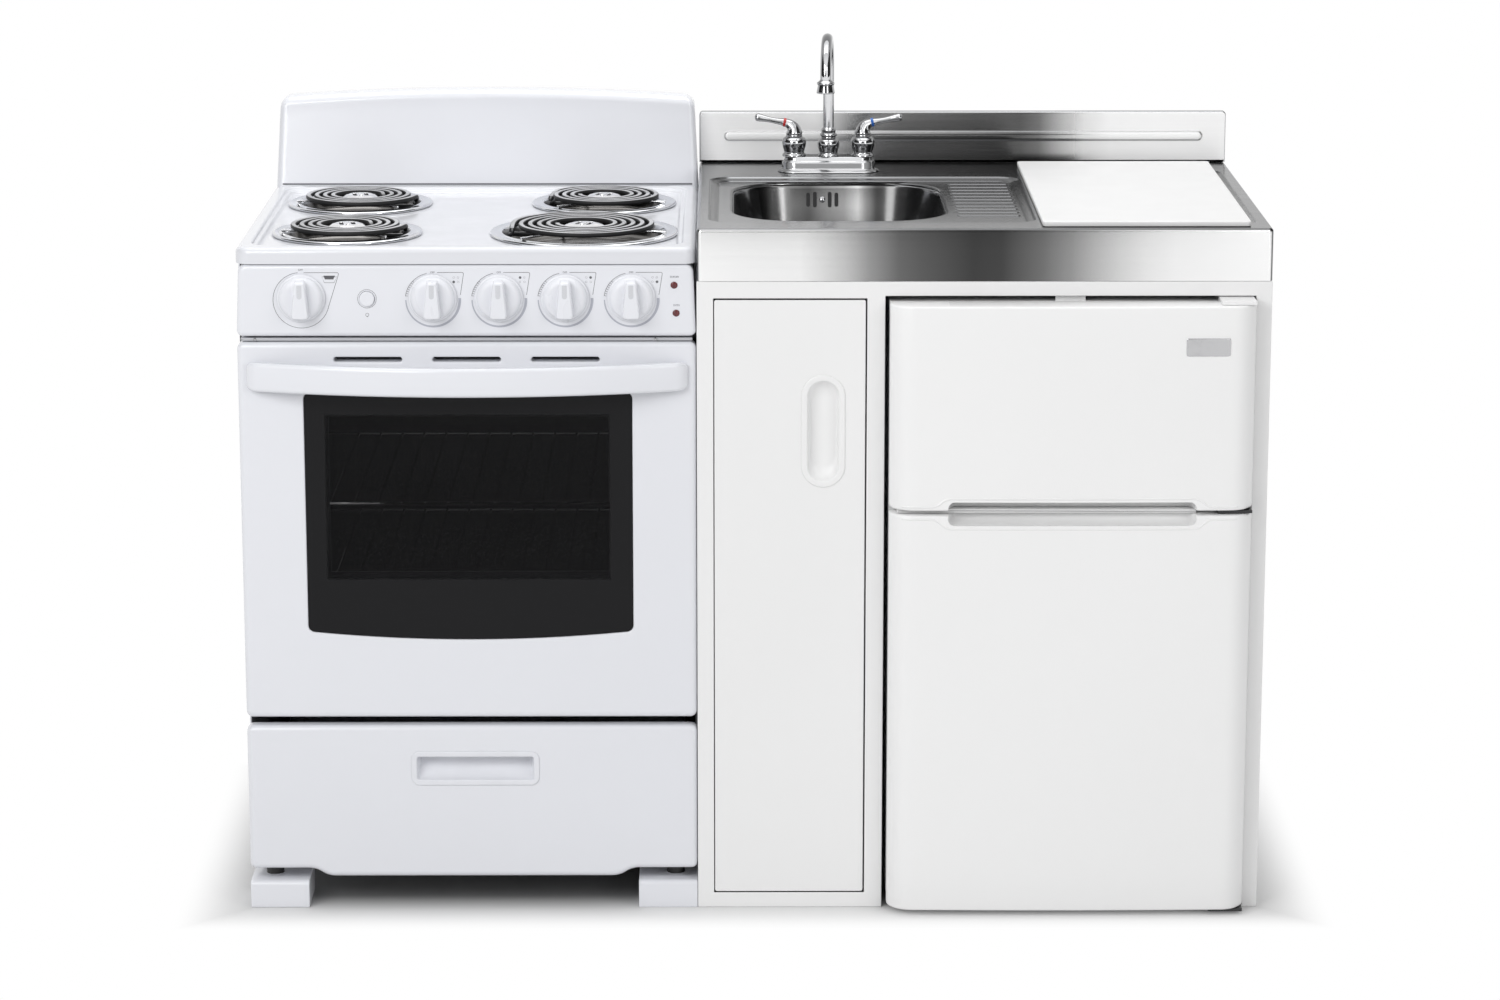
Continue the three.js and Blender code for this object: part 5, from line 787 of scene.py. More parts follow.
def window_outline(grow=0.0):
    """The oven window: a rounded rectangle whose lower edge sags by 11.3 mm times 1 - s squared,
    s from -1 to 1 across it."""
    x0, x1, z0, z1 = WINDOW
    low = np.stack([np.linspace(x0 + 8, x1 - 8, 34)[1:-1], np.full(32, z0 - grow)], axis=-1)
    r = max(8 + grow, 0.5)
    outline = np.vstack([
        arc(x0 + 8, z0 + 8, r, 180, 270, 6), low, arc(x1 - 8, z0 + 8, r, 270, 360, 6),
        arc(x1 - 8, z1 - 8, r, 0, 90, 6), arc(x0 + 8, z1 - 8, r, 90, 180, 6)])
    share = (outline[:, 0] - (x0 + x1) / 2) / ((x1 - x0) / 2)
    lower = np.clip((z0 + 12 - outline[:, 1]) / 12, 0, 1)
    outline[:, 1] -= 11.3 * np.maximum(0, 1 - share ** 2) * lower
    return outline


def oven_door_surface(edge):
    """A panel with rolled edges, the window's opening and three vent slots above the handle."""
    slots = [grown_box(x - VENT_WIDTH / 2, x + VENT_WIDTH / 2, VENT_BOTTOM,
                       VENT_BOTTOM + VENT_HEIGHT, VENT_HEIGHT / 2 - 0.02, 5) for x in VENT_MIDDLES]
    outline = rounded_box(0, RANGE_WIDTH, DOOR_BOTTOM, DOOR_TOP, edge + 2)
    return Surface().pierced(outline, "y", 0.0, 23.8, edge, [window_outline, *slots], 2.4, 1.4)


def handle_surface():
    """A wide flat bar bowed as 1 - s squared along the door: rounded rectangles across it, thinner
    and lower towards each end, where it meets the door."""
    end = 15 * (1 - np.cos(np.linspace(0.1, pi / 2, 14)))
    x = np.concatenate([12 + end, np.linspace(27, 583, 41)[1:-1], 598 - end[::-1]])
    share = (x - 305) / 293
    bow = 11 + 47 * (1 - share ** 2)
    from_end = np.minimum(np.minimum(x - 12, 598 - x), 15)
    tuck = 9 - 9 * np.sqrt(np.maximum(0, 1 - (1 - from_end / 15) ** 2))
    outer = -bow + tuck
    inner = np.minimum(-0.3, 14 - bow)
    section = rounded_box(-1, 1, -1, 1, 0.5, 6)
    middle, half = (outer + inner) / 2, np.maximum((inner - outer) / 2, 0.6)
    corner = np.minimum(5.5, half * 0.98)
    core = np.sign(section)
    bulge = (section - 0.5 * core) / 0.5
    y = middle[:, None] + core[:, 0] * (half - corner)[:, None] + bulge[:, 0] * corner[:, None]
    tall = 11 + 8.5 * (1 - (1 - from_end / 15) ** 2.6) ** 0.5
    z = core[:, 1] * (tall - corner)[:, None] + bulge[:, 1] * corner[:, None]
    x = np.broadcast_to(x[:, None], y.shape)
    return Surface().skin(np.stack([x, y, HANDLE_HEIGHT + z], axis=-1))


def drawer_surface(edge):
    """A pressed front whose lower edge steps down between the feet, with a hole for the pull, and
    a tray behind it."""
    corners = [(304.5, 43.7), (502.5, 43.7), (520, 55), (609, 55), (609, 257), (0, 257), (0, 55),
               (89, 55), (106.5, 43.7), (304.5, 43.7)]
    outline = rounded_path(corners, edge + 2.5, 6)[:-1]
    x0, x1, z0, z1 = DRAWER_PULL
    surface = Surface().pierced(outline, "y", 0, 19.8, edge,
                                [grown_box(x0 - 2, x1 + 2, z0 - 2, z1 + 2, 4, 6)], 1.0)
    tray = grown_box(20, 589, 20, 570, 6, 5)
    return surface.skin(terraced(tray, "z", [(0, 58.8), (0, 164.4), (-0.8, 165), (-1.7, 165),
                                             (-2.5, 164.4), (-2.5, 61.3)]))


def drawer_pull_surface():
    """A frame on the drawer's face and a cup behind it, whose floor rises towards the back as a
    power of the depth."""
    x0, x1, z0, z1 = DRAWER_PULL

    def ring(grow, y, depth=0.0):
        rise = 24.3 * depth ** 1.6
        return lifted(rounded_box(x0 - grow + 4 * depth, x1 + grow - 4 * depth, z0 - grow + rise,
                                  z1 + grow, max(3.4 + grow, 1.2), 6), "y", y)

    depths = np.linspace(0, 1, 9)
    outside = [ring(1.5, 23.9, 1.0)] + [ring(1.5, -0.3 + 24 * d, d) for d in depths[::-1]]
    rim = [ring(7.6, -0.3), ring(7.6, -0.9), ring(7.2, -1.4), ring(6.4, -1.6), ring(5.2, -1.6),
           ring(1.8, -1.6), ring(1.0, -1.5), ring(0.3, -1.0), ring(0, -0.2)]
    inside = [ring(0, 22.4 * d, d) for d in depths[1:]]
    return Surface().skin(outside + rim + inside)


def rack_surface(level):
    """A wire shelf: a bent frame with thirteen wires across it."""
    corners = [(304.5, 69), (556.5, 69), (556.5, 527), (52.5, 527), (52.5, 69), (304.5, 69)]
    path = lifted(rounded_path(corners, 14, 6), "z", level)
    surface = Surface().tube(path, 3.0, (0, 0, 1), sides=12)
    for i in range(13):
        wire = [(114.9 + 31.6 * i, y, level + 0.6) for y in (66.5, 300, 529.5)]
        surface.tube(wire, 2.0, (0, 0, 1), sides=8)
    return surface


def seam_shadow_surface():
    """A thin dark strip where the cooktop meets the backguard, 0.25 mm proud of its leaning face: a
    painted shadow along the seam.
    """
    levels = np.array([910.7, 913.1])
    face = BACKGUARD_FRONT + BACKGUARD_LEAN * (levels - BACKGUARD_FOOT) / BACKGUARD_RISE
    section = [(face[0] - 0.25, levels[0]), (face[1] - 0.25, levels[1]), (face[1] + 1, levels[1]),
               (face[0] + 1, levels[0])]
    return Surface().skin([[(x, *point) for point in section] for x in (9.5, RANGE_WIDTH - 9.5)])


def screws_surface(places, level, radius):
    """Pan-head screws in an upright plane, each turned about its axis."""
    surface = Surface()
    for x, z in places:
        surface.turned([(0, level), (radius, level), (radius, level - 0.7),
                        (radius * 0.8, level - 1.5), (0, level - 1.8)], x, z, "y", sides=20)
    return surface


# ---------------------------------------------------------------- the sink unit's shapes
WORKTOP_TOP, WORKTOP_BOTTOM = 936.0, 866.0
TRAY_FLOOR, TRAY_UNDERSIDE = 930.0, 926.9
BOWL = grown_box(48.5, 339, 106, 447, 88, 12)
LEFT_TRAY = grown_box(16, 453, 55, 459, 32, 12)
BOARD_TRAY = grown_box(461, 745, 40, 518, 20, 12)
BOWL_FLOOR, BOWL_UNDERSIDE = 850.0, 848.7
WASTE = (168.0, 276.0)
OVERFLOW, OVERFLOW_SLOPE = (0, 440.1, 906), -15.0  # the bowl's back wall there
FAUCET, DECK_PLATE_TOP = (185.0, 515.0), 952.5
BELL_SPACING = 49.0
BELL_FOOT, BELL_HEAD, SPOUT_FOOT = 958.0, 989.3, 986.6
LEVER_REACH = 0.9  # the arms' length as a share of their solids'
SPOUT_TURN = -3.6
SINK_DOOR = (22.3, 224.8, 22.2, 841.8)
DOOR_PULL = (139.0, 197.5, 587.0, 740.0)
COLD_DOORS = {"freezer_door": (565.0, 840.0), "fridge_door": (10.0, 558.5)}
COLD_DOOR_SIDES = (255.8, 740.0)
COLD_CORNER, COLD_FACE, COLD_BOW = 34.0, -47.0, 3.0
COLD_EDGE = 3.0
SCOOP = (333.5, 663.0, 545.0, 577.0)
SCOOP_DEPTH, SCOOP_EASE, SCOOP_CORNER = 26.0, 12.0, 10.0


def worktop_surface(nose):
    """One sheet: a fascia folded down all round, a rolled edge, two trays with eased slopes, the
    bowl's opening with a rolled lip in the left one, and rounded ribs beside the bowl."""
    outline = rounded_box(0, UNIT_WIDTH, 0, DEPTH, nose + 2, 12)
    rim = rolled(outline, "z", WORKTOP_TOP, WORKTOP_BOTTOM, nose)
    slope = [(2.6, 936), (1.4, 936), (0.6, 935.85), (-0.2, 935.4), (-1.2, 934.5), (-2.4, 933.6),
             (-4.0, 933.2), (-10.0, 931.6), (-11.2, 930.7), (-12.6, 930.1), (-14.0, 930)]
    left, right = terraced(LEFT_TRAY, "z", slope), terraced(BOARD_TRAY, "z", slope)
    surface = Surface().wall(rim)
    surface.flat([rim[-1][:, :2], left[0][:, :2], right[0][:, :2]], "z", WORKTOP_TOP)
    surface.wall(left).skin(right, ends=(False, True))
    lip = terraced(BOWL, "z", [(6.5, 930), (5.0, 930), (3.4, 929.85), (1.7, 929.4), (0.5, 928.5),
                               (0, 927.4), (0, TRAY_UNDERSIDE)])
    surface.flat([LEFT_TRAY(-14.0), BOWL(6.5)], "z", TRAY_FLOOR)
    surface.wall(lip)
    inner = drawn_in(outline, 3)
    surface.flat([inner, BOWL(0)], "z", TRAY_UNDERSIDE)
    surface.wall([lifted(inner, "z", TRAY_UNDERSIDE), lifted(inner, "z", WORKTOP_BOTTOM),
                  lifted(outline, "z", WORKTOP_BOTTOM)])
    for i in range(11):
        y = 146 + 28 * i
        rib = grown_box(350.5, 438, y - 7, y + 7, 5.5, 6)
        surface.skin(terraced(rib, "z", [(0.6, 929.9), (0, 930.05), (-0.8, 930.5), (-1.6, 931.1),
                                         (-2.5, 931.45), (-3.6, 931.6), (-4.6, 931.6)]))
    return surface


def sink_bowl_surface():
    """A basin of rounded rectangles that taper down, curve into the floor and dish to the waste;
    the wall has an outside 1.3 mm away, and a flange lies under the worktop."""
    inside = [(9, 926.6), (2, 926.6), (0, 926.5), (-1.0, 925.9), (-1.8, 924.6), (-2.6, 921),
              (-9, 897), (-15.4, 873.6), (-16.8, 867.6), (-19.2, 861.6), (-22.8, 856.6),
              (-27.6, 852.9), (-33, 850.9), (-38, 850.2), (-42, 850)]
    outside = [(-42, 848.7), (-38, 848.8), (-32.6, 849.6), (-26.8, 851.7), (-21.8, 855.6),
               (-18.0, 860.8), (-15.4, 867.2), (-14.0, 873.4), (-7.6, 897), (-1.2, 921),
               (-0.4, 924.4), (0.4, 925.3), (9, 925.3)]
    hole = circle(*WASTE, 36.5)
    surface = Surface().wall(terraced(BOWL, "z", outside + inside + outside[:1])[:-1])
    for level in (BOWL_FLOOR, BOWL_UNDERSIDE):
        surface.flat([BOWL(-42), hole], "z", level)
    return surface.wall([lifted(hole, "z", BOWL_FLOOR), lifted(hole, "z", BOWL_UNDERSIDE)])


def strainer_surface():
    """A basket turned about the waste's axis: a rolled rim, a tapered wall, a domed floor and a
    knob on a stem."""
    return Surface().turned([
        (33.0, 850.35), (34.0, 850.8), (33.6, 851.6), (31.5, 851.8), (29.2, 851.0), (27.4, 848.6),
        (26.6, 845.0), (25.4, 834.0), (23.6, 828.6), (20.0, 826.2), (12.0, 825.4), (4.2, 825.4),
        (3.4, 828), (3.2, 839), (4.4, 842), (6.8, 844), (7.4, 846.6), (6.4, 848.6), (3.4, 849.6),
        (0, 849.8)], *WASTE, sides=72)


def overflow_surface():
    """Four upright slots, as thin dark plates on the bowl's sloping back wall: painted shade in
    place of the openings.
    """
    surface = Surface()
    for x, tall in ((155, 20), (164.5, 22), (185.5, 22), (195, 20)):
        surface.plate(rounded_box(x - 2.7, x + 2.7, -tall / 2, tall / 2, 2.6, 5), "y", -0.25, 0.4,
                      0.2, 0.1)
    return surface.moved(turn_about("x", OVERFLOW_SLOPE), OVERFLOW)


def overflow_screw_surface():
    """The screw between the slots."""
    return screws_surface([(175, 0)], 0.2, 4.4).moved(turn_about("x", OVERFLOW_SLOPE), OVERFLOW)


def splashback_surface(edge):
    """An upright sheet with its top edge rolled and a half-round rib pressed out along it."""
    surface = Surface().plate(rounded_box(0, UNIT_WIDTH, 936.3, 1010, (0.6, 0.6, 5, 5), 6), "y",
                              595, 609.8, edge, 1.0)
    rib = grown_box(36, 728, 968, 982, 6.95, 10)
    return surface.skin(terraced(rib, "y", [(0.9, 595.2), (0.9, 594.9), (0, 594.5), (-1.0, 593.6),
                                            (-2.2, 592.8), (-3.8, 592.25), (-5.6, 592.02),
                                            (-6.8, 592)]))


def faucet_base_surface():
    """A long oval deck plate in two steps, and on it three bells turned about upright axes: a
    foot, a waist, a bulb and a collar."""
    x, y = FAUCET
    plate = grown_box(x - 72.5, x + 72.5, y - 27.5, y + 27.5, 27.3, 12)
    surface = Surface().skin(terraced(plate, "z", [
        (-0.4, 936.35), (0, 936.7), (-0.2, 937.6), (-1.6, 938.8), (-4.2, 939.7), (-5.6, 940.9),
        (-6.1, 943), (-6.3, 949.4), (-6.9, 951.0), (-8.2, 952.1), (-9.2, 952.6), (-9.6, 953.6),
        (-9.9, 956.2), (-10.7, 957.6), (-12.2, 958.2), (-14.5, 958.3)]))
    bell = [(0, 957.8), (17.6, 958.0), (17.7, 959.4), (17.2, 960.6), (15.4, 961.8), (14.9, 963.6),
            (15.6, 966.8), (17.2, 971.4), (18.0, 976.2), (17.8, 980.0), (16.4, 983.2),
            (13.6, 985.2), (11.8, 985.9), (12.0, 986.8), (12.0, 988.4), (11.4, 989.1), (0, 989.3)]
    for middle, width, head in ((x - BELL_SPACING, 17.4 / 18, BELL_HEAD),
                                (x + BELL_SPACING, 17.4 / 18, BELL_HEAD),
                                (x, 15.8 / 18, SPOUT_FOOT - 0.3)):
        height = (head - BELL_FOOT) / (BELL_HEAD - BELL_FOOT)
        surface.turned([(reach * width, BELL_FOOT + (level - BELL_FOOT) * height)
                        for reach, level in bell], middle, y)
    return surface


def lever_route():
    """The lever's bend in its own upright plane: out from the axis, up, and the radius there."""
    bend = np.array([
        (0, 989.6, 11.6), (0, 990.8, 11.9), (0.1, 992.6, 11.2), (0.6, 995, 10.2), (1.8, 998, 9.3),
        (4.2, 1001, 8.2), (7.6, 1003.4, 7.1), (11.4, 1004.9, 6.2), (15.5, 1005.9, 5.6),
        (20, 1006.7, 5.0), (26, 1007.6, 4.4), (33, 1008.7, 4.1), (41, 1010.2, 4.2),
        (48, 1011.6, 4.8), (53.5, 1012.5, 5.5), (57.5, 1013.1, 5.7), (60.2, 1013.4, 5.0),
        (61.8, 1013.6, 3.4), (62.4, 1013.6, 1.2)])
    return bend * (LEVER_REACH, 1, 1)


def lever_surface(side):
    """A tube along the lever's bend: a wide neck at its bell, a slim arm and a bulb at the tip."""
    route = lever_route()
    x = FAUCET[0] + side * (BELL_SPACING + route[:, 0])
    path = np.stack([x, np.full(len(x), FAUCET[1]), route[:, 1]], axis=-1)
    return Surface().tube(path, route[:, 2], (0, 1, 0), sides=36)


def lever_ring_surface(side):
    """A coloured band round the arm, square to its bend."""
    route, places = lever_route(), np.array([12.1, 13.9, 15.7])
    level = np.interp(places, route[:, 0], route[:, 1])
    x = FAUCET[0] + side * (BELL_SPACING + places)
    path = np.stack([x, np.full(3, FAUCET[1]), level], axis=-1)
    return Surface().tube(path, (6.35, 6.2, 5.9), (0, 1, 0), sides=36)


def spout_surface():
    """A round tube that rises, turns over in a half circle and ends in a flared nozzle with a
    bead above it; a collar is turned round its foot."""
    foot, centre, r = SPOUT_FOOT, SPOUT_FOOT + 94.4, 50.0
    turn = np.linspace(0, pi, 49)
    arch = np.stack([0 * turn, -r + r * np.cos(turn), centre + r * np.sin(turn)], axis=-1)
    path = np.vstack([[(0, 0, foot), (0, 0, foot + 30), (0, 0, centre - 12)], arch,
                      [(0, -2 * r, centre - 5), (0, -2 * r, centre - 12)]])
    surface = Surface().tube(path, 7.75, (1, 0, 0), sides=40)
    collar = [(0, 0), (11.7, 0), (12.1, 0.8), (12.1, 2.6), (11.2, 3.6), (10.2, 4.2), (10.0, 7.2),
              (10.6, 8), (10.4, 9.4), (9.0, 10.8), (7.9, 12.4), (7.4, 13)]
    surface.turned([(reach, foot + up) for reach, up in collar], 0, 0, sides=48)
    nozzle = [(0, 1.4), (9.6, 1.4), (10.2, 0), (12.6, 0), (13.0, 0.8), (12.7, 2.2), (11.2, 10.2),
              (11.1, 11.6), (12.1, 12.4), (12.5, 13.8), (12.0, 15.2), (10.0, 16.4), (8.4, 18.0),
              (7.5, 20)]
    surface.turned([(reach, centre - 20 + up) for reach, up in nozzle], 0, -2 * r, sides=48)
    return surface.moved(turn_about("z", SPOUT_TURN), (*FAUCET, 0))


def sink_door_surface(edge):
    """A flat door with eased edges and an oval hole for the pull, drawn a little smaller than its
    solid so that its gap shows."""
    x0, x1, z0, z1 = DOOR_PULL
    hole = grown_box(x0 + 6, x1 - 6, z0 + 6, z1 - 6, 23.2, 10)
    a, b, c, d = SINK_DOOR
    return Surface().pierced(rounded_box(a + 0.9, b - 0.6, c + 0.3, d - 0.9, edge + 1.5, 5), "y", 0,
                             17.9, edge, [hole], 0.6, 0.8)


def door_pull_surface():
    """An oval rim and a cup: its long walls are steep, and its ends slope in as an eased step."""
    x0, x1, z0, z1 = DOOR_PULL

    def ring(inset, y, end=0.0):
        left, right = x0 + inset, x1 - inset
        return lifted(rounded_box(left, right, z0 + inset + end, z1 - inset - end,
                                  (right - left) / 2 - 0.05, 12), "y", y)

    depth = np.linspace(0, 1, 9)
    wall = [ring(8.5 + 4 * d ** 1.5, 12.6 * np.sin(d * pi / 2), 18 * d ** 1.5) for d in depth]
    back = [ring(7.2 + 4 * d ** 1.5, 1.3 + 12.6 * np.sin(d * pi / 2), 18 * d ** 1.5) for d in depth]
    rim = [ring(7.2, -0.3), ring(0, -0.3), ring(0, -0.8), ring(0.5, -1.3), ring(1.4, -1.6),
           ring(2.6, -1.6), ring(6.2, -1.6), ring(7.2, -1.5), ring(8.0, -1.0)]
    return Surface().skin([ring(16, 13.9, 18), *back[::-1], *rim, *wall, ring(16, 12.6, 18)])


def cold_door_front(x):
    """The door's face in plan: a shallow bow as 1 - s squared between the round corners."""
    x0, x1 = COLD_DOOR_SIDES
    share = (x - (x0 + x1) / 2) / ((x1 - x0) / 2 - COLD_CORNER)
    return COLD_FACE - COLD_BOW * np.clip(1 - share ** 2, 0, 1)


def cold_door_plan(x):
    """The face with its round corners: the bow, and quarter circles at both sides."""
    x0, x1 = COLD_DOOR_SIDES
    return cold_door_front(x) + edge_fall(np.minimum(x - x0, x1 - x), COLD_CORNER)


def cold_door_surface(low, high, scoop_low):
    """Plan outlines stacked up the door, drawn in at both ends in quarter circles. Where the hand
    goes in, the face sinks by the scoop's depth times the root of 1 - (1 - t) squared, where t is
    how far a point lies inside a rectangle with rounded corners, as a share of the scoop's ease."""
    x0, x1 = COLD_DOOR_SIDES
    s0, s1, z0, z1 = SCOOP
    ease = 13 * eased(18)
    marks = np.unique(np.round(np.concatenate([
        np.linspace(x0 + COLD_CORNER, s0 - 2, 5), s0 + ease, np.linspace(s0 + 13, s1 - 13, 15),
        s1 - ease, np.linspace(s1 + 2, x1 - COLD_CORNER, 4)]), 4))[1:-1]
    centre = COLD_FACE + COLD_CORNER
    plan = np.vstack([arc(x0 + COLD_CORNER, centre, COLD_CORNER, 180, 270, 14),
                      np.stack([marks, cold_door_front(marks)], axis=-1),
                      arc(x1 - COLD_CORNER, centre, COLD_CORNER, 270, 360, 14),
                      [(x1, -9), (x1, -5), (x1 - 1, -4), ((x0 + x1) / 2, -4), (x0 + 1, -4),
                       (x0, -5), (x0, -9)]])
    bent, edge = eased(16), COLD_EDGE * eased(5)
    if scoop_low:
        rim, gap = z0, high
        levels = np.concatenate([low + edge, np.linspace(low + COLD_EDGE, rim - 2, 10)[1:],
                                 (rim + (gap - rim) * bent)[:-1],
                                 [high - 0.8, high - 0.2, high]])
    else:
        rim, gap = z1, low
        levels = np.concatenate([[low, low + 0.2, low + 0.8], (rim + (gap - rim) * bent)[-2::-1],
                                 np.linspace(rim + 2, high - COLD_EDGE, 8),
                                 (high - edge)[-2::-1]])
    inset = edge_fall(np.minimum(levels - low, high - levels), COLD_EDGE)
    rings = np.stack([lifted(drawn_in(plan, d), "z", level) for d, level in zip(inset, levels)])
    x = rings[:, :, 0]
    side = np.minimum(x - s0, s1 - x)
    up = np.broadcast_to(((levels - rim) * np.sign(gap - rim))[:, None], x.shape)
    corner = SCOOP_CORNER - np.hypot(np.minimum(side - SCOOP_CORNER, 0),
                                     np.minimum(up - SCOOP_CORNER, 0))
    inside = np.where((side < SCOOP_CORNER) & (up < SCOOP_CORNER), corner, np.minimum(side, up))
    t = np.clip(inside / SCOOP_EASE, 0, 1) * (side > 0) * (up > 0)
    rings[:, :, 1] += SCOOP_DEPTH * np.sqrt(1 - (1 - t) ** 2) * (rings[:, :, 1] < -20)
    return Surface().skin(rings)


def scoop_trim_surface(low, high, scoop_low):
    """The door's end cap: a lip along the gap, its line bent out round the scoop at a slant. Rings
    follow that line on the bowed face with a low rounded section."""
    s0, s1, z0, z1 = SCOOP
    x0, x1 = COLD_DOOR_SIDES
    away = -1 if scoop_low else 1
    gap, rim = (high, z0) if scoop_low else (low, z1)
    corners = [(x0 + 16, gap + away * 5), (s0 - 17, gap + away * 5), (s0 - 2, rim + away * 4.5),
               (s1 + 2, rim + away * 4.5), (s1 + 17, gap + away * 5), (x1 - 16, gap + away * 5)]
    line = rounded_path(corners, 7, 6)
    line = np.vstack([np.linspace(a, b, 6, endpoint=False) for a, b in zip(line, line[1:])])
    side = leftward(np.gradient(line, axis=0))
    section = np.array([(-1.5, 0.5), (-1.5, -0.2), (-0.9, -0.6), (0, -0.8), (0.9, -0.6),
                        (1.5, -0.2), (1.5, 0.5)])
    place = line[:, None, :] + section[None, :, :1] * side[:, None, :]
    y = cold_door_plan(place[:, :, 0]) + section[None, :, 1]
    return Surface().skin(np.stack([place[:, :, 0], y, place[:, :, 1]], axis=-1))


def gasket_surface(low, high):
    """A soft frame behind the door, folded out and in again like a bellows."""
    x0, x1 = COLD_DOOR_SIDES
    outline = grown_box(x0 + 13, x1 - 24, low + 13, high - 13, 6, 5)
    outside = [(-0.4, -4), (0, -2), (-1.2, 0), (-0.2, 2), (-0.2, 5.6), (-0.8, 7.2), (-2, 7.7)]
    inside = [(-10, 7.7), (-11.2, 7.2), (-11.8, 5.6), (-11.8, 2), (-10.8, 0), (-12, -2),
              (-11.6, -4)]
    return Surface().skin(terraced(outline, "y", outside + inside))


def face_plate_surface(x0, x1, z0, z1, proud, radius):
    """A thin bare plate that follows the bowed face of a cold door."""
    outline = grown_box(x0, x1, z0, z1, radius, 4)
    rings = np.stack(terraced(outline, "y", [(0, 0.8), (0, -proud + 0.5), (-0.5, -proud + 0.1),
                                             (-1.2, -proud)]))
    rings[:, :, 1] += cold_door_front(rings[:, :, 0])
    return Surface().skin(rings)


def cutting_board_surface(edge):
    """A flat board with round corners and both faces' edges eased."""
    outline = rounded_box(458, 734, 15, 560, edge + 4, 6)
    back = [(edge * 0.7, 936.35), (edge * 0.25, 936.7), (0, 937.6)]
    rings = [lifted(drawn_in(outline, d), "z", level) for d, level in back]
    return Surface().skin(rings + rolled(outline, "z", 943.3, 940.5, edge)[1:])


# ---------------------------------------------------------------- finishes
def enamel(name, colour):
    """Stove enamel: a smooth glaze with a faint ripple, slow drifts in tone and duller rubbed
    patches."""
    sheet = Sheet(name, Coat_Weight=0.35, Coat_Roughness=0.06)
    drift = sheet.noise(2.3, detail=3).span(0.3, 0.7)
    rubbed = sheet.noise(14, detail=5, roughness=0.6).span(0.35, 0.8)
    sheet.set(Base_Color=sheet.mix(drift, tint(colour, 0.985), colour),
              Roughness=0.2 + rubbed * 0.08,
              Normal=sheet.bump(sheet.noise(170, detail=2), 0.00008, 0.35))


def chrome(name, colour, smudge=0.05):
    """Bright plating with soft smudges and a barely uneven surface."""
    sheet = Sheet(name, Metallic=1.0)
    haze = sheet.noise(38, detail=4, roughness=0.6).span(0.4, 0.8)
    sheet.set(Base_Color=sheet.mix(haze, colour, tint(colour, 0.93)),
              Roughness=0.055 + haze * smudge,
              Normal=sheet.bump(sheet.noise(90, detail=1), 0.00006, 0.25))


def faucet_plating(name, colour):
    """The faucet's chrome with painted reflection and shade: its colour is bright where it looks
    forward and a painted darker tone where it looks up or aside, and the front of its deck plate is
    less metallic, which paints it lighter; with soft smudges."""
    sheet = Sheet(name, Metallic=1.0)
    haze = sheet.noise(38, detail=4, roughness=0.6).span(0.4, 0.8)
    # Painted reflection and shade: forward faces keep the bright colour, faces that look up or
    # aside get a painted darker tone, and the deck plate's front is half non-metallic so it shows
    # lighter.
    forward = (0 - sheet.facing("Y")).span(0.5, 0.97)
    painted_shade_tone = sheet.mix(sheet.facing("Z").span(0.2, 0.8), tint(colour, 0.5), tint(colour, 0.25))
    deck = forward * (sheet.axis("Z") < DECK_PLATE_TOP * MM)
    sheet.set(Base_Color=sheet.mix(forward, painted_shade_tone, colour), Metallic=1 - deck * 0.5,
              Roughness=0.06 + haze * 0.05,
              Normal=sheet.bump(sheet.noise(90, detail=1), 0.00006, 0.25))


def wall_shaded_chrome(name, colour):
    """The bowls' plating: bright on the rim, with painted shade darkening it down the wall, and
    dulled by small spots on the floor."""
    sheet = Sheet(name, Metallic=1.0)
    # Painted shade: below the rim the plating's colour is darkened down the bowl's wall.
    low = 1 - sheet.axis("Z").span(0.896, 0.9055)
    wall_shade = sheet.mix(low, colour, (0.15, 0.145, 0.14))
    spots = sheet.cells(420).span(0.0, 0.3)
    haze = sheet.noise(45, detail=4).span(0.45, 0.8)
    sheet.set(Base_Color=sheet.mix((1 - spots) * low * 0.4, wall_shade, (0.08, 0.075, 0.07)),
              Roughness=0.07 + haze * 0.05 + low * 0.1,
              Normal=sheet.bump(sheet.noise(120, detail=2), 0.00008, 0.3))


def heating_tube(name, dark, light):
    """A sheathed element: near black at its sides and a light grey on the flattened top, partly
    wear and partly a painted highlight on the faces that look up, with a grainy scale all over."""
    sheet = Sheet(name, Metallic=0.35)
    grain = sheet.noise(900, detail=3, roughness=0.7).span(0.3, 0.75)
    patches = sheet.noise(30, detail=3).span(0.3, 0.7)
    upward = sheet.facing("Z").span(0.72, 0.98)
    # Partly wear and partly a painted highlight: faces that look up are painted the light grey.
    wear_and_highlight = upward * (0.65 + patches * 0.35)
    sheet.set(Base_Color=sheet.mix(wear_and_highlight, dark, sheet.mix(grain, tint(light, 0.72), light)),
              Roughness=0.5 - wear_and_highlight * 0.14 + grain * 0.08,
              Normal=sheet.bump(grain, 0.00012, 0.5))


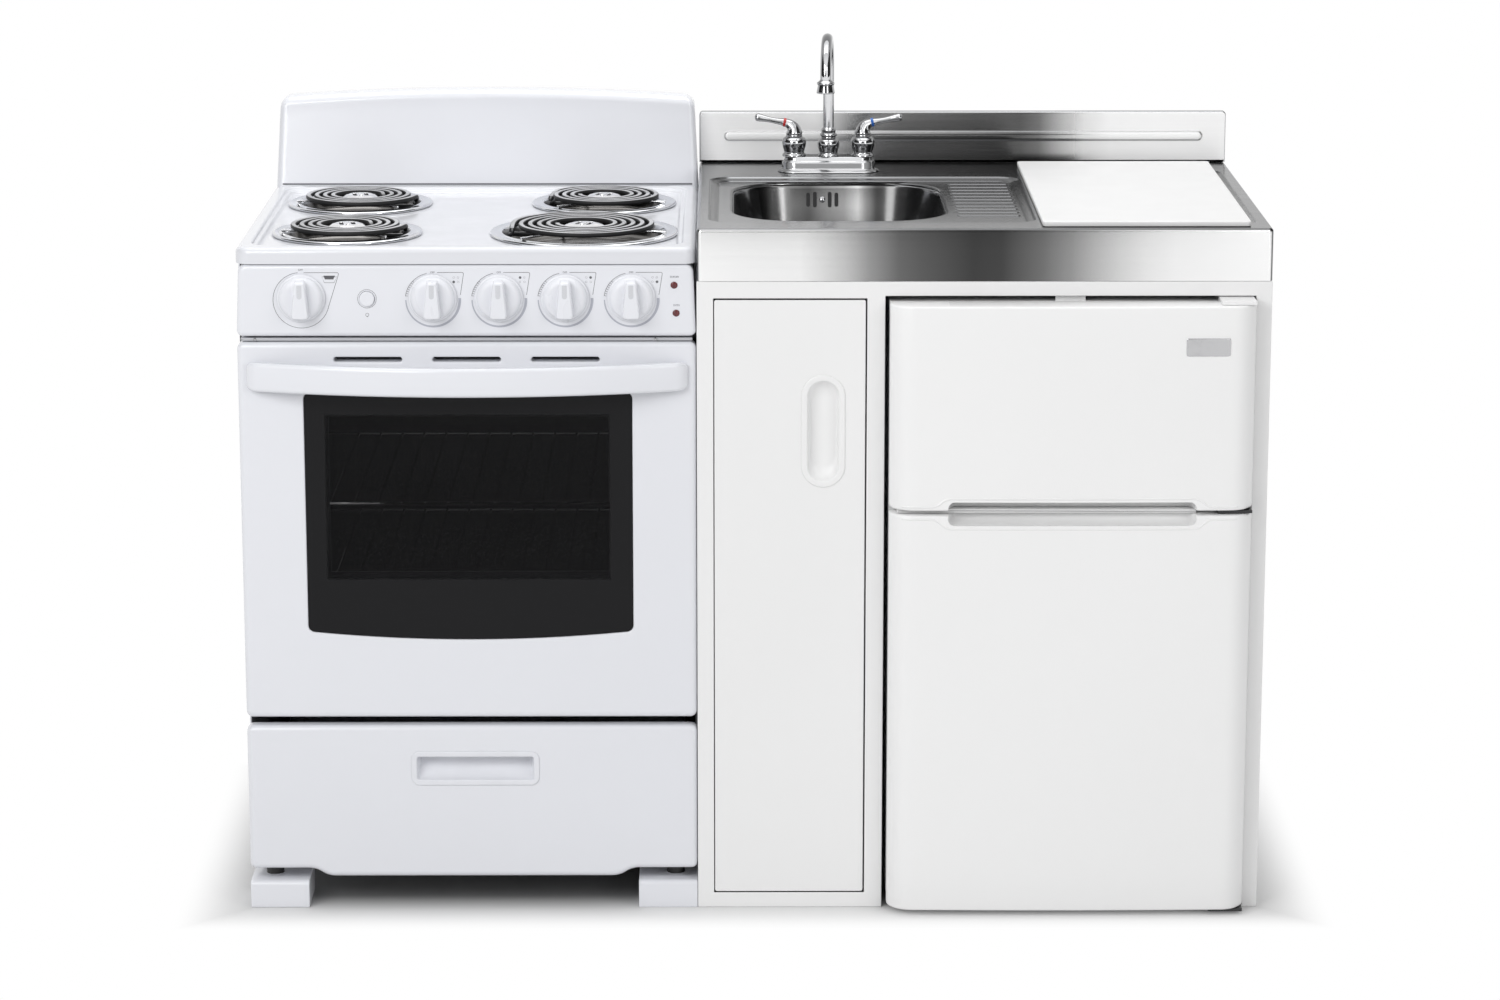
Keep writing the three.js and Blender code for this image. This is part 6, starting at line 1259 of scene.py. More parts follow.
def satin_steel(name, colour, roughness, front, top=None, bare=0.0):
    """Sheet steel brushed along the unit: fine lines, with slow bands across them. front is a
    list of pairs, a place along the unit and a brightness, for a painted reflection on an upright
    face, which runs from bright ends to a dull middle; top is such a list of painted light and
    shade for the faces that don't look forward; bare is how much of the bright ends' painted
    reflection loses its metal and shows as a pale painted highlight."""
    sheet = Sheet(name, Metallic=1.0)
    lines = sheet.noise(1.0, sheet.place(scale=(5, 2600, 2600)), detail=3, roughness=0.65)
    bands = sheet.noise(1.0, sheet.place(scale=(1.2, 160, 160)), detail=2).span(0.3, 0.7)
    shade = sheet.mix(lines.span(0.25, 0.75), sheet.mix(bands, tint(colour, 0.74),
                                                        tint(colour, 0.86)), colour)
    # Painted shade: faces that slope a little towards +x, as on the trays' walls, are darkened to a
    # fifth of the steel.
    aside = sheet.facing("X").span(0.05, 0.2) * (sheet.facing("X") < 0.6)
    shade = sheet.mix(aside, shade, tint(colour, 0.2))
    share = (sheet.axis("X") - SINK[0] * MM) / (UNIT_WIDTH * MM)
    # Painted reflection: the front list paints the studio's reflection along the unit into the
    # colour of upright faces.
    painted_reflection = sheet.ramp(front, share)
    # Painted light and shade on the faces that don't look forward: the top list lightens the left
    # and darkens the right.
    if top:
        shade = sheet.mix(1.0, shade, sheet.ramp(top, share), "MULTIPLY")
    # Painted light: faces that look along the unit are given a steel twice as light.
    ends = sheet.facing("X").size().span(0.75, 0.95)
    shade = sheet.mix(ends, shade, tint(colour, 2.0))
    forward = (0 - sheet.facing("Y")).span(0.7, 0.95)
    grained_reflection = sheet.mix(1.0, painted_reflection, sheet.mix(lines, grey(0.9), grey(1.0)), "MULTIPLY")
    shade = sheet.mix(forward, shade, grained_reflection)
    # Where the painted reflection is bright on upright faces, metal is taken away so it shows as a
    # pale painted highlight.
    if bare:
        bright = sheet.node("ShaderNodeRGBToBW", {}, {0: painted_reflection}).span(0.55, 0.95)
        sheet.set(Metallic=1 - bright * forward * bare)
    sheet.set(Base_Color=shade, Roughness=roughness + (lines - 0.5) * 0.2 + bands * 0.03,
              Normal=sheet.bump(lines, 0.00003, 0.35))


def paint(name, colour):
    """Baked paint on the cabinet: an even colour that drifts a little, over a fine stipple. The
    edges in the gap round the door, and of the frame beside it, behind the face, get a near-black
    painted shadow."""
    sheet = Sheet(name)
    drift = sheet.noise(1.9, detail=2).span(0.3, 0.7)
    stipple = sheet.noise(320, detail=3, roughness=0.55)
    # Painted shadow: faces in the gap round the sink door, behind its face, are painted near black.
    gap_shadow = (sheet.facing("Y").size() < 0.3) * (sheet.axis("Y") < (SINK[1] + 17.0) * MM)
    gap_shadow = gap_shadow * (sheet.axis("Y") > (SINK[1] + 0.9) * MM)
    left, right, low, high = SINK_DOOR
    across, up = sheet.axis("X") - SINK[0] * MM, sheet.axis("Z")
    inside = (across - left * MM).least(right * MM - across).least(
        (up - low * MM).least(high * MM - up))
    gap_shadow = gap_shadow * (inside.size() < 2.5 * MM)
    plain = sheet.mix(drift, tint(colour, 0.98), colour)
    sheet.set(Base_Color=sheet.mix(gap_shadow, plain, grey(0.03)),
              Roughness=0.38 + stipple.span(0.3, 0.7) * 0.06,
              Normal=sheet.bump(stipple, 0.0001, 0.3))


def pebbled(name, colour):
    """A cold door's sheet: low pebbles of uneven height under a soft gloss, with the light falling
    off down the scoop and towards its left end."""
    sheet = Sheet(name, Coat_Weight=0.12, Coat_Roughness=0.2)
    warp = sheet.noise(60, detail=1)
    pebbles = sheet.cells(620, feature="SMOOTH_F1")
    drift = sheet.noise(1.7, detail=2).span(0.3, 0.7)
    sunk = sheet.axis("Y").span((SINK[1] + COLD_FACE) * MM, (SINK[1] - 26) * MM)
    from_left = (sheet.axis("X") - (SINK[0] + SCOOP[0]) * MM).span(0, (SCOOP[1] - SCOOP[0]) * MM)
    shade = sunk * (1 - from_left) * (sheet.axis("X") > (SINK[0] + SCOOP[0]) * MM)
    plain = sheet.mix(drift, tint(colour, 0.985), colour)
    sheet.set(Base_Color=sheet.mix(shade * 0.3, plain, tint(colour, 0.5)),
              Roughness=0.3 + pebbles * 0.12,
              Normal=sheet.bump(pebbles * (0.8 + warp * 0.4), 0.00012, 0.28))


def moulded(name, colour, roughness=0.3, grain=0.00005):
    """Injection-moulded plastic: an even colour, a satin skin with slight flow marks."""
    sheet = Sheet(name)
    flow = sheet.noise(26, sheet.place(scale=(1, 1, 0.3)), detail=3).span(0.3, 0.7)
    skin = sheet.noise(1400, detail=2)
    sheet.set(Base_Color=sheet.mix(flow, tint(colour, 0.975), colour),
              Roughness=roughness + flow * 0.05, Normal=sheet.bump(skin, grain, 0.3))


def oven_lining(name, colour):
    """Dark porcelain speckled with pale and blue-grey grains."""
    sheet = Sheet(name, Coat_Weight=0.2)
    grains = sheet.cells(520)
    speck = (1 - grains.span(0.08, 0.22)) * (sheet.noise(300, detail=1) > 0.52)
    sheet.set(Base_Color=sheet.mix(speck, colour, (0.22, 0.23, 0.26)),
              Roughness=0.3 + grains * 0.1, Normal=sheet.bump(grains, 0.00008, 0.4))


def window_glass(name, colour):
    """Black glass: an opaque printed border whose inner edge fades out in rows of dots, and a
    clearer middle that the racks show through."""
    sheet = Sheet(name, Specular_IOR_Level=0.14)
    left, right, low, high = CLEAR_GLASS
    across, up = sheet.axis("X") - RANGE[0] * MM, sheet.axis("Z")
    inside = (across - left * MM).least(right * MM - across).least(
        (up - low * MM).least(high * MM - up))
    dots = sheet.cells(330, sheet.place(scale=(1, 0.001, 1)))
    fade = inside.span(-0.001, 0.004)
    clear = fade * (0.8 + dots.span(0.1, 0.5) * 0.2)
    smear = sheet.noise(9, detail=4).span(0.4, 0.8)
    sheet.set(Base_Color=sheet.mix(clear, colour, tint(colour, 0.75)), Alpha=1 - clear * 0.62,
              Roughness=0.06 + smear * 0.05)


def lamp_lens(name, colour):
    """A ribbed red lens over an unlit lamp, darker in small random patches."""
    sheet = Sheet(name, Coat_Weight=0.6)
    ribs = (sheet.axis("Z") * 5200).wave().span(-1, 1)
    depth = sheet.noise(260, detail=2).span(0.3, 0.7)
    sheet.set(Base_Color=sheet.mix(depth, tint(colour, 0.55), colour), Roughness=0.16 + ribs * 0.08,
              Normal=sheet.bump(ribs, 0.0002, 0.4))


def foot_enamel(name, colour):
    """A foot's glaze, and above the foot's top the dark thread of its leveller."""
    sheet = Sheet(name, Coat_Weight=0.2)
    thread = sheet.axis("Z") > FOOT_TOP * MM
    turns = (sheet.axis("Z") * 5000).wave().span(-1, 1)
    sheet.set(Base_Color=sheet.mix(thread, colour, sheet.mix(turns, grey(0.003), grey(0.01))),
              Roughness=0.24 + thread * 0.3,
              Normal=sheet.bump(sheet.noise(170, detail=2), 0.00008, 0.35))


def printed(name, colour):
    """Screen-printed ink: slightly uneven cover."""
    sheet = Sheet(name)
    cover = sheet.noise(900, detail=3).span(0.25, 0.6)
    sheet.set(Base_Color=sheet.mix(cover, tint(colour, 1.08), colour),
              Roughness=0.42 + cover * 0.08)


def cold_case(name, colour, dark):
    """The cold cabinet: painted sheet, and dark plated hinge plates in front of it, apart from the
    painted one at the top."""
    sheet = Sheet(name)
    hinge = (sheet.axis("Y") < (SINK[1] + 6.0) * MM) * (sheet.axis("Z") < 0.8)
    stipple = sheet.noise(300, detail=3)
    sheet.set(Base_Color=sheet.mix(hinge, colour, dark), Roughness=0.4 - hinge * 0.12,
              Metallic=hinge * 0.8, Normal=sheet.bump(stipple, 0.0001, 0.3))


def board_core(name, colour):
    """The cabinet's melamine board: a fine even grain with slow clouds."""
    sheet = Sheet(name)
    cloud = sheet.noise(5, detail=3).span(0.3, 0.7)
    grain = sheet.noise(1.0, sheet.place(scale=(900, 900, 60)), detail=3)
    sheet.set(Base_Color=sheet.mix(cloud, tint(colour, 0.96), colour),
              Roughness=0.48 + grain * 0.08, Normal=sheet.bump(grain, 0.00006, 0.3))


def make_finishes(colours):
    """All the materials, from the colours in the panel."""
    white, steel = tuple(colours.enamel), tuple(colours.steel)
    enamel("enamel", white)
    enamel("cooktop_enamel", tint(white, 0.93))
    # A darker copy of the enamel: painted shade on the strip recessed under the control panel.
    enamel("shaded_strip_enamel", tint(white, 0.6))
    moulded("knob_plastic", tint(white, 1.02), 0.24)
    moulded("pull_plastic", tint(white, 1.0), 0.3)
    faucet_plating("faucet_chrome", (0.74, 0.745, 0.76))
    chrome("rack_chrome", (0.62, 0.62, 0.63), 0.12)
    wall_shaded_chrome("bowl_chrome", (0.66, 0.67, 0.695))
    chrome("support_chrome", (0.8, 0.8, 0.81), 0.16)
    heating_tube("heating_tube", (0.012, 0.012, 0.013), tuple(colours.coil))
    heating_tube("bake_tube", (0.03, 0.03, 0.032), (0.09, 0.09, 0.095))
    # Painted reflection, light and shade: the lists below paint the studio's reflection along each
    # steel, with painted highlights on the bowl's walls, and the one steel is tinted to half for
    # the worktop and bowl and to 0.9 for the splashback.
    satin_steel("worktop_steel", tint(steel, 0.5), 0.2, [
        (0.0, 1.0), (0.09, 0.95), (0.18, 0.93), (0.216, 0.78), (0.26, 0.58), (0.3, 0.34),
        (0.35, 0.16), (0.39, 0.12), (0.48, 0.062), (0.53, 0.07), (0.6, 0.18), (0.65, 0.32),
        (0.695, 0.52), (0.737, 0.69), (0.78, 0.83), (0.83, 0.92), (1.0, 1.0)],
        top=[(0.0, 1.0), (0.25, 0.85), (0.42, 0.5), (1.0, 0.55)])
    satin_steel("bowl_steel", tint(steel, 0.5), 0.16, [
        (0.05, 0.2), (0.125, 0.3), (0.137, 0.8), (0.152, 0.28), (0.205, 0.14), (0.23, 0.3),
        (0.27, 0.46), (0.296, 0.85), (0.31, 0.4), (0.33, 0.1)])
    satin_steel("splash_steel", tint(steel, 0.9), 0.2, [
        (0.0, 1.0), (0.17, 1.0), (0.22, 0.95), (0.3, 0.6), (0.38, 0.36), (0.47, 0.26),
        (0.56, 0.17), (0.61, 0.13), (0.645, 0.2), (0.685, 0.5), (0.73, 0.8), (0.78, 0.93),
        (1.0, 1.0)], bare=1.0)
    foot_enamel("foot_enamel", white)
    chrome("screw_steel", (0.45, 0.45, 0.46), 0.2)
    moulded("dark_plastic", (0.02, 0.02, 0.022), 0.4)
    moulded("slot_dark", (0.006, 0.006, 0.007), 0.6)
    paint("cabinet_paint", tuple(colours.cabinet))
    board_core("cabinet_board", tint(tuple(colours.cabinet), 0.94))
    pebbled("cold_door_sheet", tuple(colours.cold_door))
    moulded("cold_trim", tint(tuple(colours.cold_door), 0.97), 0.22)
    moulded("gasket_vinyl", (0.85, 0.85, 0.85), 0.5)
    moulded("rail_grey", (0.7, 0.7, 0.7), 0.35)
    cold_case("cold_case", tint(tuple(colours.cold_door), 0.96), (0.05, 0.05, 0.052))
    chrome("badge_plate", (0.55, 0.55, 0.56), 0.25)
    oven_lining("oven_lining", (0.018, 0.018, 0.022))
    window_glass("window_glass", tuple(colours.glass))
    lamp_lens("lamp_lens", (0.13, 0.004, 0.008))
    printed("print_grey", tuple(colours.printing))
    printed("pointer_grey", (0.6, 0.61, 0.64))
    printed("print_dark", (0.11, 0.11, 0.12))
    moulded("board_plastic", (0.82, 0.82, 0.82), 0.42, 0.0001)
    # The grey of the painted seam shadow.
    moulded("seam_shadow_grey", (0.16, 0.165, 0.18), 0.5)
    moulded("ring_red", (0.45, 0.02, 0.02), 0.25)
    moulded("ring_blue", (0.02, 0.12, 0.45), 0.25)
    moulded("waste_plastic", (0.6, 0.6, 0.6), 0.35)


# ---------------------------------------------------------------- sizes and colours to change
def colour_property(name, description, default):
    return FloatVectorProperty(name=name, description=description, default=default, min=0, max=1,
                               size=3, subtype="COLOR")


def length_property(name, description, default):
    return FloatProperty(name=name, description=description, default=default, min=0.0005, max=0.05,
                         unit="LENGTH", subtype="DISTANCE")


class KitchenetteColours(bpy.types.PropertyGroup):
    """The finishes' colours."""
    enamel: colour_property("Enamel", "The range's glaze", (0.765, 0.775, 0.815))
    cabinet: colour_property("Cabinet", "The cabinet's paint", (0.85, 0.85, 0.85))
    cold_door: colour_property("Cold Doors", "The fridge and freezer doors", (0.875, 0.875, 0.875))
    steel: colour_property("Steel", "The worktop, bowl and splashback", (0.42, 0.425, 0.435))
    # Coil Top is the light grey of the tubes' upward faces, partly wear and partly a painted
    # highlight.
    coil: colour_property("Coil Top", "The worn top of the heating tubes", (0.64, 0.645, 0.665))
    glass: colour_property("Oven Glass", "The oven window's glass", (0.0095, 0.0095, 0.0105))
    printing: colour_property("Printing", "The bands under the knobs", (0.41, 0.42, 0.475))


class KitchenetteSizes(bpy.types.PropertyGroup):
    """How softly the pressed and moulded edges are rounded."""
    cooktop_nose: length_property("Cooktop Edge", "Radius of the cooktop's rolled edge", 0.008)
    door_edge: length_property("Door Edge", "Radius of the oven door's and drawer's edges", 0.0075)
    panel_edge: length_property("Panel Edge", "Radius of the control panel's edges", 0.006)
    worktop_nose: length_property("Worktop Edge", "Radius of the worktop's edge", 0.0045)
    cabinet_edge: length_property("Cabinet Edge", "Radius of the cabinet's edges", 0.0012)
    board_edge: length_property("Board Edge", "Radius of the cutting board's edges", 0.0018)


class KitchenetteStage(bpy.types.PropertyGroup):
    """The floor, the light and the camera's lens."""
    floor: colour_property("Floor", "The floor's colour", (0.78, 0.78, 0.78))
    key: FloatProperty(name="Key Light", description="Power of the large front light",
                       default=56.0, min=0, max=1000, unit="POWER")
    room: FloatProperty(name="Room Light", description="Strength of the even light from all round",
                        default=0.44, min=0, max=4, subtype="FACTOR")
    lens: FloatProperty(name="Lens", description="The camera's focal length", default=105.44,
                        min=20, max=300, unit="CAMERA")


def sizes():
    """The panel's rounding radii, in millimetres."""
    group = bpy.context.scene.kitchenette_sizes
    return {name: getattr(group, name) / MM for name in group.__annotations__}


# ---------------------------------------------------------------- operators
class PieceOperator(bpy.types.Operator):
    """Makes one group of the kitchenette's pieces."""
    bl_options = {"REGISTER", "UNDO"}


class KITCHENETTE_OT_finishes(PieceOperator):
    """Makes the materials"""
    bl_idname = "kitchenette.finishes"
    bl_label = "Finishes"

    def execute(self, context):
        make_finishes(context.scene.kitchenette_colours)
        return {"FINISHED"}


class KITCHENETTE_OT_cooktop(PieceOperator):
    """Makes the cooktop's pan"""
    bl_idname = "kitchenette.cooktop"
    bl_label = "Cooktop"

    def execute(self, context):
        make("cooktop_pan", cooktop_surface(sizes()["cooktop_nose"]), RANGE, "cooktop_enamel",
             "cooktop_lid", ["cooktop"], sharp=50)
        return {"FINISHED"}


class KITCHENETTE_OT_burners(PieceOperator):
    """Makes the four drip bowls, coils, their supports and terminals"""
    bl_idname = "kitchenette.burners"
    bl_label = "Burners"

    def execute(self, context):
        for name, (x, y, radius, end, turns, pitch, start) in BURNERS.items():
            bowl, element = name + "_bowl", name + "_element"
            make(name + "_dish", drip_bowl_surface(x, y, radius), RANGE, "bowl_chrome", bowl,
                 [name + "_drip_bowl"], sharp=60)
            make(name + "_terminal", terminal_surface(x, y, radius, end, turns), RANGE,
                 "dark_plastic", bowl)
            make(name + "_winding", coil_surface(x, y, radius, end, turns, pitch, start), RANGE,
                 "heating_tube", element, [name + "_coil"], sharp=40)
            make(name + "_trivet", support_surface(x, y, radius, end), RANGE, "support_chrome",
                 element, [name + "_coil_support"])
            make(name + "_hollow", support_hollow_surface(x, y), RANGE, "slot_dark", element)
        return {"FINISHED"}


class KITCHENETTE_OT_backguard(PieceOperator):
    """Makes the backguard"""
    bl_idname = "kitchenette.backguard"
    bl_label = "Backguard"

    def execute(self, context):
        make("backguard_shell", backguard_surface(), RANGE, "enamel", "unit_body",
             ["backguard"], sharp=55)
        # A dark strip painted as the shadow along the seam under the backguard.
        make("backguard_seam_shadow", seam_shadow_surface(), RANGE, "seam_shadow_grey", "unit_body")
        return {"FINISHED"}


class KITCHENETTE_OT_controls(PieceOperator):
    """Makes the control panel with its printing, knobs, button and lamps"""
    bl_idname = "kitchenette.controls"
    bl_label = "Controls"

    def execute(self, context):
        make("control_fascia", control_panel_surface(sizes()["panel_edge"]), RANGE, "enamel",
             "unit_body", ["control_panel"], sharp=50)
        dials = {"oven_knob": "oven_dial"}
        dials.update({f"burner_knob_{i}": f"burner_dial_{i}" for i in (1, 2, 3, 4)})
        for node, x in KNOB_PLACES.items():
            make(node + "_grip", knob_surface(x), RANGE, "knob_plastic", dials[node],
                 [node], sharp=42)
            mark = Surface().plate(rounded_box(x - 3.3, x + 3.3, KNOB_HEIGHT + 3.0,
                                               KNOB_HEIGHT + 21.4, (3.2, 3.2, 0.8, 0.8), 6),
                                   "y", -27.62, -27.4, 0.08, 0.2)
            make(node + "_pointer", mark, RANGE, "pointer_grey", dials[node])
        lines, bands = oven_printing(KNOB_PLACES["oven_knob"]), Surface()
        for i in range(4):
            x = KNOB_PLACES[f"burner_knob_{i + 1}"]
            lines.with_(burner_printing(x, i))
            bands.with_(heat_band(x))
        lines.with_(lettering("OVEN", 583, 834.0, 3.2), lettering("BURNER", 580.5, 872.0, 3.2))
        lines.with_(ribbon(circle(*LIGHT_BUTTON, 12.4, 48), 0.45, closed=True),
                    ribbon(circle(LIGHT_BUTTON[0], 821.5, 2.1, 20), 0.45, closed=True),
                    ribbon([(173.1, 818.9), (174.9, 818.9)], 0.5))
        make("panel_lines", lines, RANGE, "print_dark", "unit_body")
        make("panel_bands", bands, RANGE, "print_grey", "unit_body")
        button = Surface().turned([(0, 1.5), (9.8, 1.5), (9.85, -2.4), (9.3, -3.2), (8.3, -3.5),
                                   (6.5, -3.3), (3.5, -3.0), (0, -2.95)], *LIGHT_BUTTON, "y",
                                  sides=48)
        make("light_button_cap", button, RANGE, "knob_plastic", "light_switch",
             ["oven_light_button"])
        for node, place in LAMP_PLACES.items():
            make(node + "_lens", lamp_surface(*place), RANGE, "lamp_lens", "unit_body",
                 [node])
        # The recessed strip under the panel, in the enamel's darker copy as painted shade.
        strip = Surface().plate(rounded_box(5, RANGE_WIDTH - 5, 785.4, 789.4, 1.2, 4), "y", 5.5,
                                43.0, 0.8)
        make("panel_strip", strip, RANGE, "shaded_strip_enamel", "unit_body")
        make("panel_screws", screws_surface([(24, 787.4), (555, 787.4)], 5.4, 2.2), RANGE,
             "screw_steel", "unit_body")
        return {"FINISHED"}


class KITCHENETTE_OT_oven_door(PieceOperator):
    """Makes the oven door's panel, glass and handle"""
    bl_idname = "kitchenette.oven_door"
    bl_label = "Oven Door"

    def execute(self, context):
        make("oven_door_skin", oven_door_surface(sizes()["door_edge"]), RANGE, "enamel",
             "oven_door", ["oven_door_panel"], sharp=50)
        pane = Surface().plate(window_outline(-0.4), "y", 0.9, 4.7, 0.5, 0.6, steps=3)
        make("oven_door_pane", pane, RANGE, "window_glass", "oven_door",
             ["oven_door_glass"])
        make("oven_door_bar", handle_surface(), RANGE, "enamel", "oven_door",
             ["oven_door_handle"], sharp=60)
        return {"FINISHED"}


class KITCHENETTE_OT_oven(PieceOperator):
    """Makes the racks and finishes the oven's lining and element"""
    bl_idname = "kitchenette.oven"
    bl_label = "Oven"

    def execute(self, context):
        for node, level in RACKS.items():
            make(node + "_wires", rack_surface(level), RANGE, "rack_chrome", "unit_body",
                 [node])
        dressed("oven_lining", "oven_liner", "oven_door_liner")
        dressed("bake_tube", "bake_element")
        return {"FINISHED"}


class KITCHENETTE_OT_drawer(PieceOperator):
    """Makes the storage drawer and its pull"""
    bl_idname = "kitchenette.drawer"
    bl_label = "Drawer"

    def execute(self, context):
        make("drawer_front", drawer_surface(sizes()["door_edge"]), RANGE, "enamel", "drawer",
             ["storage_drawer"], sharp=50)
        make("drawer_pull_cup", drawer_pull_surface(), RANGE, "pull_plastic", "drawer",
             ["drawer_pull"], sharp=55)
        return {"FINISHED"}


class KITCHENETTE_OT_range_case(PieceOperator):
    """Makes the range's case and feet"""
    bl_idname = "kitchenette.range_case"
    bl_label = "Range Case"

    def execute(self, context):
        softened("range_case", "range_shell", 1.5, "enamel", "unit_body")
        for node in ("front_left_foot", "front_right_foot", "rear_left_foot", "rear_right_foot"):
            softened(node + "_block", node, 1.6, "foot_enamel", "unit_body")
        dressed("enamel", "range_base_pan")
        return {"FINISHED"}


class KITCHENETTE_OT_worktop(PieceOperator):
    """Makes the worktop, the sink bowl, its waste and the splashback"""
    bl_idname = "kitchenette.worktop"
    bl_label = "Worktop and Sink"

    def execute(self, context):
        nose = sizes()["worktop_nose"]
        make("worktop_sheet", worktop_surface(nose), SINK, "worktop_steel", "unit_body",
             ["worktop"], sharp=50)
        make("sink_basin", sink_bowl_surface(), SINK, "bowl_steel", "unit_body",
             ["sink_bowl"], sharp=60)
        # Dark plates painted as the shade inside the overflow's slots.
        make("overflow_slots", overflow_surface(), SINK, "slot_dark", "unit_body")
        make("overflow_screw", overflow_screw_surface(), SINK, "screw_steel", "unit_body")
        make("waste_strainer", strainer_surface(), SINK, "bowl_steel", "waste_basket",
             ["strainer"])
        make("splash_sheet", splashback_surface(2.5), SINK, "splash_steel", "unit_body",
             ["splashback"], sharp=50)
        dressed("waste_plastic", "waste_trap")
        return {"FINISHED"}


class KITCHENETTE_OT_faucet(PieceOperator):
    """Makes the faucet's base, spout, levers and their coloured rings"""
    bl_idname = "kitchenette.faucet"
    bl_label = "Faucet"

    def execute(self, context):
        make("faucet_deck", faucet_base_surface(), SINK, "faucet_chrome", "unit_body",
             ["faucet_base"], sharp=50)
        make("spout_tube", spout_surface(), SINK, "faucet_chrome", "swivel_spout",
             ["spout"], sharp=50)
        for side, node, body, ring in ((-1, "hot_lever", "hot_handle", "ring_red"),
                                       (1, "cold_lever", "cold_handle", "ring_blue")):
            make(node + "_arm", lever_surface(side), SINK, "faucet_chrome", body,
                 [node], sharp=50)
            make(node + "_band", lever_ring_surface(side), SINK, ring, body)
        return {"FINISHED"}


class KITCHENETTE_OT_board(PieceOperator):
    """Makes the cutting board"""
    bl_idname = "kitchenette.board"
    bl_label = "Cutting Board"

    def execute(self, context):
        make("cutting_slab", cutting_board_surface(sizes()["board_edge"]), SINK, "board_plastic",
             "board", ["cutting_board"], sharp=50)
        return {"FINISHED"}


class KITCHENETTE_OT_cabinet(PieceOperator):
    """Makes the cabinet's front frame, its door and the oval pull, and finishes its boards"""
    bl_idname = "kitchenette.cabinet"
    bl_label = "Cabinet"

    def execute(self, context):
        edge = sizes()["cabinet_edge"]
        softened("cabinet_frame", "face_frame", edge, "cabinet_paint", "unit_body")
        make("cabinet_door", sink_door_surface(edge), SINK, "cabinet_paint", "sink_cabinet_door",
             ["sink_door"])
        make("cabinet_door_pull", door_pull_surface(), SINK, "cabinet_paint", "sink_cabinet_door",
             ["sink_door_pull"], sharp=60)
        dressed("cabinet_board", "cabinet_left_side", "cabinet_divider", "cabinet_right_side",
                "cabinet_back", "cabinet_floor")
        return {"FINISHED"}


class KITCHENETTE_OT_cold_doors(PieceOperator):
    """Makes the freezer's and fridge's doors with their trims, gaskets and bare plate"""
    bl_idname = "kitchenette.cold_doors"
    bl_label = "Cold Doors"

    def execute(self, context):
        for node, body, scoop_low in (("freezer_door", "upper_cold_door", False),
                                      ("fridge_door", "lower_cold_door", True)):
            low, high = COLD_DOORS[node]
            make(node + "_shell", cold_door_surface(low, high, scoop_low), SINK, "cold_door_sheet",
                 body, [node], sharp=45)
            make(node + "_trim", scoop_trim_surface(low, high, scoop_low), SINK, "cold_trim", body)
            make(node + "_gasket", gasket_surface(low, high), SINK, "gasket_vinyl", body,
                 sharp=50)
        make("bare_plate", face_plate_surface(645, 703, 774, 798, 1.4, 2.5), SINK, "badge_plate",
             "upper_cold_door")
        lip = Surface().plate(rounded_box(266, 664, 559.4, 564.9, 1.2, 4), "y", -34, -8, 0.6)
        make("freezer_door_lip", lip, SINK, "rail_grey", "upper_cold_door")
        softened("cold_cabinet", "fridge_cabinet", 1.2, "cold_case", "unit_body")
        return {"FINISHED"}


FLOOR_REACH = 9.0
CARDS = {  # dark cards that only reflections show: two lower corners, their height and the top's
    "left_card": ((-1.9, -3.0), (-1.9, 0.6), 1.0, 2.8),
    "right_card": ((1.9, -3.0), (1.9, 0.6), 1.0, 2.8),
    "front_card": ((-1.5, -6.6), (1.5, -6.6), 1.2, 3.2),
}
LAMPS = {  # place, target, share of the key light's power, width and height
    "front_left": ((-1.9, -2.7, 2.3), (0, 0, 0.95), 1.0, (2.2, 1.6)),
    "front_right": ((2.2, -2.7, 1.9), (0, 0, 0.9), 0.45, (1.8, 1.8)),
    "overhead": ((0, 0.3, 3.0), (0, 0.05, 0.9), 0.55, (2.4, 1.6)),
}
CAMERA_PLACE, CAMERA_DOWN, CAMERA_TURN = (-0.0289, -6.0, 1.872), 0.2237, -0.0041
WHITE = (1, 1, 1)


def four_sided(name, corners, material):
    """A flat sheet of the stage."""
    mesh = bpy.data.meshes.new(name)
    mesh.from_pydata(corners, [], [(0, 1, 2, 3)])
    mesh.materials.append(material)
    return linked(name, mesh)


def floor_paper(colour, depth):
    """White paper: a painted shadow darkens its colour to 0.3 under and just round the unit, and it
    is plain white further out; the unit's foot runs from its front to that depth."""
    sheet = Sheet("floor_paper", Roughness=0.9, Specular_IOR_Level=0.1)
    across, along = sheet.axis("X"), sheet.axis("Y")
    past = (across.size() - CAD_BOX[1][0]).most(RANGE[1] * MM - along).most(along - depth)
    # Painted shadow: under the unit's foot the paper's colour is darkened to 0.3.
    sheet.set(Base_Color=sheet.mix(past.span(-0.06, 0.02), tint(colour, 0.3), colour))
    white = sheet.node("ShaderNodeEmission", {}, {"Color": WHITE, "Strength": 1.0})
    sheet.unlit(sheet.shader.outputs[0], white, past.span(0.0, 0.1))
    return sheet.material


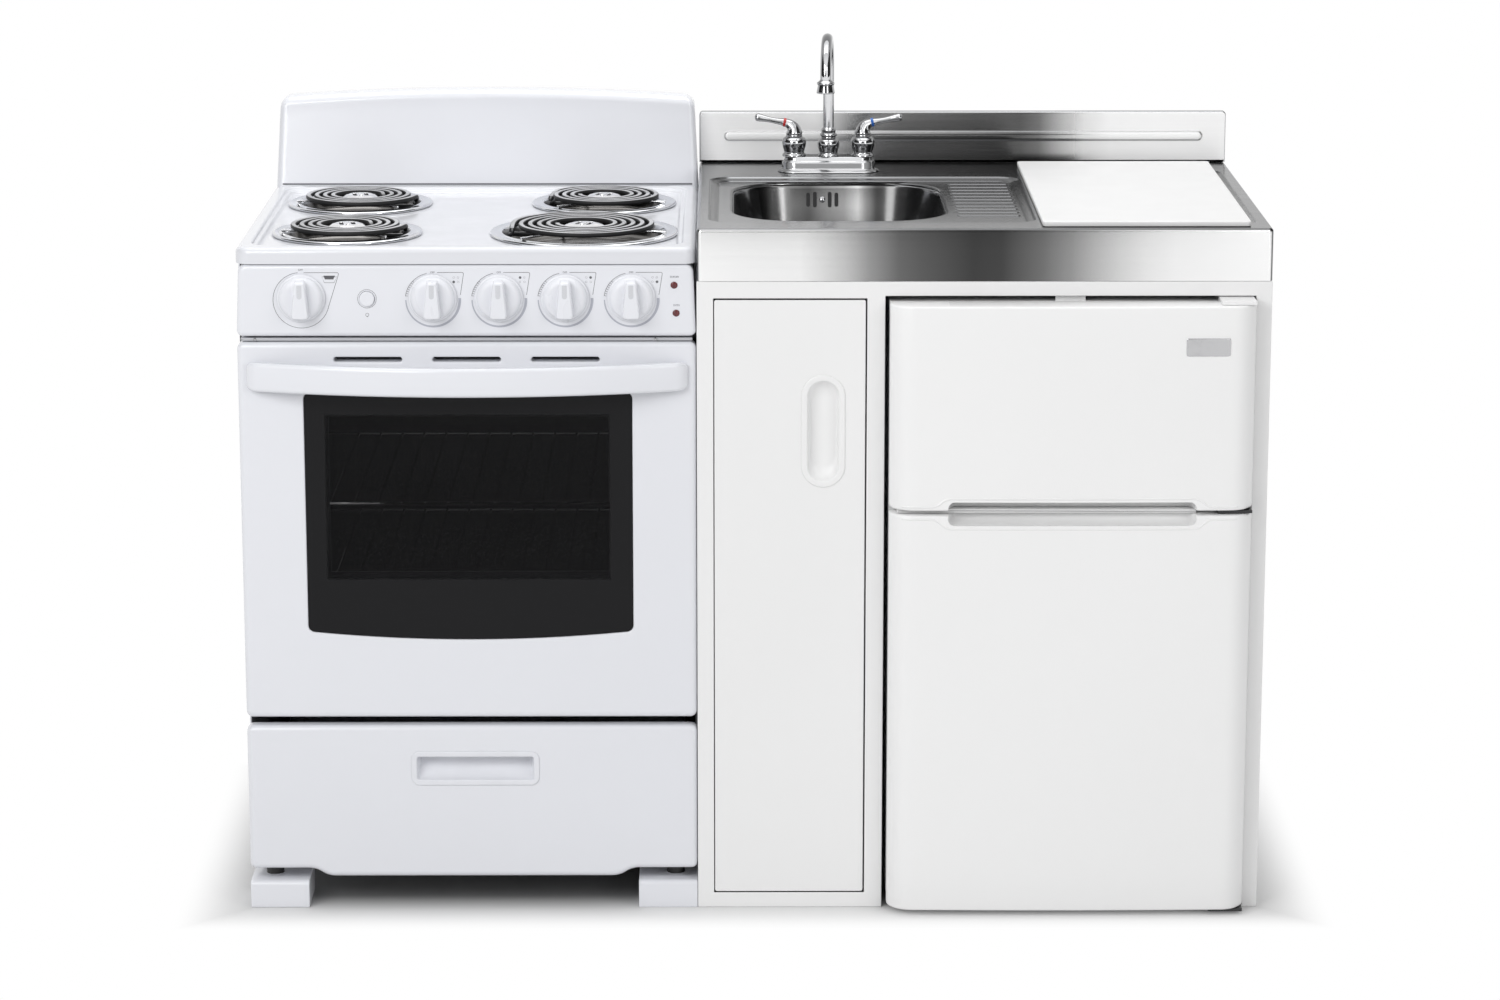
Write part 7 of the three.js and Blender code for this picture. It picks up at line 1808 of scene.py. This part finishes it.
class KITCHENETTE_OT_stage(PieceOperator):
    """Makes the floor, the lamps, the white surround and the camera"""
    bl_idname = "kitchenette.stage"
    bl_label = "Stage"

    def execute(self, context):
        scene, stage = context.scene, context.scene.kitchenette_stage
        r = FLOOR_REACH
        floor = four_sided("floor", [(-r, -r, 0), (r, -r, 0), (r, r, 0), (-r, r, 0)],
                           floor_paper(tuple(stage.floor), CAD_BOX[1][1]))

        scene.world = bpy.data.worlds.new("white_surround")
        scene.world.use_nodes = True
        surround = Nodes(scene.world.node_tree)
        light = surround.tree.nodes["Background"]
        surround.join(light.inputs["Color"], WHITE)
        surround.join(light.inputs["Strength"], stage.room)
        white = surround.node("ShaderNodeBackground", {}, {"Color": WHITE, "Strength": 1.0})
        surround.unlit(light.outputs[0], white)

        for name, (near, far, low, high) in CARDS.items():
            card = four_sided(name, [(*near, low), (*far, low), (*far, high), (*near, high)],
                              Sheet(name, Base_Color=grey(0.02), Roughness=1.0).material)
            card.visible_camera = card.visible_diffuse = card.visible_shadow = False
            card.visible_transmission = False

        for name, (place, target, share, size) in LAMPS.items():
            light = bpy.data.lights.new(name, "AREA")
            light.shape, light.energy = "RECTANGLE", stage.key * share
            light.size, light.size_y = size
            lamp = linked(name, light)
            lamp.location = place
            aim = Vector(target) - Vector(place)
            lamp.rotation_euler = aim.to_track_quat("-Z", "Y").to_euler()

        lens = bpy.data.cameras.new("view")
        lens.lens, lens.sensor_width = stage.lens, 36.0
        camera = linked("view", lens)
        camera.location = CAMERA_PLACE
        camera.rotation_euler = (pi / 2 - CAMERA_DOWN, 0, CAMERA_TURN)
        scene.camera = camera
        scene.view_settings.view_transform = "Standard"
        return {"FINISHED"}


STEPS = (KITCHENETTE_OT_finishes, KITCHENETTE_OT_cooktop, KITCHENETTE_OT_burners,
         KITCHENETTE_OT_backguard, KITCHENETTE_OT_controls, KITCHENETTE_OT_oven_door,
         KITCHENETTE_OT_oven, KITCHENETTE_OT_drawer, KITCHENETTE_OT_range_case,
         KITCHENETTE_OT_worktop, KITCHENETTE_OT_faucet, KITCHENETTE_OT_board,
         KITCHENETTE_OT_cabinet, KITCHENETTE_OT_cold_doors, KITCHENETTE_OT_stage)
GROUPS = (KitchenetteColours, KitchenetteSizes, KitchenetteStage)


class KITCHENETTE_PT_panel(bpy.types.Panel):
    """The kitchenette's sizes, colours and steps."""
    bl_idname = "KITCHENETTE_PT_panel"
    bl_label = "Kitchenette"
    bl_space_type = "VIEW_3D"
    bl_region_type = "UI"
    bl_category = "Kitchenette"

    def draw(self, context):
        scene = context.scene
        for group in (scene.kitchenette_colours, scene.kitchenette_sizes, scene.kitchenette_stage):
            box = self.layout.box()
            for name in group.__annotations__:
                box.prop(group, name)
        for step in STEPS:
            self.layout.operator(step.bl_idname)


def register():
    for item in (*GROUPS, *STEPS, KITCHENETTE_PT_panel):
        bpy.utils.register_class(item)
    scene = bpy.types.Scene
    scene.kitchenette_colours = PointerProperty(type=KitchenetteColours)
    scene.kitchenette_sizes = PointerProperty(type=KitchenetteSizes)
    scene.kitchenette_stage = PointerProperty(type=KitchenetteStage)


def unregister():
    for name in ("kitchenette_colours", "kitchenette_sizes", "kitchenette_stage"):
        delattr(bpy.types.Scene, name)
    for item in reversed((*GROUPS, *STEPS, KITCHENETTE_PT_panel)):
        bpy.utils.unregister_class(item)


def main():
    """Runs every step in order."""
    register()
    for step in STEPS:
        group, name = step.bl_idname.split(".")
        getattr(getattr(bpy.ops, group), name)()


if __name__ == "__main__":
    main()
